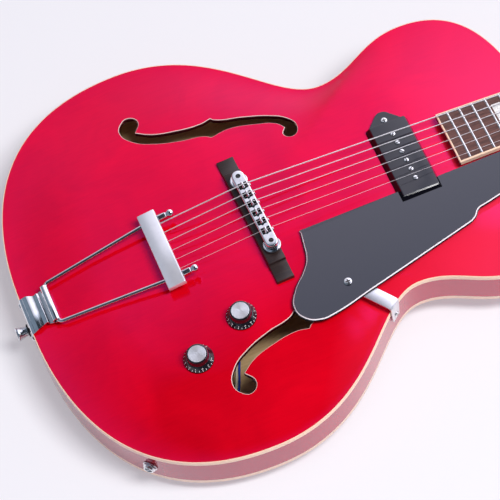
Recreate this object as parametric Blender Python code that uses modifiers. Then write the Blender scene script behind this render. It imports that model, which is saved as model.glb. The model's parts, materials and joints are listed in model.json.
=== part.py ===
"""Electric archtop jazz guitar, lying on its back.

Metres, +Z up. The guitar is drawn in its own frame: X runs along the centreline towards the head,
Y towards the bass side and Z out of the top. X is zero at the bridge posts and Z is zero at the
outer edge of the top. The empty named guitar then tips that frame so that the back and the tip of
the head both touch the ground, with the origin at the middle of the flat on the back.
"""
import math

import bmesh
import bpy
import numpy
from mathutils import Matrix, Vector
from mathutils.geometry import interpolate_bezier

# Clearances
GAP = 0.0003
RUNNING = 0.0004
CUT_PAST = 0.002

# Body outline, one half: where its widest and narrowest places lie, and how far each curve pulls
TAIL_X = -0.2248
TAIL_PULL = 0.0033
LOWER_BOUT_X = -0.0653
LOWER_BOUT_HALF = 0.2096
LOWER_BOUT_PULL_TAIL = 0.180
LOWER_BOUT_PULL_WAIST = 0.0998
WAIST_X = 0.1079
WAIST_HALF = 0.1150
WAIST_PULL_TAIL = 0.0433
WAIST_PULL_HEAD = 0.0346
UPPER_BOUT_X = 0.1992
UPPER_BOUT_HALF = 0.1438
UPPER_BOUT_PULL_WAIST = 0.0388
UPPER_BOUT_PULL_HEAD = 0.0669
BODY_END_X = 0.2825
BODY_END_PULL = 0.0833
OUTLINE_POINTS = (12, 8, 6, 9)

# Body shell
BODY_DEPTH = 0.0420
TOP_ARCH = 0.0145
BACK_ARCH = 0.0160
RECURVE_SHARE = 0.35
RECURVE_POWER = 0.35
ARCH_SMOOTHING = math.radians(30.0)
PLATE_THICKNESS = 0.0052
BINDING_WIDTH = 0.0020
BINDING_HEIGHT = 0.0052
SIDE_THICKNESS = 0.0032
LINING_WIDTH = 0.0080
LINING_HEIGHT = 0.0040
LINING_TAPER = 0.0040
BACK_FLAT_X = -0.055
BACK_FLAT_RADIUS = 0.024
BACK_FLAT_PROUD = 0.0002
TOP_RINGS = (1.0, 0.93, 0.82, 0.66, 0.46, 0.24)
BACK_RINGS = (1.0, 0.92, 0.78, 0.56, 0.30)

# Sound holes, bass side: lobes, notches and the edges between them, as x and y
SOUND_HOLE = (
    ("tip", -0.0678, 0.1363), ("smooth", -0.0548, 0.1277), ("smooth", -0.0346, 0.1214),
    ("smooth", -0.0093, 0.1181), ("tip", 0.0012, 0.1200), ("smooth", 0.0040, 0.1172),
    ("smooth", 0.0303, 0.1087), ("smooth", 0.0512, 0.1006), ("smooth", 0.0650, 0.0915),
    ("smooth", 0.0712, 0.0790), ("smooth", 0.0650, 0.0690), ("smooth", 0.0568, 0.0735),
    ("tip", 0.0608, 0.0812), ("smooth", 0.0560, 0.0883), ("smooth", 0.0380, 0.0963),
    ("smooth", 0.0120, 0.1022), ("tip", -0.0049, 0.0998), ("smooth", -0.0100, 0.1035),
    ("smooth", -0.0332, 0.1090), ("smooth", -0.0560, 0.1170), ("smooth", -0.0735, 0.1285),
    ("smooth", -0.0807, 0.1430), ("smooth", -0.0760, 0.1525), ("smooth", -0.0685, 0.1557),
    ("smooth", -0.0612, 0.1482),
)
SOUND_HOLE_CURVE_STEPS = 2
SOUND_HOLE_DEPTH = 0.060

# Blocks and braces
NECK_BLOCK_LENGTH = 0.042
NECK_BLOCK_HALF_WIDTH = 0.034
TAIL_BLOCK_LENGTH = 0.030
TAIL_BLOCK_HALF_WIDTH = 0.050
BRACE_WIDTH = 0.008
BRACE_DEPTH = 0.012
BRACE_START_X = -0.150
BRACE_END_X = 0.215
BRACE_START_Y = 0.055
BRACE_END_Y = 0.066

# Neck
SCALE_LENGTH = 0.62865
NUT_X = 0.6285
NECK_ANGLE = math.radians(3.8)
FRET_LINE_X = 0.1988
FRET_LINE_Z = 0.0204
FRET_COUNT = 20
FRET_HEIGHT = 0.0010
FRET_WIDTH = 0.0024
BOARD_THICKNESS = 0.0065
BOARD_RADIUS = 0.305
BOARD_PAST_LAST_FRET = 0.0106
BOARD_NUT_WIDTH = 0.0430
BOARD_TAPER = 0.0301
BOARD_BINDING_WIDTH = 0.0015
BOARD_ARC_STEPS = 6
NUT_LENGTH = 0.0050
NUT_FLAT_LENGTH = 0.0016
NUT_BACK_DROP = 0.0018
NECK_DEPTH_NUT = 0.0145
NECK_DEPTH_HEEL = 0.0185
HEEL_LENGTH = 0.042
HEEL_SWEEP = 2.6
HEEL_ABOVE_BACK = 0.0015
TONGUE_INSET = 0.0020
TONGUE_END_INSET = 0.0030
TONGUE_ABOVE_TOP = 0.0005
TENON_LENGTH = 0.026
TENON_HALF_OUTER = 0.011
TENON_HALF_INNER = 0.015
TENON_TOP_Z = -0.0075
TENON_BOTTOM_Z = -0.0345
NECK_SECTION_STEPS = 8

# Head and tuners
HEAD_PITCH = math.radians(14.0)
HEAD_THICKNESS = 0.0150
HEAD_WIDTHS = (
    (0.000, 0.0213), (0.010, 0.0222), (0.020, 0.0262), (0.031, 0.0330), (0.042, 0.0362),
    (0.060, 0.0366), (0.110, 0.0366), (0.150, 0.0388), (0.160, 0.0400), (0.1665, 0.0392),
    (0.1705, 0.0330), (0.1740, 0.0240), (0.1765, 0.0140), (0.1785, 0.0050),
)
HEAD_TIP_X = 0.1785
HEAD_CORNER = 0.05
NECK_ROUNDNESS = 0.85
NECK_BLEND_LENGTH = 0.030
TUNER_FIRST_X = 0.046
TUNER_PITCH = 0.038
TUNERS_A_SIDE = 3
TUNER_POST_Y = 0.0245
TUNER_PLATE_WIDTH = 0.0160
TUNER_PLATE_MARGIN = 0.013
TUNER_PLATE_THICKNESS = 0.0011
POST_RADIUS = 0.0031
POST_ABOVE_HEAD = 0.0155
POST_HOLE_RADIUS = 0.0045
GEAR_RADIUS = 0.0065
GEAR_THICKNESS = 0.0030
GEAR_SCREW_RADIUS = 0.0022
GEAR_SCREW_HEIGHT = 0.0012
WORM_RADIUS = 0.0030
WORM_HALF_LENGTH = 0.0046
WORM_SHAFT_RADIUS = 0.0018
TUNER_EAR_THICKNESS = 0.0012
TUNER_EAR_HALF_WIDTH = 0.0034
BUTTON_Y = 0.0560
BUTTON_HALF_ALONG = 0.0095
BUTTON_HALF_OUT = 0.0078
BUTTON_HALF_THICK = 0.0042

# Truss rod
TRUSS_RADIUS = 0.0025
TRUSS_DEPTH = 0.0075
TRUSS_NUT_RADIUS = 0.0032
TRUSS_NUT_LENGTH = 0.008
TRUSS_POCKET_LENGTH = 0.020
TRUSS_COVER_HALF_WIDTH = 0.0115
TRUSS_COVER_LENGTH = 0.034
TRUSS_COVER_THICKNESS = 0.0018

# Bridge
BRIDGE_SLANT = math.radians(1.7)
BRIDGE_BASE_LENGTH = 0.138
BRIDGE_BASE_WIDTH = 0.0165
BRIDGE_BASE_TOP_Z = 0.0215
BRIDGE_BASE_SHIFT = -0.0020
BRIDGE_BASE_SHIFT_Y = -0.0010
BRIDGE_STEP_Y = 0.0515
BRIDGE_STEP_DROP = 0.0032
BRIDGE_FOOT_THICKNESS = 0.0042
BRIDGE_SCOOP = 0.0010
BRIDGE_POST_SPACING = 0.0742
BRIDGE_POST_RADIUS = 0.0019
BRIDGE_POST_DEPTH = 0.0050
BRIDGE_POST_SLOT_WIDTH = 0.0008
BRIDGE_POST_SLOT_DEPTH = 0.0009
WHEEL_RADIUS = 0.0082
WHEEL_THICKNESS = 0.0030
WHEEL_ABOVE_BASE = 0.0013
BRIDGE_BODY_WIDTH = 0.0118
BRIDGE_BODY_HEIGHT = 0.0070
BRIDGE_END_RADIUS = 0.0062
BRIDGE_CHANNEL_WIDTH = 0.0072
BRIDGE_FLOOR = 0.0018
BRIDGE_CHANNEL_MARGIN = 0.0016
SADDLE_WIDTH = 0.0078
SADDLE_LENGTH = 0.0042
SADDLE_CHIN = 0.0030
SADDLE_SCREW_RADIUS = 0.0010
SADDLE_SCREW_HEAD_RADIUS = 0.0017
SADDLE_SCREW_HEAD_LENGTH = 0.0016
SADDLE_TRAVEL = 0.0012

# Strings, from the bass to the treble side
STRING_RADII = (0.00058, 0.00046, 0.00036, 0.00025, 0.00020, 0.00016)
STRING_SPACING_BRIDGE = 0.0103
STRING_SPACING_NUT = 0.0071
STRING_SPACING_TAIL = 0.0101
STRING_HEIGHT_BRIDGE = 0.0362
STRING_ABOVE_NUT_FRET_LINE = 0.0006
STRING_WRAP_HEIGHT = 0.0070

# Tailpiece
TAILPIECE_SHIFT_Y = 0.0013
BARREL_X = -0.2000
BARREL_Z = 0.0080
WIRE_RADIUS = 0.00175
WIRE_HALF_AT_BARREL = 0.0208
WIRE_BEND = 0.0022
BAR_X = -0.0907
BAR_Z = 0.0232
BAR_LENGTH = 0.081
BAR_WIDTH = 0.017
BAR_THICKNESS = 0.0056
ROD_HALF_AT_BAR = 0.0312
NUT_SLEEVE_RADIUS = 0.0037
NUT_SLEEVE_LENGTH = 0.0080
NUT_BALL_RADIUS = 0.0036
HANGER_THICKNESS = 0.0014
HANGER_LEG_LENGTH = 0.036
HANGER_LEG_TIP_HALF = 0.013
HANGER_LEG_HALF = 0.0225
HANGER_EDGE_HALF = 0.0178
HANGER_WAIST_HALF = 0.0140
HANGER_CURL_HALF = 0.0185
HANGER_SCREW_Y = 0.0175
HANGER_SCREW_Z = -0.0070
HANGER_SCREW_RADIUS = 0.0030
STRAP_BUTTON_Z = -0.0200
STRAP_BUTTON_LENGTH = 0.0125
STRAP_BUTTON_RADIUS = 0.0070
STRAP_BUTTON_NECK_RADIUS = 0.0042
STRAP_WASHER_RADIUS = 0.0062
STRAP_WASHER_THICKNESS = 0.0014
STRAP_SCREW_RADIUS = 0.0020
STRAP_SCREW_LENGTH = 0.024

# Pickup
PICKUP_X = 0.1452
PICKUP_TILT = math.radians(2.6)
COVER_LENGTH = 0.0860
COVER_WIDTH = 0.0410
COVER_DRAFT = 0.0025
COVER_HEIGHT = 0.0080
COVER_WALL = 0.0018
COVER_CORNER = 0.0050
EAR_THICKNESS = 0.0015
EAR_REACH = 0.0561
EAR_TIP_RADIUS = 0.0085
EAR_TIP_ARC = math.radians(92.0)
EAR_BASE_INSET = 0.0040
EAR_SCREW_Y = 0.0460
EAR_SCREW_RADIUS = 0.0028
POLE_SPACING = 0.0102
POLE_RADIUS = 0.0022
POLE_PROUD = 0.0008
COIL_LENGTH = 0.0720
COIL_WIDTH = 0.0300
COIL_BELOW = 0.0130
BASEPLATE_LENGTH = 0.0790
BASEPLATE_WIDTH = 0.0330
BASEPLATE_THICKNESS = 0.0020

# Pickguard: a flat sheet, given by its height at one place and its two slopes
GUARD_REF_X = 0.145
GUARD_REF_Y = -0.045
GUARD_REF_Z = 0.0150
GUARD_SLOPE_X = -0.022
GUARD_SLOPE_Y = 0.020
GUARD_THICKNESS = 0.0017
GUARD_STRING_EDGE_Y = -0.0300
GUARD_OUTLINE = (
    ("tip", 0.0294, -0.0305), ("smooth", 0.0270, -0.0455), ("smooth", 0.0238, -0.0590),
    ("smooth", 0.0170, -0.0690), ("smooth", 0.0025, -0.0840), ("smooth", -0.0050, -0.1000),
    ("smooth", 0.0000, -0.1140), ("smooth", 0.0140, -0.1213), ("smooth", 0.0265, -0.1208),
    ("smooth", 0.0655, -0.1118), ("tip", 0.1745, -0.0855), ("smooth", 0.1800, -0.0820),
    ("smooth", 0.1850, -0.0765), ("smooth", 0.1950, -0.0740), ("tip", 0.2430, -0.0640),
    ("smooth", 0.2360, -0.0460), ("tip", 0.2330, -0.0300),
)
GUARD_CURVE_STEPS = 3
GUARD_NOTCH_CLEARANCE = 0.0006
GUARD_SCREW_X = 0.0490
GUARD_SCREW_Y = -0.0960
BRACKET_WIDTH = 0.0130
BRACKET_THICKNESS = 0.0014
BRACKET_LEG_LENGTH = 0.0250
BRACKET_BEND_Z = 0.0080
BRACKET_END_X = 0.0778
BRACKET_STEM_PAST_SCREW = 0.0060
BRACKET_STAND_OFF = 0.0008
GUARD_SCREW_RADIUS = 0.0034
GUARD_SCREW_SHANK_RADIUS = 0.0015

# Controls: where they pass through the top, and the parts' own sizes
VOLUME_X = -0.0493
VOLUME_Y = -0.0855
TONE_X = -0.0991
TONE_Y = -0.1075
POT_CAN_RADIUS = 0.0120
POT_CAN_HEIGHT = 0.0090
POT_BUSHING_RADIUS = 0.0047
POT_NUT_RADIUS = 0.0068
POT_NUT_HEIGHT = 0.0016
POT_BORE_DEPTH = 0.0100
KNOB_SHAFT_RADIUS = 0.0030
KNOB_SKIRT_RADIUS = 0.0138
KNOB_SKIRT_EDGE = 0.0014
KNOB_SKIRT_TOP_RADIUS = 0.0108
KNOB_SKIRT_HEIGHT = 0.0045
KNOB_GRIP_RADIUS = 0.0100
KNOB_TOP_RADIUS = 0.0092
KNOB_HEIGHT = 0.0128
KNOB_HOLLOW_RADIUS = 0.0084
KNOB_HOLLOW_DEPTH = 0.0034
JACK_X = -0.1735
JACK_Z = -0.0210
JACK_SLEEVE_RADIUS = 0.0047
JACK_BORE_RADIUS = 0.0033
JACK_FLANGE_RADIUS = 0.0068
JACK_FLANGE_THICKNESS = 0.0022
JACK_NOSE = 0.0024
JACK_INSIDE = 0.026
JACK_CAN_RADIUS = 0.0068
LOOM_RADIUS = 0.0012
LOOM_ROUTE_FROM_VOLUME = (
    (-0.0540, -0.0950, -0.0240), (-0.0620, -0.1080, -0.0290), (-0.0700, -0.1270, -0.0320),
    (-0.0800, -0.1360, -0.0320), (-0.0980, -0.1370, -0.0310), (-0.1200, -0.1310, -0.0260),
)
LOOM_ROUTE_FROM_PICKUP = (
    (0.1180, -0.0280, -0.0180), (0.0860, -0.0420, -0.0260), (0.0440, -0.0560, -0.0300),
    (0.0020, -0.0680, -0.0290), (-0.0280, -0.0740, -0.0240),
)

collections = {}
materials = {}


def clear_scene():
    """Remove what a new file starts with."""
    for item in list(bpy.data.objects):
        bpy.data.objects.remove(item, do_unlink=True)


def make_collection(name):
    """A collection in the scene, kept by name."""
    collections[name] = bpy.data.collections.new(name)
    bpy.context.scene.collection.children.link(collections[name])


def finish(name, color, roughness, metallic=0.0):
    """A Principled material, made once for each name."""
    if name not in materials:
        made = bpy.data.materials.new(name)
        made.use_nodes = True
        shader = made.node_tree.nodes["Principled BSDF"]
        shader.inputs["Base Color"].default_value = (*color, 1.0)
        shader.inputs["Roughness"].default_value = roughness
        shader.inputs["Metallic"].default_value = metallic
        made.diffuse_color = (*color, 1.0)
        materials[name] = made
    return materials[name]


def red_gloss():
    return finish("cherry_lacquer", (0.66, 0.005, 0.035), 0.12)


def bare_maple():
    return finish("bare_maple", (0.62, 0.42, 0.20), 0.6)


def cream():
    return finish("cream_binding", (0.86, 0.76, 0.55), 0.3)


def chrome():
    return finish("chrome", (0.78, 0.79, 0.80), 0.1, 1.0)


def steel():
    return finish("steel", (0.62, 0.62, 0.63), 0.3, 1.0)


def black_gloss():
    return finish("black_gloss", (0.012, 0.012, 0.016), 0.1)


def rosewood():
    return finish("rosewood", (0.10, 0.05, 0.035), 0.45)


def add_object(name, data, material, frame=None, collection="guitar"):
    """Put mesh or curve data in the scene as a named object under a frame's empty."""
    item = bpy.data.objects.new(name, data)
    collections[collection].objects.link(item)
    if material is not None:
        data.materials.append(material)
    item.parent = frame
    if collection == "cutters":
        item.hide_render = True
        item.display_type = "WIRE"
    return item


def mesh_object(name, mesh_edit, material, frame=None, collection="guitar", smooth_angle=35.0):
    """Turn a finished bmesh into an object with its faces pointing out."""
    bmesh.ops.recalc_face_normals(mesh_edit, faces=mesh_edit.faces)
    data = bpy.data.meshes.new(name)
    mesh_edit.to_mesh(data)
    mesh_edit.free()
    data.shade_smooth()
    data.set_sharp_from_angle(angle=math.radians(smooth_angle))
    return add_object(name, data, material, frame, collection)


def place(item, location=(0.0, 0.0, 0.0), rotation=(0.0, 0.0, 0.0)):
    """Set an object's place in its frame."""
    item.location = location
    item.rotation_euler = rotation
    return item


def loft(name, sections, material, frame=None, collection="guitar", closed=False):
    """Skin rings of equal length. The two end rings are capped unless the loft closes on itself."""
    mesh_edit = bmesh.new()
    rings = [[mesh_edit.verts.new(point) for point in section] for section in sections]
    count = len(rings[0])
    pairs = list(zip(rings, rings[1:]))
    if closed:
        pairs.append((rings[-1], rings[0]))
    for first, second in pairs:
        for index in range(count):
            after = (index + 1) % count
            mesh_edit.faces.new((first[index], first[after], second[after], second[index]))
    if not closed:
        mesh_edit.faces.new(rings[0])
        mesh_edit.faces.new(rings[-1])
    return mesh_object(name, mesh_edit, material, frame, collection)


def block(name, low, high, material, frame=None, collection="guitar"):
    """A box between two corners."""
    mesh_edit = bmesh.new()
    size = [high[axis] - low[axis] for axis in range(3)]
    middle = [(high[axis] + low[axis]) / 2.0 for axis in range(3)]
    bmesh.ops.create_cube(
        mesh_edit, size=1.0, matrix=Matrix.Translation(middle) @ Matrix.Diagonal((*size, 1.0)))
    return mesh_object(name, mesh_edit, material, frame, collection)


def rod(name, start, end, radius, sides, material, frame=None, collection="guitar"):
    """A capped cylinder from one point to another."""
    start = Vector(start)
    along = Vector(end) - start
    turn = along.to_track_quat("Z", "Y").to_matrix().to_4x4()
    mesh_edit = bmesh.new()
    bmesh.ops.create_cone(
        mesh_edit, cap_ends=True, segments=sides, radius1=radius, radius2=radius,
        depth=along.length, matrix=Matrix.Translation(start + along / 2.0) @ turn)
    return mesh_object(name, mesh_edit, material, frame, collection)


def turned(name, profile, steps, material, frame=None, collection="guitar"):
    """Spin a profile of (radius, height) points about Z. It starts and ends on the axis."""
    mesh_edit = bmesh.new()
    points = [mesh_edit.verts.new((radius, 0.0, height)) for radius, height in profile]
    for first, second in zip(points, points[1:]):
        mesh_edit.edges.new((first, second))
    data = bpy.data.meshes.new(name)
    mesh_edit.to_mesh(data)
    mesh_edit.free()
    item = add_object(name, data, material, frame, collection)
    screw = item.modifiers.new("spin", "SCREW")
    screw.steps = steps
    screw.render_steps = steps
    screw.use_merge_vertices = True
    screw.merge_threshold = 0.00001
    screw.use_smooth_shade = True
    return item


def ring_turned(name, inner, outer, low, high, steps, material, frame=None):
    """A plain ring about Z, with a bore through it."""
    mesh_edit = bmesh.new()
    rows = []
    for index in range(steps):
        angle = 2.0 * math.pi * index / steps
        across = (math.cos(angle), math.sin(angle))
        corners = ((inner, low), (outer, low), (outer, high), (inner, high))
        rows.append([(radius * across[0], radius * across[1], z) for radius, z in corners])
    mesh_edit.free()
    return loft(name, rows, material, frame, closed=True)


def tube(name, points, radius, resolution, material, frame=None):
    """A round wire through a list of points, with filled ends."""
    data = bpy.data.curves.new(name, "CURVE")
    data.dimensions = "3D"
    data.bevel_depth = radius
    data.bevel_resolution = resolution
    data.use_fill_caps = True
    spline = data.splines.new("POLY")
    spline.points.add(len(points) - 1)
    for point, place_at in zip(spline.points, points):
        point.co = (*place_at, 1.0)
    return add_object(name, data, material, frame)


def smooth_route(points, steps):
    """Points along a smooth curve through a route's own points."""
    route = [Vector(point) for point in points]
    made = []
    for index in range(len(route) - 1):
        before = route[max(index - 1, 0)]
        start = route[index]
        end = route[index + 1]
        after = route[min(index + 2, len(route) - 1)]
        handle_out = start + (end - before) / 6.0
        handle_in = end - (after - start) / 6.0
        made += interpolate_bezier(start, handle_out, handle_in, end, steps + 1)[:-1]
    return made + [route[-1]]


def flat_shape(name, anchors, steps, thickness, material, frame=None, collection="guitar"):
    """A closed outline of tips and smooth points, filled and made as thick as asked about Z zero."""
    data = bpy.data.curves.new(name, "CURVE")
    data.dimensions = "2D"
    data.fill_mode = "BOTH"
    data.extrude = thickness / 2.0
    data.resolution_u = steps
    spline = data.splines.new("BEZIER")
    spline.bezier_points.add(len(anchors) - 1)
    for point, (kind, x, y) in zip(spline.bezier_points, anchors):
        point.co = (x, y, 0.0)
        handle = "VECTOR" if kind == "tip" else "AUTO"
        point.handle_left_type = handle
        point.handle_right_type = handle
    spline.use_cyclic_u = True
    curve = bpy.data.objects.new(name + "_outline", data)
    bpy.context.scene.collection.objects.link(curve)
    bpy.context.view_layer.update()
    graph = bpy.context.evaluated_depsgraph_get()
    mesh = bpy.data.meshes.new_from_object(curve.evaluated_get(graph))
    bpy.data.objects.remove(curve, do_unlink=True)
    mesh_edit = bmesh.new()
    mesh_edit.from_mesh(mesh)
    bmesh.ops.remove_doubles(mesh_edit, verts=mesh_edit.verts, dist=0.00001)
    bpy.data.meshes.remove(mesh)
    return mesh_object(name, mesh_edit, material, frame, collection)


def tube_mesh(name, points, radius, resolution, material, frame=None, collection="guitar"):
    """A wire made a closed mesh, so that it can be cut or joined."""
    curve = tube(name + "_curve", points, radius, resolution, None)
    bpy.context.view_layer.update()
    graph = bpy.context.evaluated_depsgraph_get()
    mesh = bpy.data.meshes.new_from_object(curve.evaluated_get(graph))
    bpy.data.objects.remove(curve, do_unlink=True)
    mesh_edit = bmesh.new()
    mesh_edit.from_mesh(mesh)
    bmesh.ops.remove_doubles(mesh_edit, verts=mesh_edit.verts, dist=0.00001)
    bpy.data.meshes.remove(mesh)
    return mesh_object(name, mesh_edit, material, frame, collection)


def boolean(item, other, operation):
    """Cut another object out of an item, or join it on. The other becomes a hidden guide."""
    step = item.modifiers.new(operation.lower() + "_" + other.name, "BOOLEAN")
    step.operation = operation
    step.object = other
    step.solver = "EXACT"
    if other.name not in collections["cutters"].objects:
        collections["guitar"].objects.unlink(other)
        collections["cutters"].objects.link(other)
        other.hide_render = True
        other.display_type = "WIRE"


def cut(item, *cutters):
    for cutter in cutters:
        boolean(item, cutter, "DIFFERENCE")


def join(item, *others):
    for other in others:
        boolean(item, other, "UNION")


def even_points(dense, count):
    """Points at even steps along a dense line, without its last point."""
    steps = [0.0]
    for first, second in zip(dense, dense[1:]):
        steps.append(steps[-1] + (second - first).length)
    wanted = [steps[-1] * index / count for index in range(count)]
    xs = numpy.interp(wanted, steps, [point.x for point in dense])
    ys = numpy.interp(wanted, steps, [point.y for point in dense])
    return list(zip(xs.tolist(), ys.tolist()))


def body_outline():
    """The body's outer outline, anticlockwise from above, starting at the tail."""
    curves = (
        ((TAIL_X, 0.0), (TAIL_X, TAIL_PULL),
         (LOWER_BOUT_X - LOWER_BOUT_PULL_TAIL, LOWER_BOUT_HALF), (LOWER_BOUT_X, LOWER_BOUT_HALF)),
        ((LOWER_BOUT_X, LOWER_BOUT_HALF), (LOWER_BOUT_X + LOWER_BOUT_PULL_WAIST, LOWER_BOUT_HALF),
         (WAIST_X - WAIST_PULL_TAIL, WAIST_HALF), (WAIST_X, WAIST_HALF)),
        ((WAIST_X, WAIST_HALF), (WAIST_X + WAIST_PULL_HEAD, WAIST_HALF),
         (UPPER_BOUT_X - UPPER_BOUT_PULL_WAIST, UPPER_BOUT_HALF), (UPPER_BOUT_X, UPPER_BOUT_HALF)),
        ((UPPER_BOUT_X, UPPER_BOUT_HALF), (UPPER_BOUT_X + UPPER_BOUT_PULL_HEAD, UPPER_BOUT_HALF),
         (BODY_END_X, BODY_END_PULL), (BODY_END_X, 0.0)),
    )
    half = []
    for curve, count in zip(curves, OUTLINE_POINTS):
        dense = interpolate_bezier(*[Vector((x, y, 0.0)) for x, y in curve], 80)
        half += even_points(dense, count)
    bass = half + [(BODY_END_X, 0.0)]
    treble = [(x, -y) for x, y in bass]
    return treble[:-1] + bass[:0:-1]


OUTLINE = body_outline()
TAIL_FACE_X = min(x for x, y in OUTLINE)


def inset_outline(distance):
    """The body's outline moved inwards by a distance."""
    made = []
    count = len(OUTLINE)
    for index, (x, y) in enumerate(OUTLINE):
        before = Vector(OUTLINE[index - 1])
        after = Vector(OUTLINE[(index + 1) % count])
        along = (after - before).normalized()
        made.append((x - along.y * distance, y + along.x * distance))
    return made


OUTLINE_ANGLES = [math.atan2(y, x) for x, y in OUTLINE]
OUTLINE_LENGTHS = [math.hypot(x, y) for x, y in OUTLINE]


def outline_radius(angles):
    """How far the outline lies from the bridge's centre, in each of some directions."""
    return numpy.interp(angles, OUTLINE_ANGLES, OUTLINE_LENGTHS, period=2.0 * math.pi)


def arch_share(x, y):
    """The carved arch's height at a place, as a share of its height in the middle.

    The arch follows the outline near the edge, and a rounder version of it further in.
    """
    angle = math.atan2(y, x)
    length = math.hypot(x, y)
    edge = float(outline_radius(angle))
    spread = numpy.linspace(-ARCH_SMOOTHING, ARCH_SMOOTHING, 15)
    rounder = float(numpy.mean(outline_radius(angle + spread)))
    near_edge = min(length / edge, 1.0)
    reach = min(length / (rounder + (edge - rounder) * near_edge ** 2), 1.0)
    ramp = min((1.0 - reach) / RECURVE_SHARE, 1.0)
    return (1.0 - reach ** 2) * (ramp * ramp * (3.0 - 2.0 * ramp)) ** RECURVE_POWER


def top_height(x, y):
    return TOP_ARCH * arch_share(x, y)


def back_height(x, y):
    return -BODY_DEPTH - BACK_ARCH * arch_share(x, y)


def upright_turn(slope_x, slope_y):
    """The shortest turn that lays a part's Z square to a surface with these slopes."""
    normal = Vector((-slope_x, -slope_y, 1.0))
    return Vector((0.0, 0.0, 1.0)).rotation_difference(normal).to_euler()


def top_tilt(x, y):
    """The turn that stands a part on the top at a place."""
    step = 0.004
    slope_x = (top_height(x + step, y) - top_height(x - step, y)) / (2.0 * step)
    slope_y = (top_height(x, y + step) - top_height(x, y - step)) / (2.0 * step)
    return upright_turn(slope_x, slope_y)


def board_underside_z(x):
    """The height of the fingerboard's underside above the top's edge."""
    at_line = FRET_LINE_Z - FRET_HEIGHT - BOARD_THICKNESS
    return at_line - (x - FRET_LINE_X) * math.tan(NECK_ANGLE)


def board_half_width(from_nut):
    """Half the bound fingerboard's width at a distance from the nut."""
    return (BOARD_NUT_WIDTH + BOARD_TAPER * from_nut) / 2.0


def crown_drop(y):
    """How far the fingerboard's curved top lies below its centre."""
    return BOARD_RADIUS - math.sqrt(BOARD_RADIUS ** 2 - y * y)


def fret_distance(number):
    return SCALE_LENGTH * (1.0 - 2.0 ** (-number / 12.0))


BOARD_LENGTH = fret_distance(FRET_COUNT) + BOARD_PAST_LAST_FRET
NECK_FRAME_Z = board_underside_z(NUT_X)
NECK_MATRIX = Matrix.Translation((NUT_X, 0.0, NECK_FRAME_Z)) @ Matrix.Rotation(NECK_ANGLE, 4, "Y")
HEAD_MATRIX = (NECK_MATRIX @ Matrix.Translation((NUT_LENGTH + GAP, 0.0, 0.0))
               @ Matrix.Rotation(HEAD_PITCH, 4, "Y"))
HEAD_TIP_LOW = HEAD_MATRIX @ Vector((HEAD_TIP_X, 0.0, -HEAD_THICKNESS))
BACK_FLAT_Z = back_height(BACK_FLAT_X, 0.0) - BACK_FLAT_PROUD
REST_PITCH = math.atan2(HEAD_TIP_LOW.z - BACK_FLAT_Z, HEAD_TIP_LOW.x - BACK_FLAT_X)
ROD_RISE = math.atan2(BAR_Z - BARREL_Z, BAR_X - BARREL_X)


def string_y(index, spacing):
    return (2.5 - index) * spacing


def string_height_at_bridge(index):
    """The height of a string's underside over the bridge, on the fingerboard's curve."""
    return STRING_HEIGHT_BRIDGE - crown_drop(string_y(index, STRING_SPACING_BRIDGE))


def make_frames():
    """The empties that carry the whole guitar, the neck and the head."""
    guitar = bpy.data.objects.new("guitar", None)
    collections["guitar"].objects.link(guitar)
    turn = Matrix.Rotation(REST_PITCH, 4, "Y")
    guitar.matrix_local = turn @ Matrix.Translation((-BACK_FLAT_X, 0.0, -BACK_FLAT_Z))
    neck = bpy.data.objects.new("neck_frame", None)
    collections["guitar"].objects.link(neck)
    neck.parent = guitar
    neck.matrix_local = NECK_MATRIX
    head = bpy.data.objects.new("head_frame", None)
    collections["guitar"].objects.link(head)
    head.parent = guitar
    head.matrix_local = HEAD_MATRIX
    return guitar, neck, head


def plate(name, heights, inner_side, shares, guitar, centre=(0.0, 0.0), flat=None):
    """A carved plate: rings that shrink towards a centre, on both faces, joined round the edge."""
    edge = inset_outline(BINDING_WIDTH + GAP)
    rings = []
    for share in shares:
        ring = []
        for x, y in edge:
            at_x = centre[0] + (x - centre[0]) * share
            at_y = centre[1] + (y - centre[1]) * share
            ring.append((at_x, at_y, heights(at_x, at_y)))
        rings.append(ring)
    apex_z = heights(*centre)
    if flat is not None:
        rings[-1] = flat(edge)
        apex_z = BACK_FLAT_Z
    mesh_edit = bmesh.new()
    faces_by_side = []
    for lift in (0.0, inner_side):
        made = [[mesh_edit.verts.new((x, y, z + lift)) for x, y, z in ring] for ring in rings]
        apex = mesh_edit.verts.new((centre[0], centre[1], apex_z + lift))
        count = len(edge)
        for outer, inner in zip(made, made[1:]):
            for index in range(count):
                after = (index + 1) % count
                mesh_edit.faces.new((outer[index], outer[after], inner[after], inner[index]))
        for index in range(count):
            mesh_edit.faces.new((made[-1][index], made[-1][(index + 1) % count], apex))
        faces_by_side.append(made[0])
    first, second = faces_by_side
    for index in range(len(edge)):
        after = (index + 1) % len(edge)
        mesh_edit.faces.new((first[index], second[index], second[after], first[after]))
    return mesh_object(name, mesh_edit, red_gloss(), guitar)


def back_flat_ring(edge):
    """The flat on the back that it rests on, level with the ground."""
    ring = []
    for x, y in edge:
        angle = math.atan2(y, x - BACK_FLAT_X)
        at_x = BACK_FLAT_X + BACK_FLAT_RADIUS * math.cos(angle)
        at_z = BACK_FLAT_Z + math.tan(REST_PITCH) * (at_x - BACK_FLAT_X)
        ring.append((at_x, BACK_FLAT_RADIUS * math.sin(angle), at_z))
    return ring


def outline_ring(name, profile, material, guitar):
    """A closed ring that follows the body's outline, from a profile of (inset, height) points."""
    columns = [(inset_outline(inset), height) for inset, height in profile]
    sections = []
    for index in range(len(OUTLINE)):
        sections.append([(*line[index], height) for line, height in columns])
    return loft(name, sections, material, guitar, closed=True)


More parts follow.
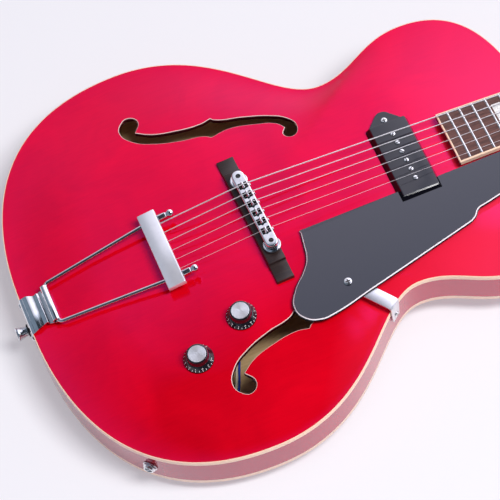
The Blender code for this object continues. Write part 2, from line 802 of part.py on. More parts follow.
def sound_hole_cutter(side, guitar):
    """The sound hole's shape, deep enough to pass through the top. Side is 1 for bass, -1 for treble."""
    name = "bass_sound_hole" if side > 0 else "treble_sound_hole"
    anchors = [(kind, x, side * y) for kind, x, y in SOUND_HOLE]
    return flat_shape(name, anchors, SOUND_HOLE_CURVE_STEPS, SOUND_HOLE_DEPTH, None, guitar, "cutters")


def build_top(guitar, pot_cutters):
    """The carved top with its sound holes, two braces, and holes for the pickup and the controls."""
    top = plate("top_plate", top_height, -PLATE_THICKNESS, TOP_RINGS, guitar)
    for side in (1, -1):
        name = "bass_brace" if side > 0 else "treble_brace"
        sections = []
        steps = 7
        for index in range(steps):
            share = index / (steps - 1)
            x = BRACE_START_X + (BRACE_END_X - BRACE_START_X) * share
            y = side * (BRACE_START_Y + (BRACE_END_Y - BRACE_START_Y) * share)
            top_z = top_height(x, y) - PLATE_THICKNESS / 2.0
            depth = BRACE_DEPTH * (0.35 + 0.65 * math.sin(math.pi * (0.08 + 0.84 * share)))
            low_z = top_height(x, y) - PLATE_THICKNESS - depth
            half = BRACE_WIDTH / 2.0
            sections.append([(x, y - half, low_z), (x, y + half, low_z),
                             (x, y + half, top_z), (x, y - half, top_z)])
        join(top, loft(name, sections, bare_maple(), guitar))
    cut(top, sound_hole_cutter(1, guitar), sound_hole_cutter(-1, guitar))
    low = (PICKUP_X - BASEPLATE_WIDTH / 2 - GAP, -BASEPLATE_LENGTH / 2 - GAP, -COIL_BELOW)
    high = (PICKUP_X + BASEPLATE_WIDTH / 2 + GAP, BASEPLATE_LENGTH / 2 + GAP, TOP_ARCH + CUT_PAST)
    cut(top, block("pickup_opening", low, high, None, guitar, "cutters"))
    cut(top, *pot_cutters)
    return top


def build_rim(guitar, cutters):
    """The side with its linings, cut for the neck joint, the jack and the strap button's screw."""
    top_z = -BINDING_HEIGHT - GAP
    low_z = -BODY_DEPTH + BINDING_HEIGHT + GAP
    profile = (
        (0.0, top_z), (LINING_WIDTH, top_z), (LINING_WIDTH, top_z - LINING_HEIGHT),
        (SIDE_THICKNESS, top_z - LINING_HEIGHT - LINING_TAPER),
        (SIDE_THICKNESS, low_z + LINING_HEIGHT + LINING_TAPER),
        (LINING_WIDTH, low_z + LINING_HEIGHT), (LINING_WIDTH, low_z), (0.0, low_z),
    )
    rim = outline_ring("rim", profile, red_gloss(), guitar)
    cut(rim, *cutters)
    return rim


def build_bindings(guitar):
    """Cream strips let into the corners where the plates meet the side."""
    for name, high in (("top_binding", 0.0), ("back_binding", -BODY_DEPTH + BINDING_HEIGHT)):
        low = high - BINDING_HEIGHT
        profile = ((0.0, high), (BINDING_WIDTH, high), (BINDING_WIDTH, low), (0.0, low))
        outline_ring(name, profile, cream(), guitar)


def end_block(name, x_inner, half_width, guitar):
    """A block whose outer face follows the lining, at the neck's or the tail's end."""
    at_tail = x_inner < 0.0
    line = inset_outline(LINING_WIDTH + GAP)
    near = [(x, y) for x, y in line if abs(y) < 2.0 * half_width and (x < 0.0) == at_tail]
    near.sort(key=lambda point: point[1])
    face = [(x, y) for x, y in near if abs(y) < half_width]
    ends = [(float(numpy.interp(y, [point[1] for point in near], [point[0] for point in near])), y)
            for y in (-half_width, half_width)]
    points = [ends[0]] + face + [ends[1], (x_inner, half_width), (x_inner, -half_width)]
    top_z = -BINDING_HEIGHT - GAP
    low_z = -BODY_DEPTH + BINDING_HEIGHT + GAP
    sections = [[(x, y, z) for x, y in points] for z in (low_z, top_z)]
    return loft(name, sections, bare_maple(), guitar)


def tenon(name, clearance, guitar):
    """The neck's dovetail, or the space for it when a clearance is given."""
    inner_x = BODY_END_X - TENON_LENGTH - clearance
    outer_x = BODY_END_X + GAP + CUT_PAST
    low = TENON_BOTTOM_Z - clearance
    high = TENON_TOP_Z + clearance
    narrow = TENON_HALF_OUTER + clearance
    wide = TENON_HALF_INNER + clearance
    plan = ((inner_x, -wide), (outer_x, -narrow), (outer_x, narrow), (inner_x, wide))
    sections = [[(x, y, z) for x, y in plan] for z in (low, high)]
    return loft(name, sections, red_gloss(), guitar, "cutters")


def round_section(half, depth, roundness=1.0):
    """A half-round slice below Z zero. It squares up as its roundness nears zero."""
    points = []
    for index in range(NECK_SECTION_STEPS + 1):
        angle = math.pi * index / NECK_SECTION_STEPS
        share = round(math.cos(angle), 9)
        reach = abs(share) ** (NECK_ROUNDNESS * roundness)
        fall = round(math.sin(angle), 9) ** roundness
        points.append((math.copysign(half * reach, share), -depth * fall))
    return points


def neck_section(x, depth):
    """A slice across the neck at a place along the guitar."""
    half = board_half_width(NUT_X - x)
    top_z = board_underside_z(x)
    return [(x, y, top_z + z) for y, z in round_section(half, depth)]


def head_sections():
    """Slices through the head, from the neck's round back to the head's flat one."""
    made = []
    for x, half in HEAD_WIDTHS:
        share = min(x / NECK_BLEND_LENGTH, 1.0)
        blend = share * share * (3.0 - 2.0 * share)
        roundness = 1.0 + (HEAD_CORNER - 1.0) * blend
        depth = NECK_DEPTH_NUT + (HEAD_THICKNESS - NECK_DEPTH_NUT) * blend
        section = round_section(half, depth, roundness)
        made.append([HEAD_MATRIX @ Vector((x, y, z)) for y, z in section])
    return made


def build_neck(guitar, neck_frame, head_frame):
    """One piece of wood: shaft, heel, tongue over the top, dovetail and head."""
    heel_x = BODY_END_X + GAP
    full_depth = board_underside_z(heel_x) + BODY_DEPTH - HEEL_ABOVE_BACK
    sections = []
    for share in (0.0, 0.08, 0.18, 0.30, 0.44, 0.60, 0.80, 1.0):
        x = heel_x + HEEL_LENGTH * share
        extra = (full_depth - NECK_DEPTH_HEEL) * (1.0 - share) ** HEEL_SWEEP
        sections.append(neck_section(x, NECK_DEPTH_HEEL + extra))
    plain_from = heel_x + HEEL_LENGTH
    for share in (0.3, 0.6, 0.85, 1.0):
        x = plain_from + (NUT_X - plain_from) * share
        depth = NECK_DEPTH_HEEL + (NECK_DEPTH_NUT - NECK_DEPTH_HEEL) * share
        sections.append(neck_section(x, depth))
    neck = loft("neck", sections + head_sections(), red_gloss(), guitar)

    tongue = []
    for x in (NUT_X - BOARD_LENGTH + TONGUE_END_INSET, heel_x + CUT_PAST):
        half = board_half_width(NUT_X - x) - TONGUE_INSET
        low = top_height(min(x, BODY_END_X), 0.0) + TONGUE_ABOVE_TOP
        high = board_underside_z(x)
        tongue.append([(x, -half, low), (x, half, low), (x, half, high), (x, -half, high)])
    join(neck, loft("neck_tongue", tongue, red_gloss(), guitar))
    join(neck, tenon("neck_tenon", 0.0, guitar))

    half = TRUSS_RADIUS + RUNNING
    slot_start = -(NUT_X - heel_x) + HEEL_LENGTH / 2.0
    slot = block("truss_slot", (slot_start - GAP, -half, -TRUSS_DEPTH - half),
                 (NUT_LENGTH + TRUSS_POCKET_LENGTH / 2.0, half, CUT_PAST), None, neck_frame, "cutters")
    pocket_half = TRUSS_NUT_RADIUS + 2.0 * RUNNING
    pocket = block("truss_pocket", (NUT_LENGTH + 4.0 * GAP, -pocket_half, -TRUSS_DEPTH - pocket_half),
                   (NUT_LENGTH + TRUSS_POCKET_LENGTH, pocket_half, CUT_PAST),
                   None, neck_frame, "cutters")
    cut(neck, slot, pocket)
    for side in (1, -1):
        for index in range(TUNERS_A_SIDE):
            x = TUNER_FIRST_X + TUNER_PITCH * index
            y = side * TUNER_POST_Y
            cut(neck, rod("post_hole", (x, y, -HEAD_THICKNESS - CUT_PAST), (x, y, CUT_PAST),
                          POST_HOLE_RADIUS, 10, None, head_frame, "cutters"))
    return neck


def crowned_section(x, half, low, high):
    """A slice with a flat bottom and the fingerboard's curved top."""
    points = [(x, -half, low), (x, half, low)]
    for index in range(BOARD_ARC_STEPS + 1):
        y = half - 2.0 * half * index / BOARD_ARC_STEPS
        points.append((x, y, high - crown_drop(y)))
    return points


def build_fingerboard(neck_frame):
    """The rosewood board with its frets, its cream binding and the nut."""
    inset = BOARD_BINDING_WIDTH + GAP
    stations = [(BOARD_LENGTH - inset, 0.0)]
    for number in range(FRET_COUNT, 0, -1):
        at = fret_distance(number)
        stations += [(at + FRET_WIDTH / 2.0, 0.0), (at, FRET_HEIGHT), (at - FRET_WIDTH / 2.0, 0.0)]
    stations.append((GAP, 0.0))
    sections = []
    for from_nut, lift in stations:
        half = board_half_width(from_nut) - inset
        sections.append(crowned_section(-from_nut, half, GAP, BOARD_THICKNESS + lift))
    board = loft("fingerboard", sections, rosewood(), neck_frame)

    outer = [(-GAP, -board_half_width(0.0))]
    inner = [(-GAP, -board_half_width(0.0) + BOARD_BINDING_WIDTH)]
    end_half = board_half_width(BOARD_LENGTH)
    for index in range(BOARD_ARC_STEPS + 1):
        share = 2.0 * index / BOARD_ARC_STEPS - 1.0
        outer.append((-BOARD_LENGTH, end_half * share))
        inner.append((-BOARD_LENGTH + BOARD_BINDING_WIDTH, (end_half - BOARD_BINDING_WIDTH) * share))
    outer.append((-GAP, board_half_width(0.0)))
    inner.append((-GAP, board_half_width(0.0) - BOARD_BINDING_WIDTH))
    sections = []
    for (outer_x, outer_y), (inner_x, inner_y) in zip(outer, inner):
        sections.append([
            (outer_x, outer_y, GAP), (inner_x, inner_y, GAP),
            (inner_x, inner_y, BOARD_THICKNESS - crown_drop(inner_y)),
            (outer_x, outer_y, BOARD_THICKNESS - crown_drop(outer_y))])
    loft("fingerboard_binding", sections, cream(), neck_frame)

    half = BOARD_NUT_WIDTH / 2.0 - GAP
    high = BOARD_THICKNESS + FRET_HEIGHT + STRING_ABOVE_NUT_FRET_LINE - GAP
    crown = ((GAP / 2.0, high), (NUT_FLAT_LENGTH, high), (NUT_LENGTH, high - NUT_BACK_DROP))
    sections = [crowned_section(x, half, GAP, z) for x, z in crown]
    loft("nut", sections, cream(), neck_frame)
    return board


def build_truss_rod(neck_frame, head_frame):
    """The rod in its slot with the nut that tightens it, and the cover over the pocket."""
    start = -(NUT_X - BODY_END_X - GAP) + HEEL_LENGTH / 2.0 + GAP
    end = NUT_LENGTH + TRUSS_POCKET_LENGTH / 2.0 - 4.0 * GAP
    points = ((start, 0.0, -TRUSS_DEPTH), (end, 0.0, -TRUSS_DEPTH))
    truss = rod("truss_rod", points[0], points[1], TRUSS_RADIUS, 8, steel(), neck_frame)
    nut_end = end + 0.0020
    join(truss, rod("truss_rod_nut", (nut_end - TRUSS_NUT_LENGTH, 0.0, -TRUSS_DEPTH),
                    (nut_end, 0.0, -TRUSS_DEPTH), TRUSS_NUT_RADIUS, 6, steel(), neck_frame))
    half = TRUSS_COVER_HALF_WIDTH
    length = TRUSS_COVER_LENGTH
    anchors = (("tip", 0.001, -half), ("smooth", 0.45 * length, -0.80 * half),
               ("smooth", 0.86 * length, -0.34 * half), ("smooth", length, 0.0),
               ("smooth", 0.86 * length, 0.34 * half), ("smooth", 0.45 * length, 0.80 * half),
               ("tip", 0.001, half))
    cover = flat_shape("truss_rod_cover", anchors, 2, TRUSS_COVER_THICKNESS, black_gloss(), head_frame)
    place(cover, (0.0, 0.0, GAP + TRUSS_COVER_THICKNESS / 2.0))


def build_tuners(head_frame):
    """Two strips of three open-geared tuners, each with its post and gear, and its worm and button."""
    plate_top = -HEAD_THICKNESS - GAP
    plate_low = plate_top - TUNER_PLATE_THICKNESS
    gear_mid = plate_low - GAP - WORM_RADIUS
    worm_x = GEAR_RADIUS + WORM_RADIUS + GAP
    last_x = TUNER_FIRST_X + TUNER_PITCH * (TUNERS_A_SIDE - 1)
    ear_y = WORM_HALF_LENGTH + GAP + TUNER_EAR_THICKNESS / 2.0
    for side, side_name in ((1, "bass"), (-1, "treble")):
        middle_y = side * TUNER_POST_Y
        strip = block("tuner_plate_" + side_name,
                      (TUNER_FIRST_X - TUNER_PLATE_MARGIN - worm_x / 2.0,
                       middle_y - TUNER_PLATE_WIDTH / 2.0, plate_low),
                      (last_x + TUNER_PLATE_MARGIN, middle_y + TUNER_PLATE_WIDTH / 2.0, plate_top),
                      steel(), head_frame)
        for index in range(TUNERS_A_SIDE):
            number = 6 - index if side > 0 else 1 + index
            x = TUNER_FIRST_X + TUNER_PITCH * index
            build_tuner(number, x, middle_y, side, gear_mid, worm_x, head_frame)
            cut(strip, rod("plate_hole", (x, middle_y, plate_low - CUT_PAST),
                           (x, middle_y, plate_top + CUT_PAST), POST_RADIUS + RUNNING, 10,
                           None, head_frame, "cutters"))
            for ear_side in (-1, 1):
                at_y = middle_y + ear_side * ear_y
                low = (x - worm_x - TUNER_EAR_HALF_WIDTH, at_y - TUNER_EAR_THICKNESS / 2.0,
                       gear_mid - WORM_RADIUS)
                high = (x - worm_x + TUNER_EAR_HALF_WIDTH, at_y + TUNER_EAR_THICKNESS / 2.0,
                        plate_low + TUNER_PLATE_THICKNESS / 2.0)
                join(strip, block("tuner_ear", low, high, steel(), head_frame))
            cut(strip, rod("ear_hole", (x - worm_x, middle_y - ear_y - CUT_PAST, gear_mid),
                           (x - worm_x, middle_y + ear_y + CUT_PAST, gear_mid),
                           WORM_SHAFT_RADIUS + RUNNING, 8, None, head_frame, "cutters"))


def build_tuner(number, x, y, side, gear_mid, worm_x, head_frame):
    """One post with its gear, and the worm with its shaft and oval button."""
    gear_top = gear_mid + GEAR_THICKNESS / 2.0
    gear_low = gear_mid - GEAR_THICKNESS / 2.0
    waist = POST_RADIUS * 0.82
    profile = (
        (0.0, POST_ABOVE_HEAD), (POST_RADIUS * 0.8, POST_ABOVE_HEAD),
        (POST_RADIUS, POST_ABOVE_HEAD - 0.0012), (POST_RADIUS, STRING_WRAP_HEIGHT + 0.0020),
        (waist, STRING_WRAP_HEIGHT), (waist, STRING_WRAP_HEIGHT - 0.0030),
        (POST_RADIUS, STRING_WRAP_HEIGHT - 0.0042), (POST_RADIUS, gear_top),
        (GEAR_RADIUS, gear_top), (GEAR_RADIUS, gear_low), (GEAR_SCREW_RADIUS, gear_low),
        (GEAR_SCREW_RADIUS, gear_low - GEAR_SCREW_HEIGHT), (0.0, gear_low - GEAR_SCREW_HEIGHT),
    )
    place(turned("tuner_post_%d" % number, profile, 10, steel(), head_frame), (x, y, 0.0))

    reach = WORM_HALF_LENGTH + GAP + TUNER_EAR_THICKNESS + GAP
    button_from = BUTTON_Y - BUTTON_HALF_OUT - TUNER_POST_Y
    profile = (
        (0.0, button_from + BUTTON_HALF_OUT), (WORM_SHAFT_RADIUS, button_from + BUTTON_HALF_OUT),
        (WORM_SHAFT_RADIUS, WORM_HALF_LENGTH), (WORM_RADIUS, WORM_HALF_LENGTH),
        (WORM_RADIUS, -WORM_HALF_LENGTH), (WORM_SHAFT_RADIUS, -WORM_HALF_LENGTH),
        (WORM_SHAFT_RADIUS, -reach), (0.0, -reach),
    )
    shaft = turned("tuner_button_%d" % number, profile, 8, steel(), head_frame)
    place(shaft, (x - worm_x, y, gear_mid), (-side * math.pi / 2.0, 0.0, 0.0))
    mesh_edit = bmesh.new()
    size = Matrix.Diagonal((BUTTON_HALF_ALONG, BUTTON_HALF_OUT, BUTTON_HALF_THICK, 1.0))
    turn = Matrix.Rotation(math.pi / 2.0, 4, "X")
    bmesh.ops.create_uvsphere(mesh_edit, u_segments=10, v_segments=6, radius=1.0, matrix=size @ turn)
    oval = mesh_object("tuner_oval", mesh_edit, cream(), head_frame)
    place(oval, (x - worm_x, side * BUTTON_Y, gear_mid))
    join(shaft, oval)


def bridge_point(x, y, z):
    """A point of the slanted bridge in the guitar's frame."""
    return Matrix.Rotation(BRIDGE_SLANT, 4, "Z") @ Vector((x, y, z))


def build_bridge(guitar):
    """Base, posts, thumbwheels, body and six saddles, all turned by the bridge's slant."""
    turn = (0.0, 0.0, BRIDGE_SLANT)
    half = BRIDGE_BASE_LENGTH / 2.0
    low_x = BRIDGE_BASE_SHIFT - BRIDGE_BASE_WIDTH / 2.0
    high_x = BRIDGE_BASE_SHIFT + BRIDGE_BASE_WIDTH / 2.0
    step_z = BRIDGE_BASE_TOP_Z - BRIDGE_STEP_DROP
    marks = (0.0, 0.30, 0.65, 1.0)
    half_stations = [(0.0, BRIDGE_BASE_TOP_Z), (0.45 * BRIDGE_STEP_Y, BRIDGE_BASE_TOP_Z),
                     (BRIDGE_STEP_Y - GAP, BRIDGE_BASE_TOP_Z)]
    foot_z = top_height(0.0, half) + BRIDGE_FOOT_THICKNESS
    for mark in marks:
        y = BRIDGE_STEP_Y + (half - BRIDGE_STEP_Y) * mark
        scoop = BRIDGE_SCOOP * math.sin(math.pi * mark)
        half_stations.append((y, step_z + (foot_z - step_z) * mark - scoop))
    stations = [(-y, z) for y, z in reversed(half_stations[1:])] + half_stations
    sections = []
    for from_middle, high_z in stations:
        y = from_middle + BRIDGE_BASE_SHIFT_Y
        low_z = [top_height(*bridge_point(x, y, 0.0).xy) + GAP for x in (low_x, high_x)]
        sections.append([(low_x, y, low_z[0]), (high_x, y, low_z[1]), (high_x, y, high_z), (low_x, y, high_z)])
    base = place(loft("bridge_base", sections, rosewood(), guitar), rotation=turn)

    wheel_low = BRIDGE_BASE_TOP_Z + WHEEL_ABOVE_BASE
    body_low = wheel_low + WHEEL_THICKNESS + GAP
    body_high = body_low + BRIDGE_BODY_HEIGHT
    body_half = BRIDGE_POST_SPACING / 2.0 + BRIDGE_END_RADIUS
    outline = []
    for side in (1, -1):
        for index in range(7):
            angle = math.pi * index / 6.0 * side if side > 0 else math.pi + math.pi * index / 6.0
            centre_y = side * (body_half - BRIDGE_BODY_WIDTH / 2.0)
            outline.append((BRIDGE_BODY_WIDTH / 2.0 * math.cos(angle),
                            centre_y + BRIDGE_BODY_WIDTH / 2.0 * math.sin(angle)))
    sections = [[(x, y, z) for x, y in outline] for z in (body_low, body_high)]
    body = place(loft("bridge_body", sections, chrome(), guitar), rotation=turn)
    channel_half = string_y(0, STRING_SPACING_BRIDGE) + SADDLE_WIDTH / 2.0 + BRIDGE_CHANNEL_MARGIN
    floor_z = body_low + BRIDGE_FLOOR
    channel = block("saddle_channel", (-BRIDGE_CHANNEL_WIDTH / 2.0, -channel_half, floor_z),
                    (BRIDGE_CHANNEL_WIDTH / 2.0, channel_half, body_high + CUT_PAST),
                    None, guitar, "cutters")
    cut(body, place(channel, rotation=turn))

    for side, side_name in ((1, "bass"), (-1, "treble")):
        at = bridge_point(0.0, side * BRIDGE_POST_SPACING / 2.0, 0.0)
        post_low = BRIDGE_BASE_TOP_Z - BRIDGE_POST_DEPTH
        post_high = body_high + GAP
        post = rod("bridge_post_" + side_name, (0.0, 0.0, post_low), (0.0, 0.0, post_high),
                   BRIDGE_POST_RADIUS, 12, steel(), guitar)
        place(post, at, turn)
        slot_half = BRIDGE_POST_SLOT_WIDTH / 2.0
        slot = block("post_slot", (-BRIDGE_POST_RADIUS - CUT_PAST, -slot_half,
                                   post_high - BRIDGE_POST_SLOT_DEPTH),
                     (BRIDGE_POST_RADIUS + CUT_PAST, slot_half, post_high + CUT_PAST),
                     None, guitar, "cutters")
        cut(post, place(slot, at, turn))
        hole = rod("post_hole_" + side_name, (0.0, 0.0, post_low - GAP), (0.0, 0.0, post_high + CUT_PAST),
                   BRIDGE_POST_RADIUS + RUNNING, 12, None, guitar, "cutters")
        place(hole, at, turn)
        cut(base, hole)
        cut(body, hole)
        wheel = ring_turned("thumbwheel_" + side_name, BRIDGE_POST_RADIUS + RUNNING, WHEEL_RADIUS,
                            -WHEEL_THICKNESS / 2.0, WHEEL_THICKNESS / 2.0, 20, chrome(), guitar)
        place(wheel, at + Vector((0.0, 0.0, wheel_low + WHEEL_THICKNESS / 2.0)), turn)

    screw_z = floor_z + (BRIDGE_BODY_HEIGHT - BRIDGE_FLOOR) * 0.46
    wall = BRIDGE_BODY_WIDTH / 2.0
    for index in range(6):
        y = string_y(index, STRING_SPACING_BRIDGE)
        screw = rod("saddle_screw", (-wall + 0.0005, y, screw_z), (wall + 0.0008, y, screw_z),
                    SADDLE_SCREW_RADIUS, 8, steel(), guitar)
        head = rod("saddle_screw_head", (wall - 0.0004, y, screw_z),
                   (wall + SADDLE_SCREW_HEAD_LENGTH, y, screw_z), SADDLE_SCREW_HEAD_RADIUS, 8,
                   steel(), guitar)
        join(body, place(screw, rotation=turn), place(head, rotation=turn))
        build_saddle(index, y, floor_z, body_high, screw_z, guitar)


def build_saddle(index, y, floor_z, body_high, screw_z, guitar):
    """A saddle: a block with a ridge under its string, bored for its screw."""
    ridge_z = string_height_at_bridge(index) - GAP
    chin_z = body_high - GAP
    half = SADDLE_LENGTH / 2.0
    profile = ((-half, floor_z + GAP), (half, floor_z + GAP), (half, chin_z),
               (0.0004, ridge_z), (-0.0004, ridge_z), (-half, chin_z))
    wide = SADDLE_WIDTH / 2.0
    sections = [[(x, y_at, z) for x, z in profile] for y_at in (y - wide, y + wide)]
    turn = (0.0, 0.0, BRIDGE_SLANT)
    saddle = place(loft("saddle_%d" % (6 - index), sections, chrome(), guitar), rotation=turn)
    bore = rod("saddle_bore", (-half - CUT_PAST, y, screw_z), (half + CUT_PAST, y, screw_z),
               SADDLE_SCREW_RADIUS + RUNNING, 8, None, guitar, "cutters")
    cut(saddle, place(bore, rotation=turn))


def bent_strip(name, path, halves, thickness, across, material, guitar):
    """A strip of sheet bent along a path, with its half width given at each point."""
    route = [Vector(point) for point in path]
    across = Vector(across).normalized()
    sections = []
    for index, point in enumerate(route):
        before = route[max(index - 1, 0)]
        after = route[min(index + 1, len(route) - 1)]
        normal = (after - before).normalized().cross(across).normalized() * (thickness / 2.0)
        wide = across * halves[index]
        sections.append([point - wide - normal, point + wide - normal,
                         point + wide + normal, point - wide + normal])
    return loft(name, sections, material, guitar)


def build_hanger(guitar):
    """The plate over the tail: a leg down the side, a wave over the edge and a curl round the wire."""
    leg_x = TAIL_FACE_X - GAP - HANGER_THICKNESS / 2.0
    curl = WIRE_RADIUS + RUNNING + HANGER_THICKNESS / 2.0
    y = TAILPIECE_SHIFT_Y
    path = [(leg_x, y, -HANGER_LEG_LENGTH), (leg_x, y, -0.62 * HANGER_LEG_LENGTH),
            (leg_x, y, HANGER_SCREW_Z), (leg_x, y, -0.0008), (leg_x + 0.0014, y, 0.0022),
            (leg_x + 0.0050, y, 0.0042), (leg_x + 0.0095, y, 0.0052), (leg_x + 0.0140, y, 0.0041),
            (leg_x + 0.0185, y, 0.0030), (BARREL_X - 0.0032, y, BARREL_Z - curl - 0.0009)]
    halves = [HANGER_LEG_TIP_HALF, 0.8 * HANGER_LEG_HALF, HANGER_LEG_HALF, HANGER_EDGE_HALF,
              HANGER_EDGE_HALF, 0.95 * HANGER_EDGE_HALF, 0.86 * HANGER_EDGE_HALF, HANGER_WAIST_HALF,
              1.08 * HANGER_WAIST_HALF, HANGER_CURL_HALF]
    for degrees in range(-90, 151, 40):
        angle = math.radians(degrees)
        path.append((BARREL_X + curl * math.cos(angle), y, BARREL_Z + curl * math.sin(angle)))
        halves.append(HANGER_CURL_HALF)
    hanger = bent_strip("tailpiece_hanger", path, halves, HANGER_THICKNESS, (0, 1, 0), chrome(), guitar)
    outer_x = leg_x - HANGER_THICKNESS / 2.0
    for side in (-1, 1):
        at = (outer_x + 0.0006, y + side * HANGER_SCREW_Y, HANGER_SCREW_Z)
        end = (outer_x - 0.0014, at[1], at[2])
        join(hanger, rod("hanger_screw", at, end, HANGER_SCREW_RADIUS, 10, steel(), guitar))
    return hanger


def strap_screw_hole(guitar):
    """The hole that the strap button's screw passes through."""
    return rod("strap_screw_hole", (TAIL_X - 0.006, 0.0, STRAP_BUTTON_Z),
               (TAIL_X + STRAP_SCREW_LENGTH + GAP, 0.0, STRAP_BUTTON_Z),
               STRAP_SCREW_RADIUS + RUNNING, 10, None, guitar, "cutters")


def build_strap_button(guitar):
    """The tail's strap button with its washer and screw, turned about its own axis."""
    neck_end = STRAP_BUTTON_LENGTH * 0.62
    washer = STRAP_WASHER_THICKNESS
    profile = (
        (0.0, STRAP_BUTTON_LENGTH), (STRAP_BUTTON_RADIUS * 0.86, STRAP_BUTTON_LENGTH),
        (STRAP_BUTTON_RADIUS, STRAP_BUTTON_LENGTH - 0.0010),
        (STRAP_BUTTON_RADIUS * 0.96, STRAP_BUTTON_LENGTH - 0.0024),
        (STRAP_BUTTON_NECK_RADIUS, neck_end - 0.0016), (STRAP_BUTTON_NECK_RADIUS * 1.15, washer + 0.0008),
        (STRAP_WASHER_RADIUS, washer), (STRAP_WASHER_RADIUS, 0.0), (STRAP_SCREW_RADIUS, 0.0),
        (STRAP_SCREW_RADIUS, -STRAP_SCREW_LENGTH), (0.0, -STRAP_SCREW_LENGTH),
    )
    button = turned("strap_button", profile, 16, chrome(), guitar)
    outer_x = TAIL_FACE_X - 2.0 * GAP - HANGER_THICKNESS
    return place(button, (outer_x, 0.0, STRAP_BUTTON_Z), (0.0, -math.pi / 2.0, 0.0))


def rod_point(side, along):
    """A point of the tailpiece's slanting rod: along is zero at the barrel and one at the bar."""
    start = Vector((BARREL_X, side * WIRE_HALF_AT_BARREL, BARREL_Z))
    end = Vector((BAR_X, side * ROD_HALF_AT_BAR, BAR_Z))
    return start + (end - start) * along + Vector((0.0, TAILPIECE_SHIFT_Y, 0.0))


def build_tailpiece(guitar):
    """One bent wire, hinged in the hanger's curl, with the crossbar and a nut on each end."""
    rod_length = (rod_point(1, 1.0) - rod_point(1, 0.0)).length
    past_bar = 1.0 + (BAR_WIDTH / 2.0 + NUT_SLEEVE_LENGTH * 0.8) / rod_length
    bend = WIRE_BEND / rod_length
    inner_y = WIRE_HALF_AT_BARREL - WIRE_BEND
    points = [rod_point(1, past_bar), rod_point(1, bend), rod_point(1, bend * 0.25),
              Vector((BARREL_X, inner_y + TAILPIECE_SHIFT_Y, BARREL_Z))]
    mirrored = [Vector((point.x, 2.0 * TAILPIECE_SHIFT_Y - point.y, point.z)) for point in reversed(points)]
    hinge = Vector((BARREL_X, TAILPIECE_SHIFT_Y, BARREL_Z))
    wire_points = [point - hinge for point in points + mirrored]
    wire = tube_mesh("tailpiece_wire", wire_points, WIRE_RADIUS, 2, chrome(), guitar)
    place(wire, hinge)

    half = (BAR_WIDTH / 2.0, BAR_LENGTH / 2.0, BAR_THICKNESS / 2.0)
    bar = block("tailpiece_bar", [-size for size in half], half, chrome(), guitar)
    place(bar, (BAR_X, TAILPIECE_SHIFT_Y, BAR_Z), (0.0, -ROD_RISE, 0.0))
    for side, side_name in ((1, "bass"), (-1, "treble")):
        hole = rod("rod_hole", rod_point(side, 0.85), rod_point(side, 1.15), WIRE_RADIUS + RUNNING, 10,
                   None, guitar, "cutters")
        cut(bar, hole)
        join(wire, build_tailpiece_nut(side, guitar))
    for index in range(6):
        start, end = tail_string_line(index)
        beyond = (start - end).normalized() * BAR_WIDTH
        cut(bar, rod("string_hole", start + beyond, end, STRING_RADII[index] + RUNNING, 8,
                     None, guitar, "cutters"))


def build_tailpiece_nut(side, guitar):
    """The hexagonal sleeve and ball that end one side of the wire."""
    direction = (rod_point(side, 1.0) - rod_point(side, 0.0)).normalized()
    foot = rod_point(side, 1.0) + direction * (BAR_WIDTH / 2.0 + 3.0 * GAP)
    turn = direction.to_track_quat("Z", "Y").to_euler()
    sleeve = NUT_SLEEVE_LENGTH
    profile = [(0.0, sleeve + 2.0 * NUT_BALL_RADIUS)]
    for degrees in (30, 60, 90, 125):
        angle = math.radians(degrees)
        profile.append((NUT_BALL_RADIUS * math.sin(angle),
                        sleeve + NUT_BALL_RADIUS + NUT_BALL_RADIUS * math.cos(angle)))
    profile += [(NUT_BALL_RADIUS * 0.72, sleeve), (NUT_SLEEVE_RADIUS * 0.92, sleeve - 0.0002),
                (NUT_SLEEVE_RADIUS, sleeve - 0.0010), (NUT_SLEEVE_RADIUS, 0.0), (0.0, 0.0)]
    nut = turned("tailpiece_nut", profile, 12, chrome(), guitar)
    return place(nut, foot, turn)


def tail_string_line(index):
    """Where a string starts in the crossbar, and where it leaves the bar's edge."""
    bridge = bridge_point(0.0, string_y(index, STRING_SPACING_BRIDGE), 0.0)
    bridge.z = string_height_at_bridge(index) + STRING_RADII[index]
    bar = Vector((BAR_X, string_y(index, STRING_SPACING_TAIL) + TAILPIECE_SHIFT_Y, BAR_Z))
    inside = BAR_WIDTH / 2.0 - 0.0020
    direction = (bridge - bar).normalized()
    return bar - direction * inside, bridge


def build_strings(guitar, head_frame):
    """Six strings from the crossbar, over their saddles and the nut, and round their posts."""
    for index, radius in enumerate(STRING_RADII):
        start, over_saddle = tail_string_line(index)
        nut_y = string_y(index, STRING_SPACING_NUT)
        nut_z = BOARD_THICKNESS + FRET_HEIGHT + STRING_ABOVE_NUT_FRET_LINE - crown_drop(nut_y) + radius
        over_nut = NECK_MATRIX @ Vector((NUT_FLAT_LENGTH, nut_y, nut_z))
        side = 1 if index < 3 else -1
        place_on_side = index if side > 0 else 5 - index
        post = Vector((TUNER_FIRST_X + TUNER_PITCH * place_on_side, side * TUNER_POST_Y, 0.0))
        inner = POST_RADIUS + RUNNING
        wraps_half = 1.5 * radius + 0.0004
        outer = inner + 2.0 * radius + 0.0006
        reach = Vector((0.0, -side * (inner + outer) / 2.0, STRING_WRAP_HEIGHT))
        points = [start, over_saddle, over_nut, HEAD_MATRIX @ (post + reach)]
        string = tube_mesh("string_%d" % (6 - index), points, radius, 1, steel(), guitar)
        wraps = ring_turned("string_wraps", inner, outer, STRING_WRAP_HEIGHT - wraps_half,
                            STRING_WRAP_HEIGHT + wraps_half, 12, steel(), head_frame)
        join(string, place(wraps, post))


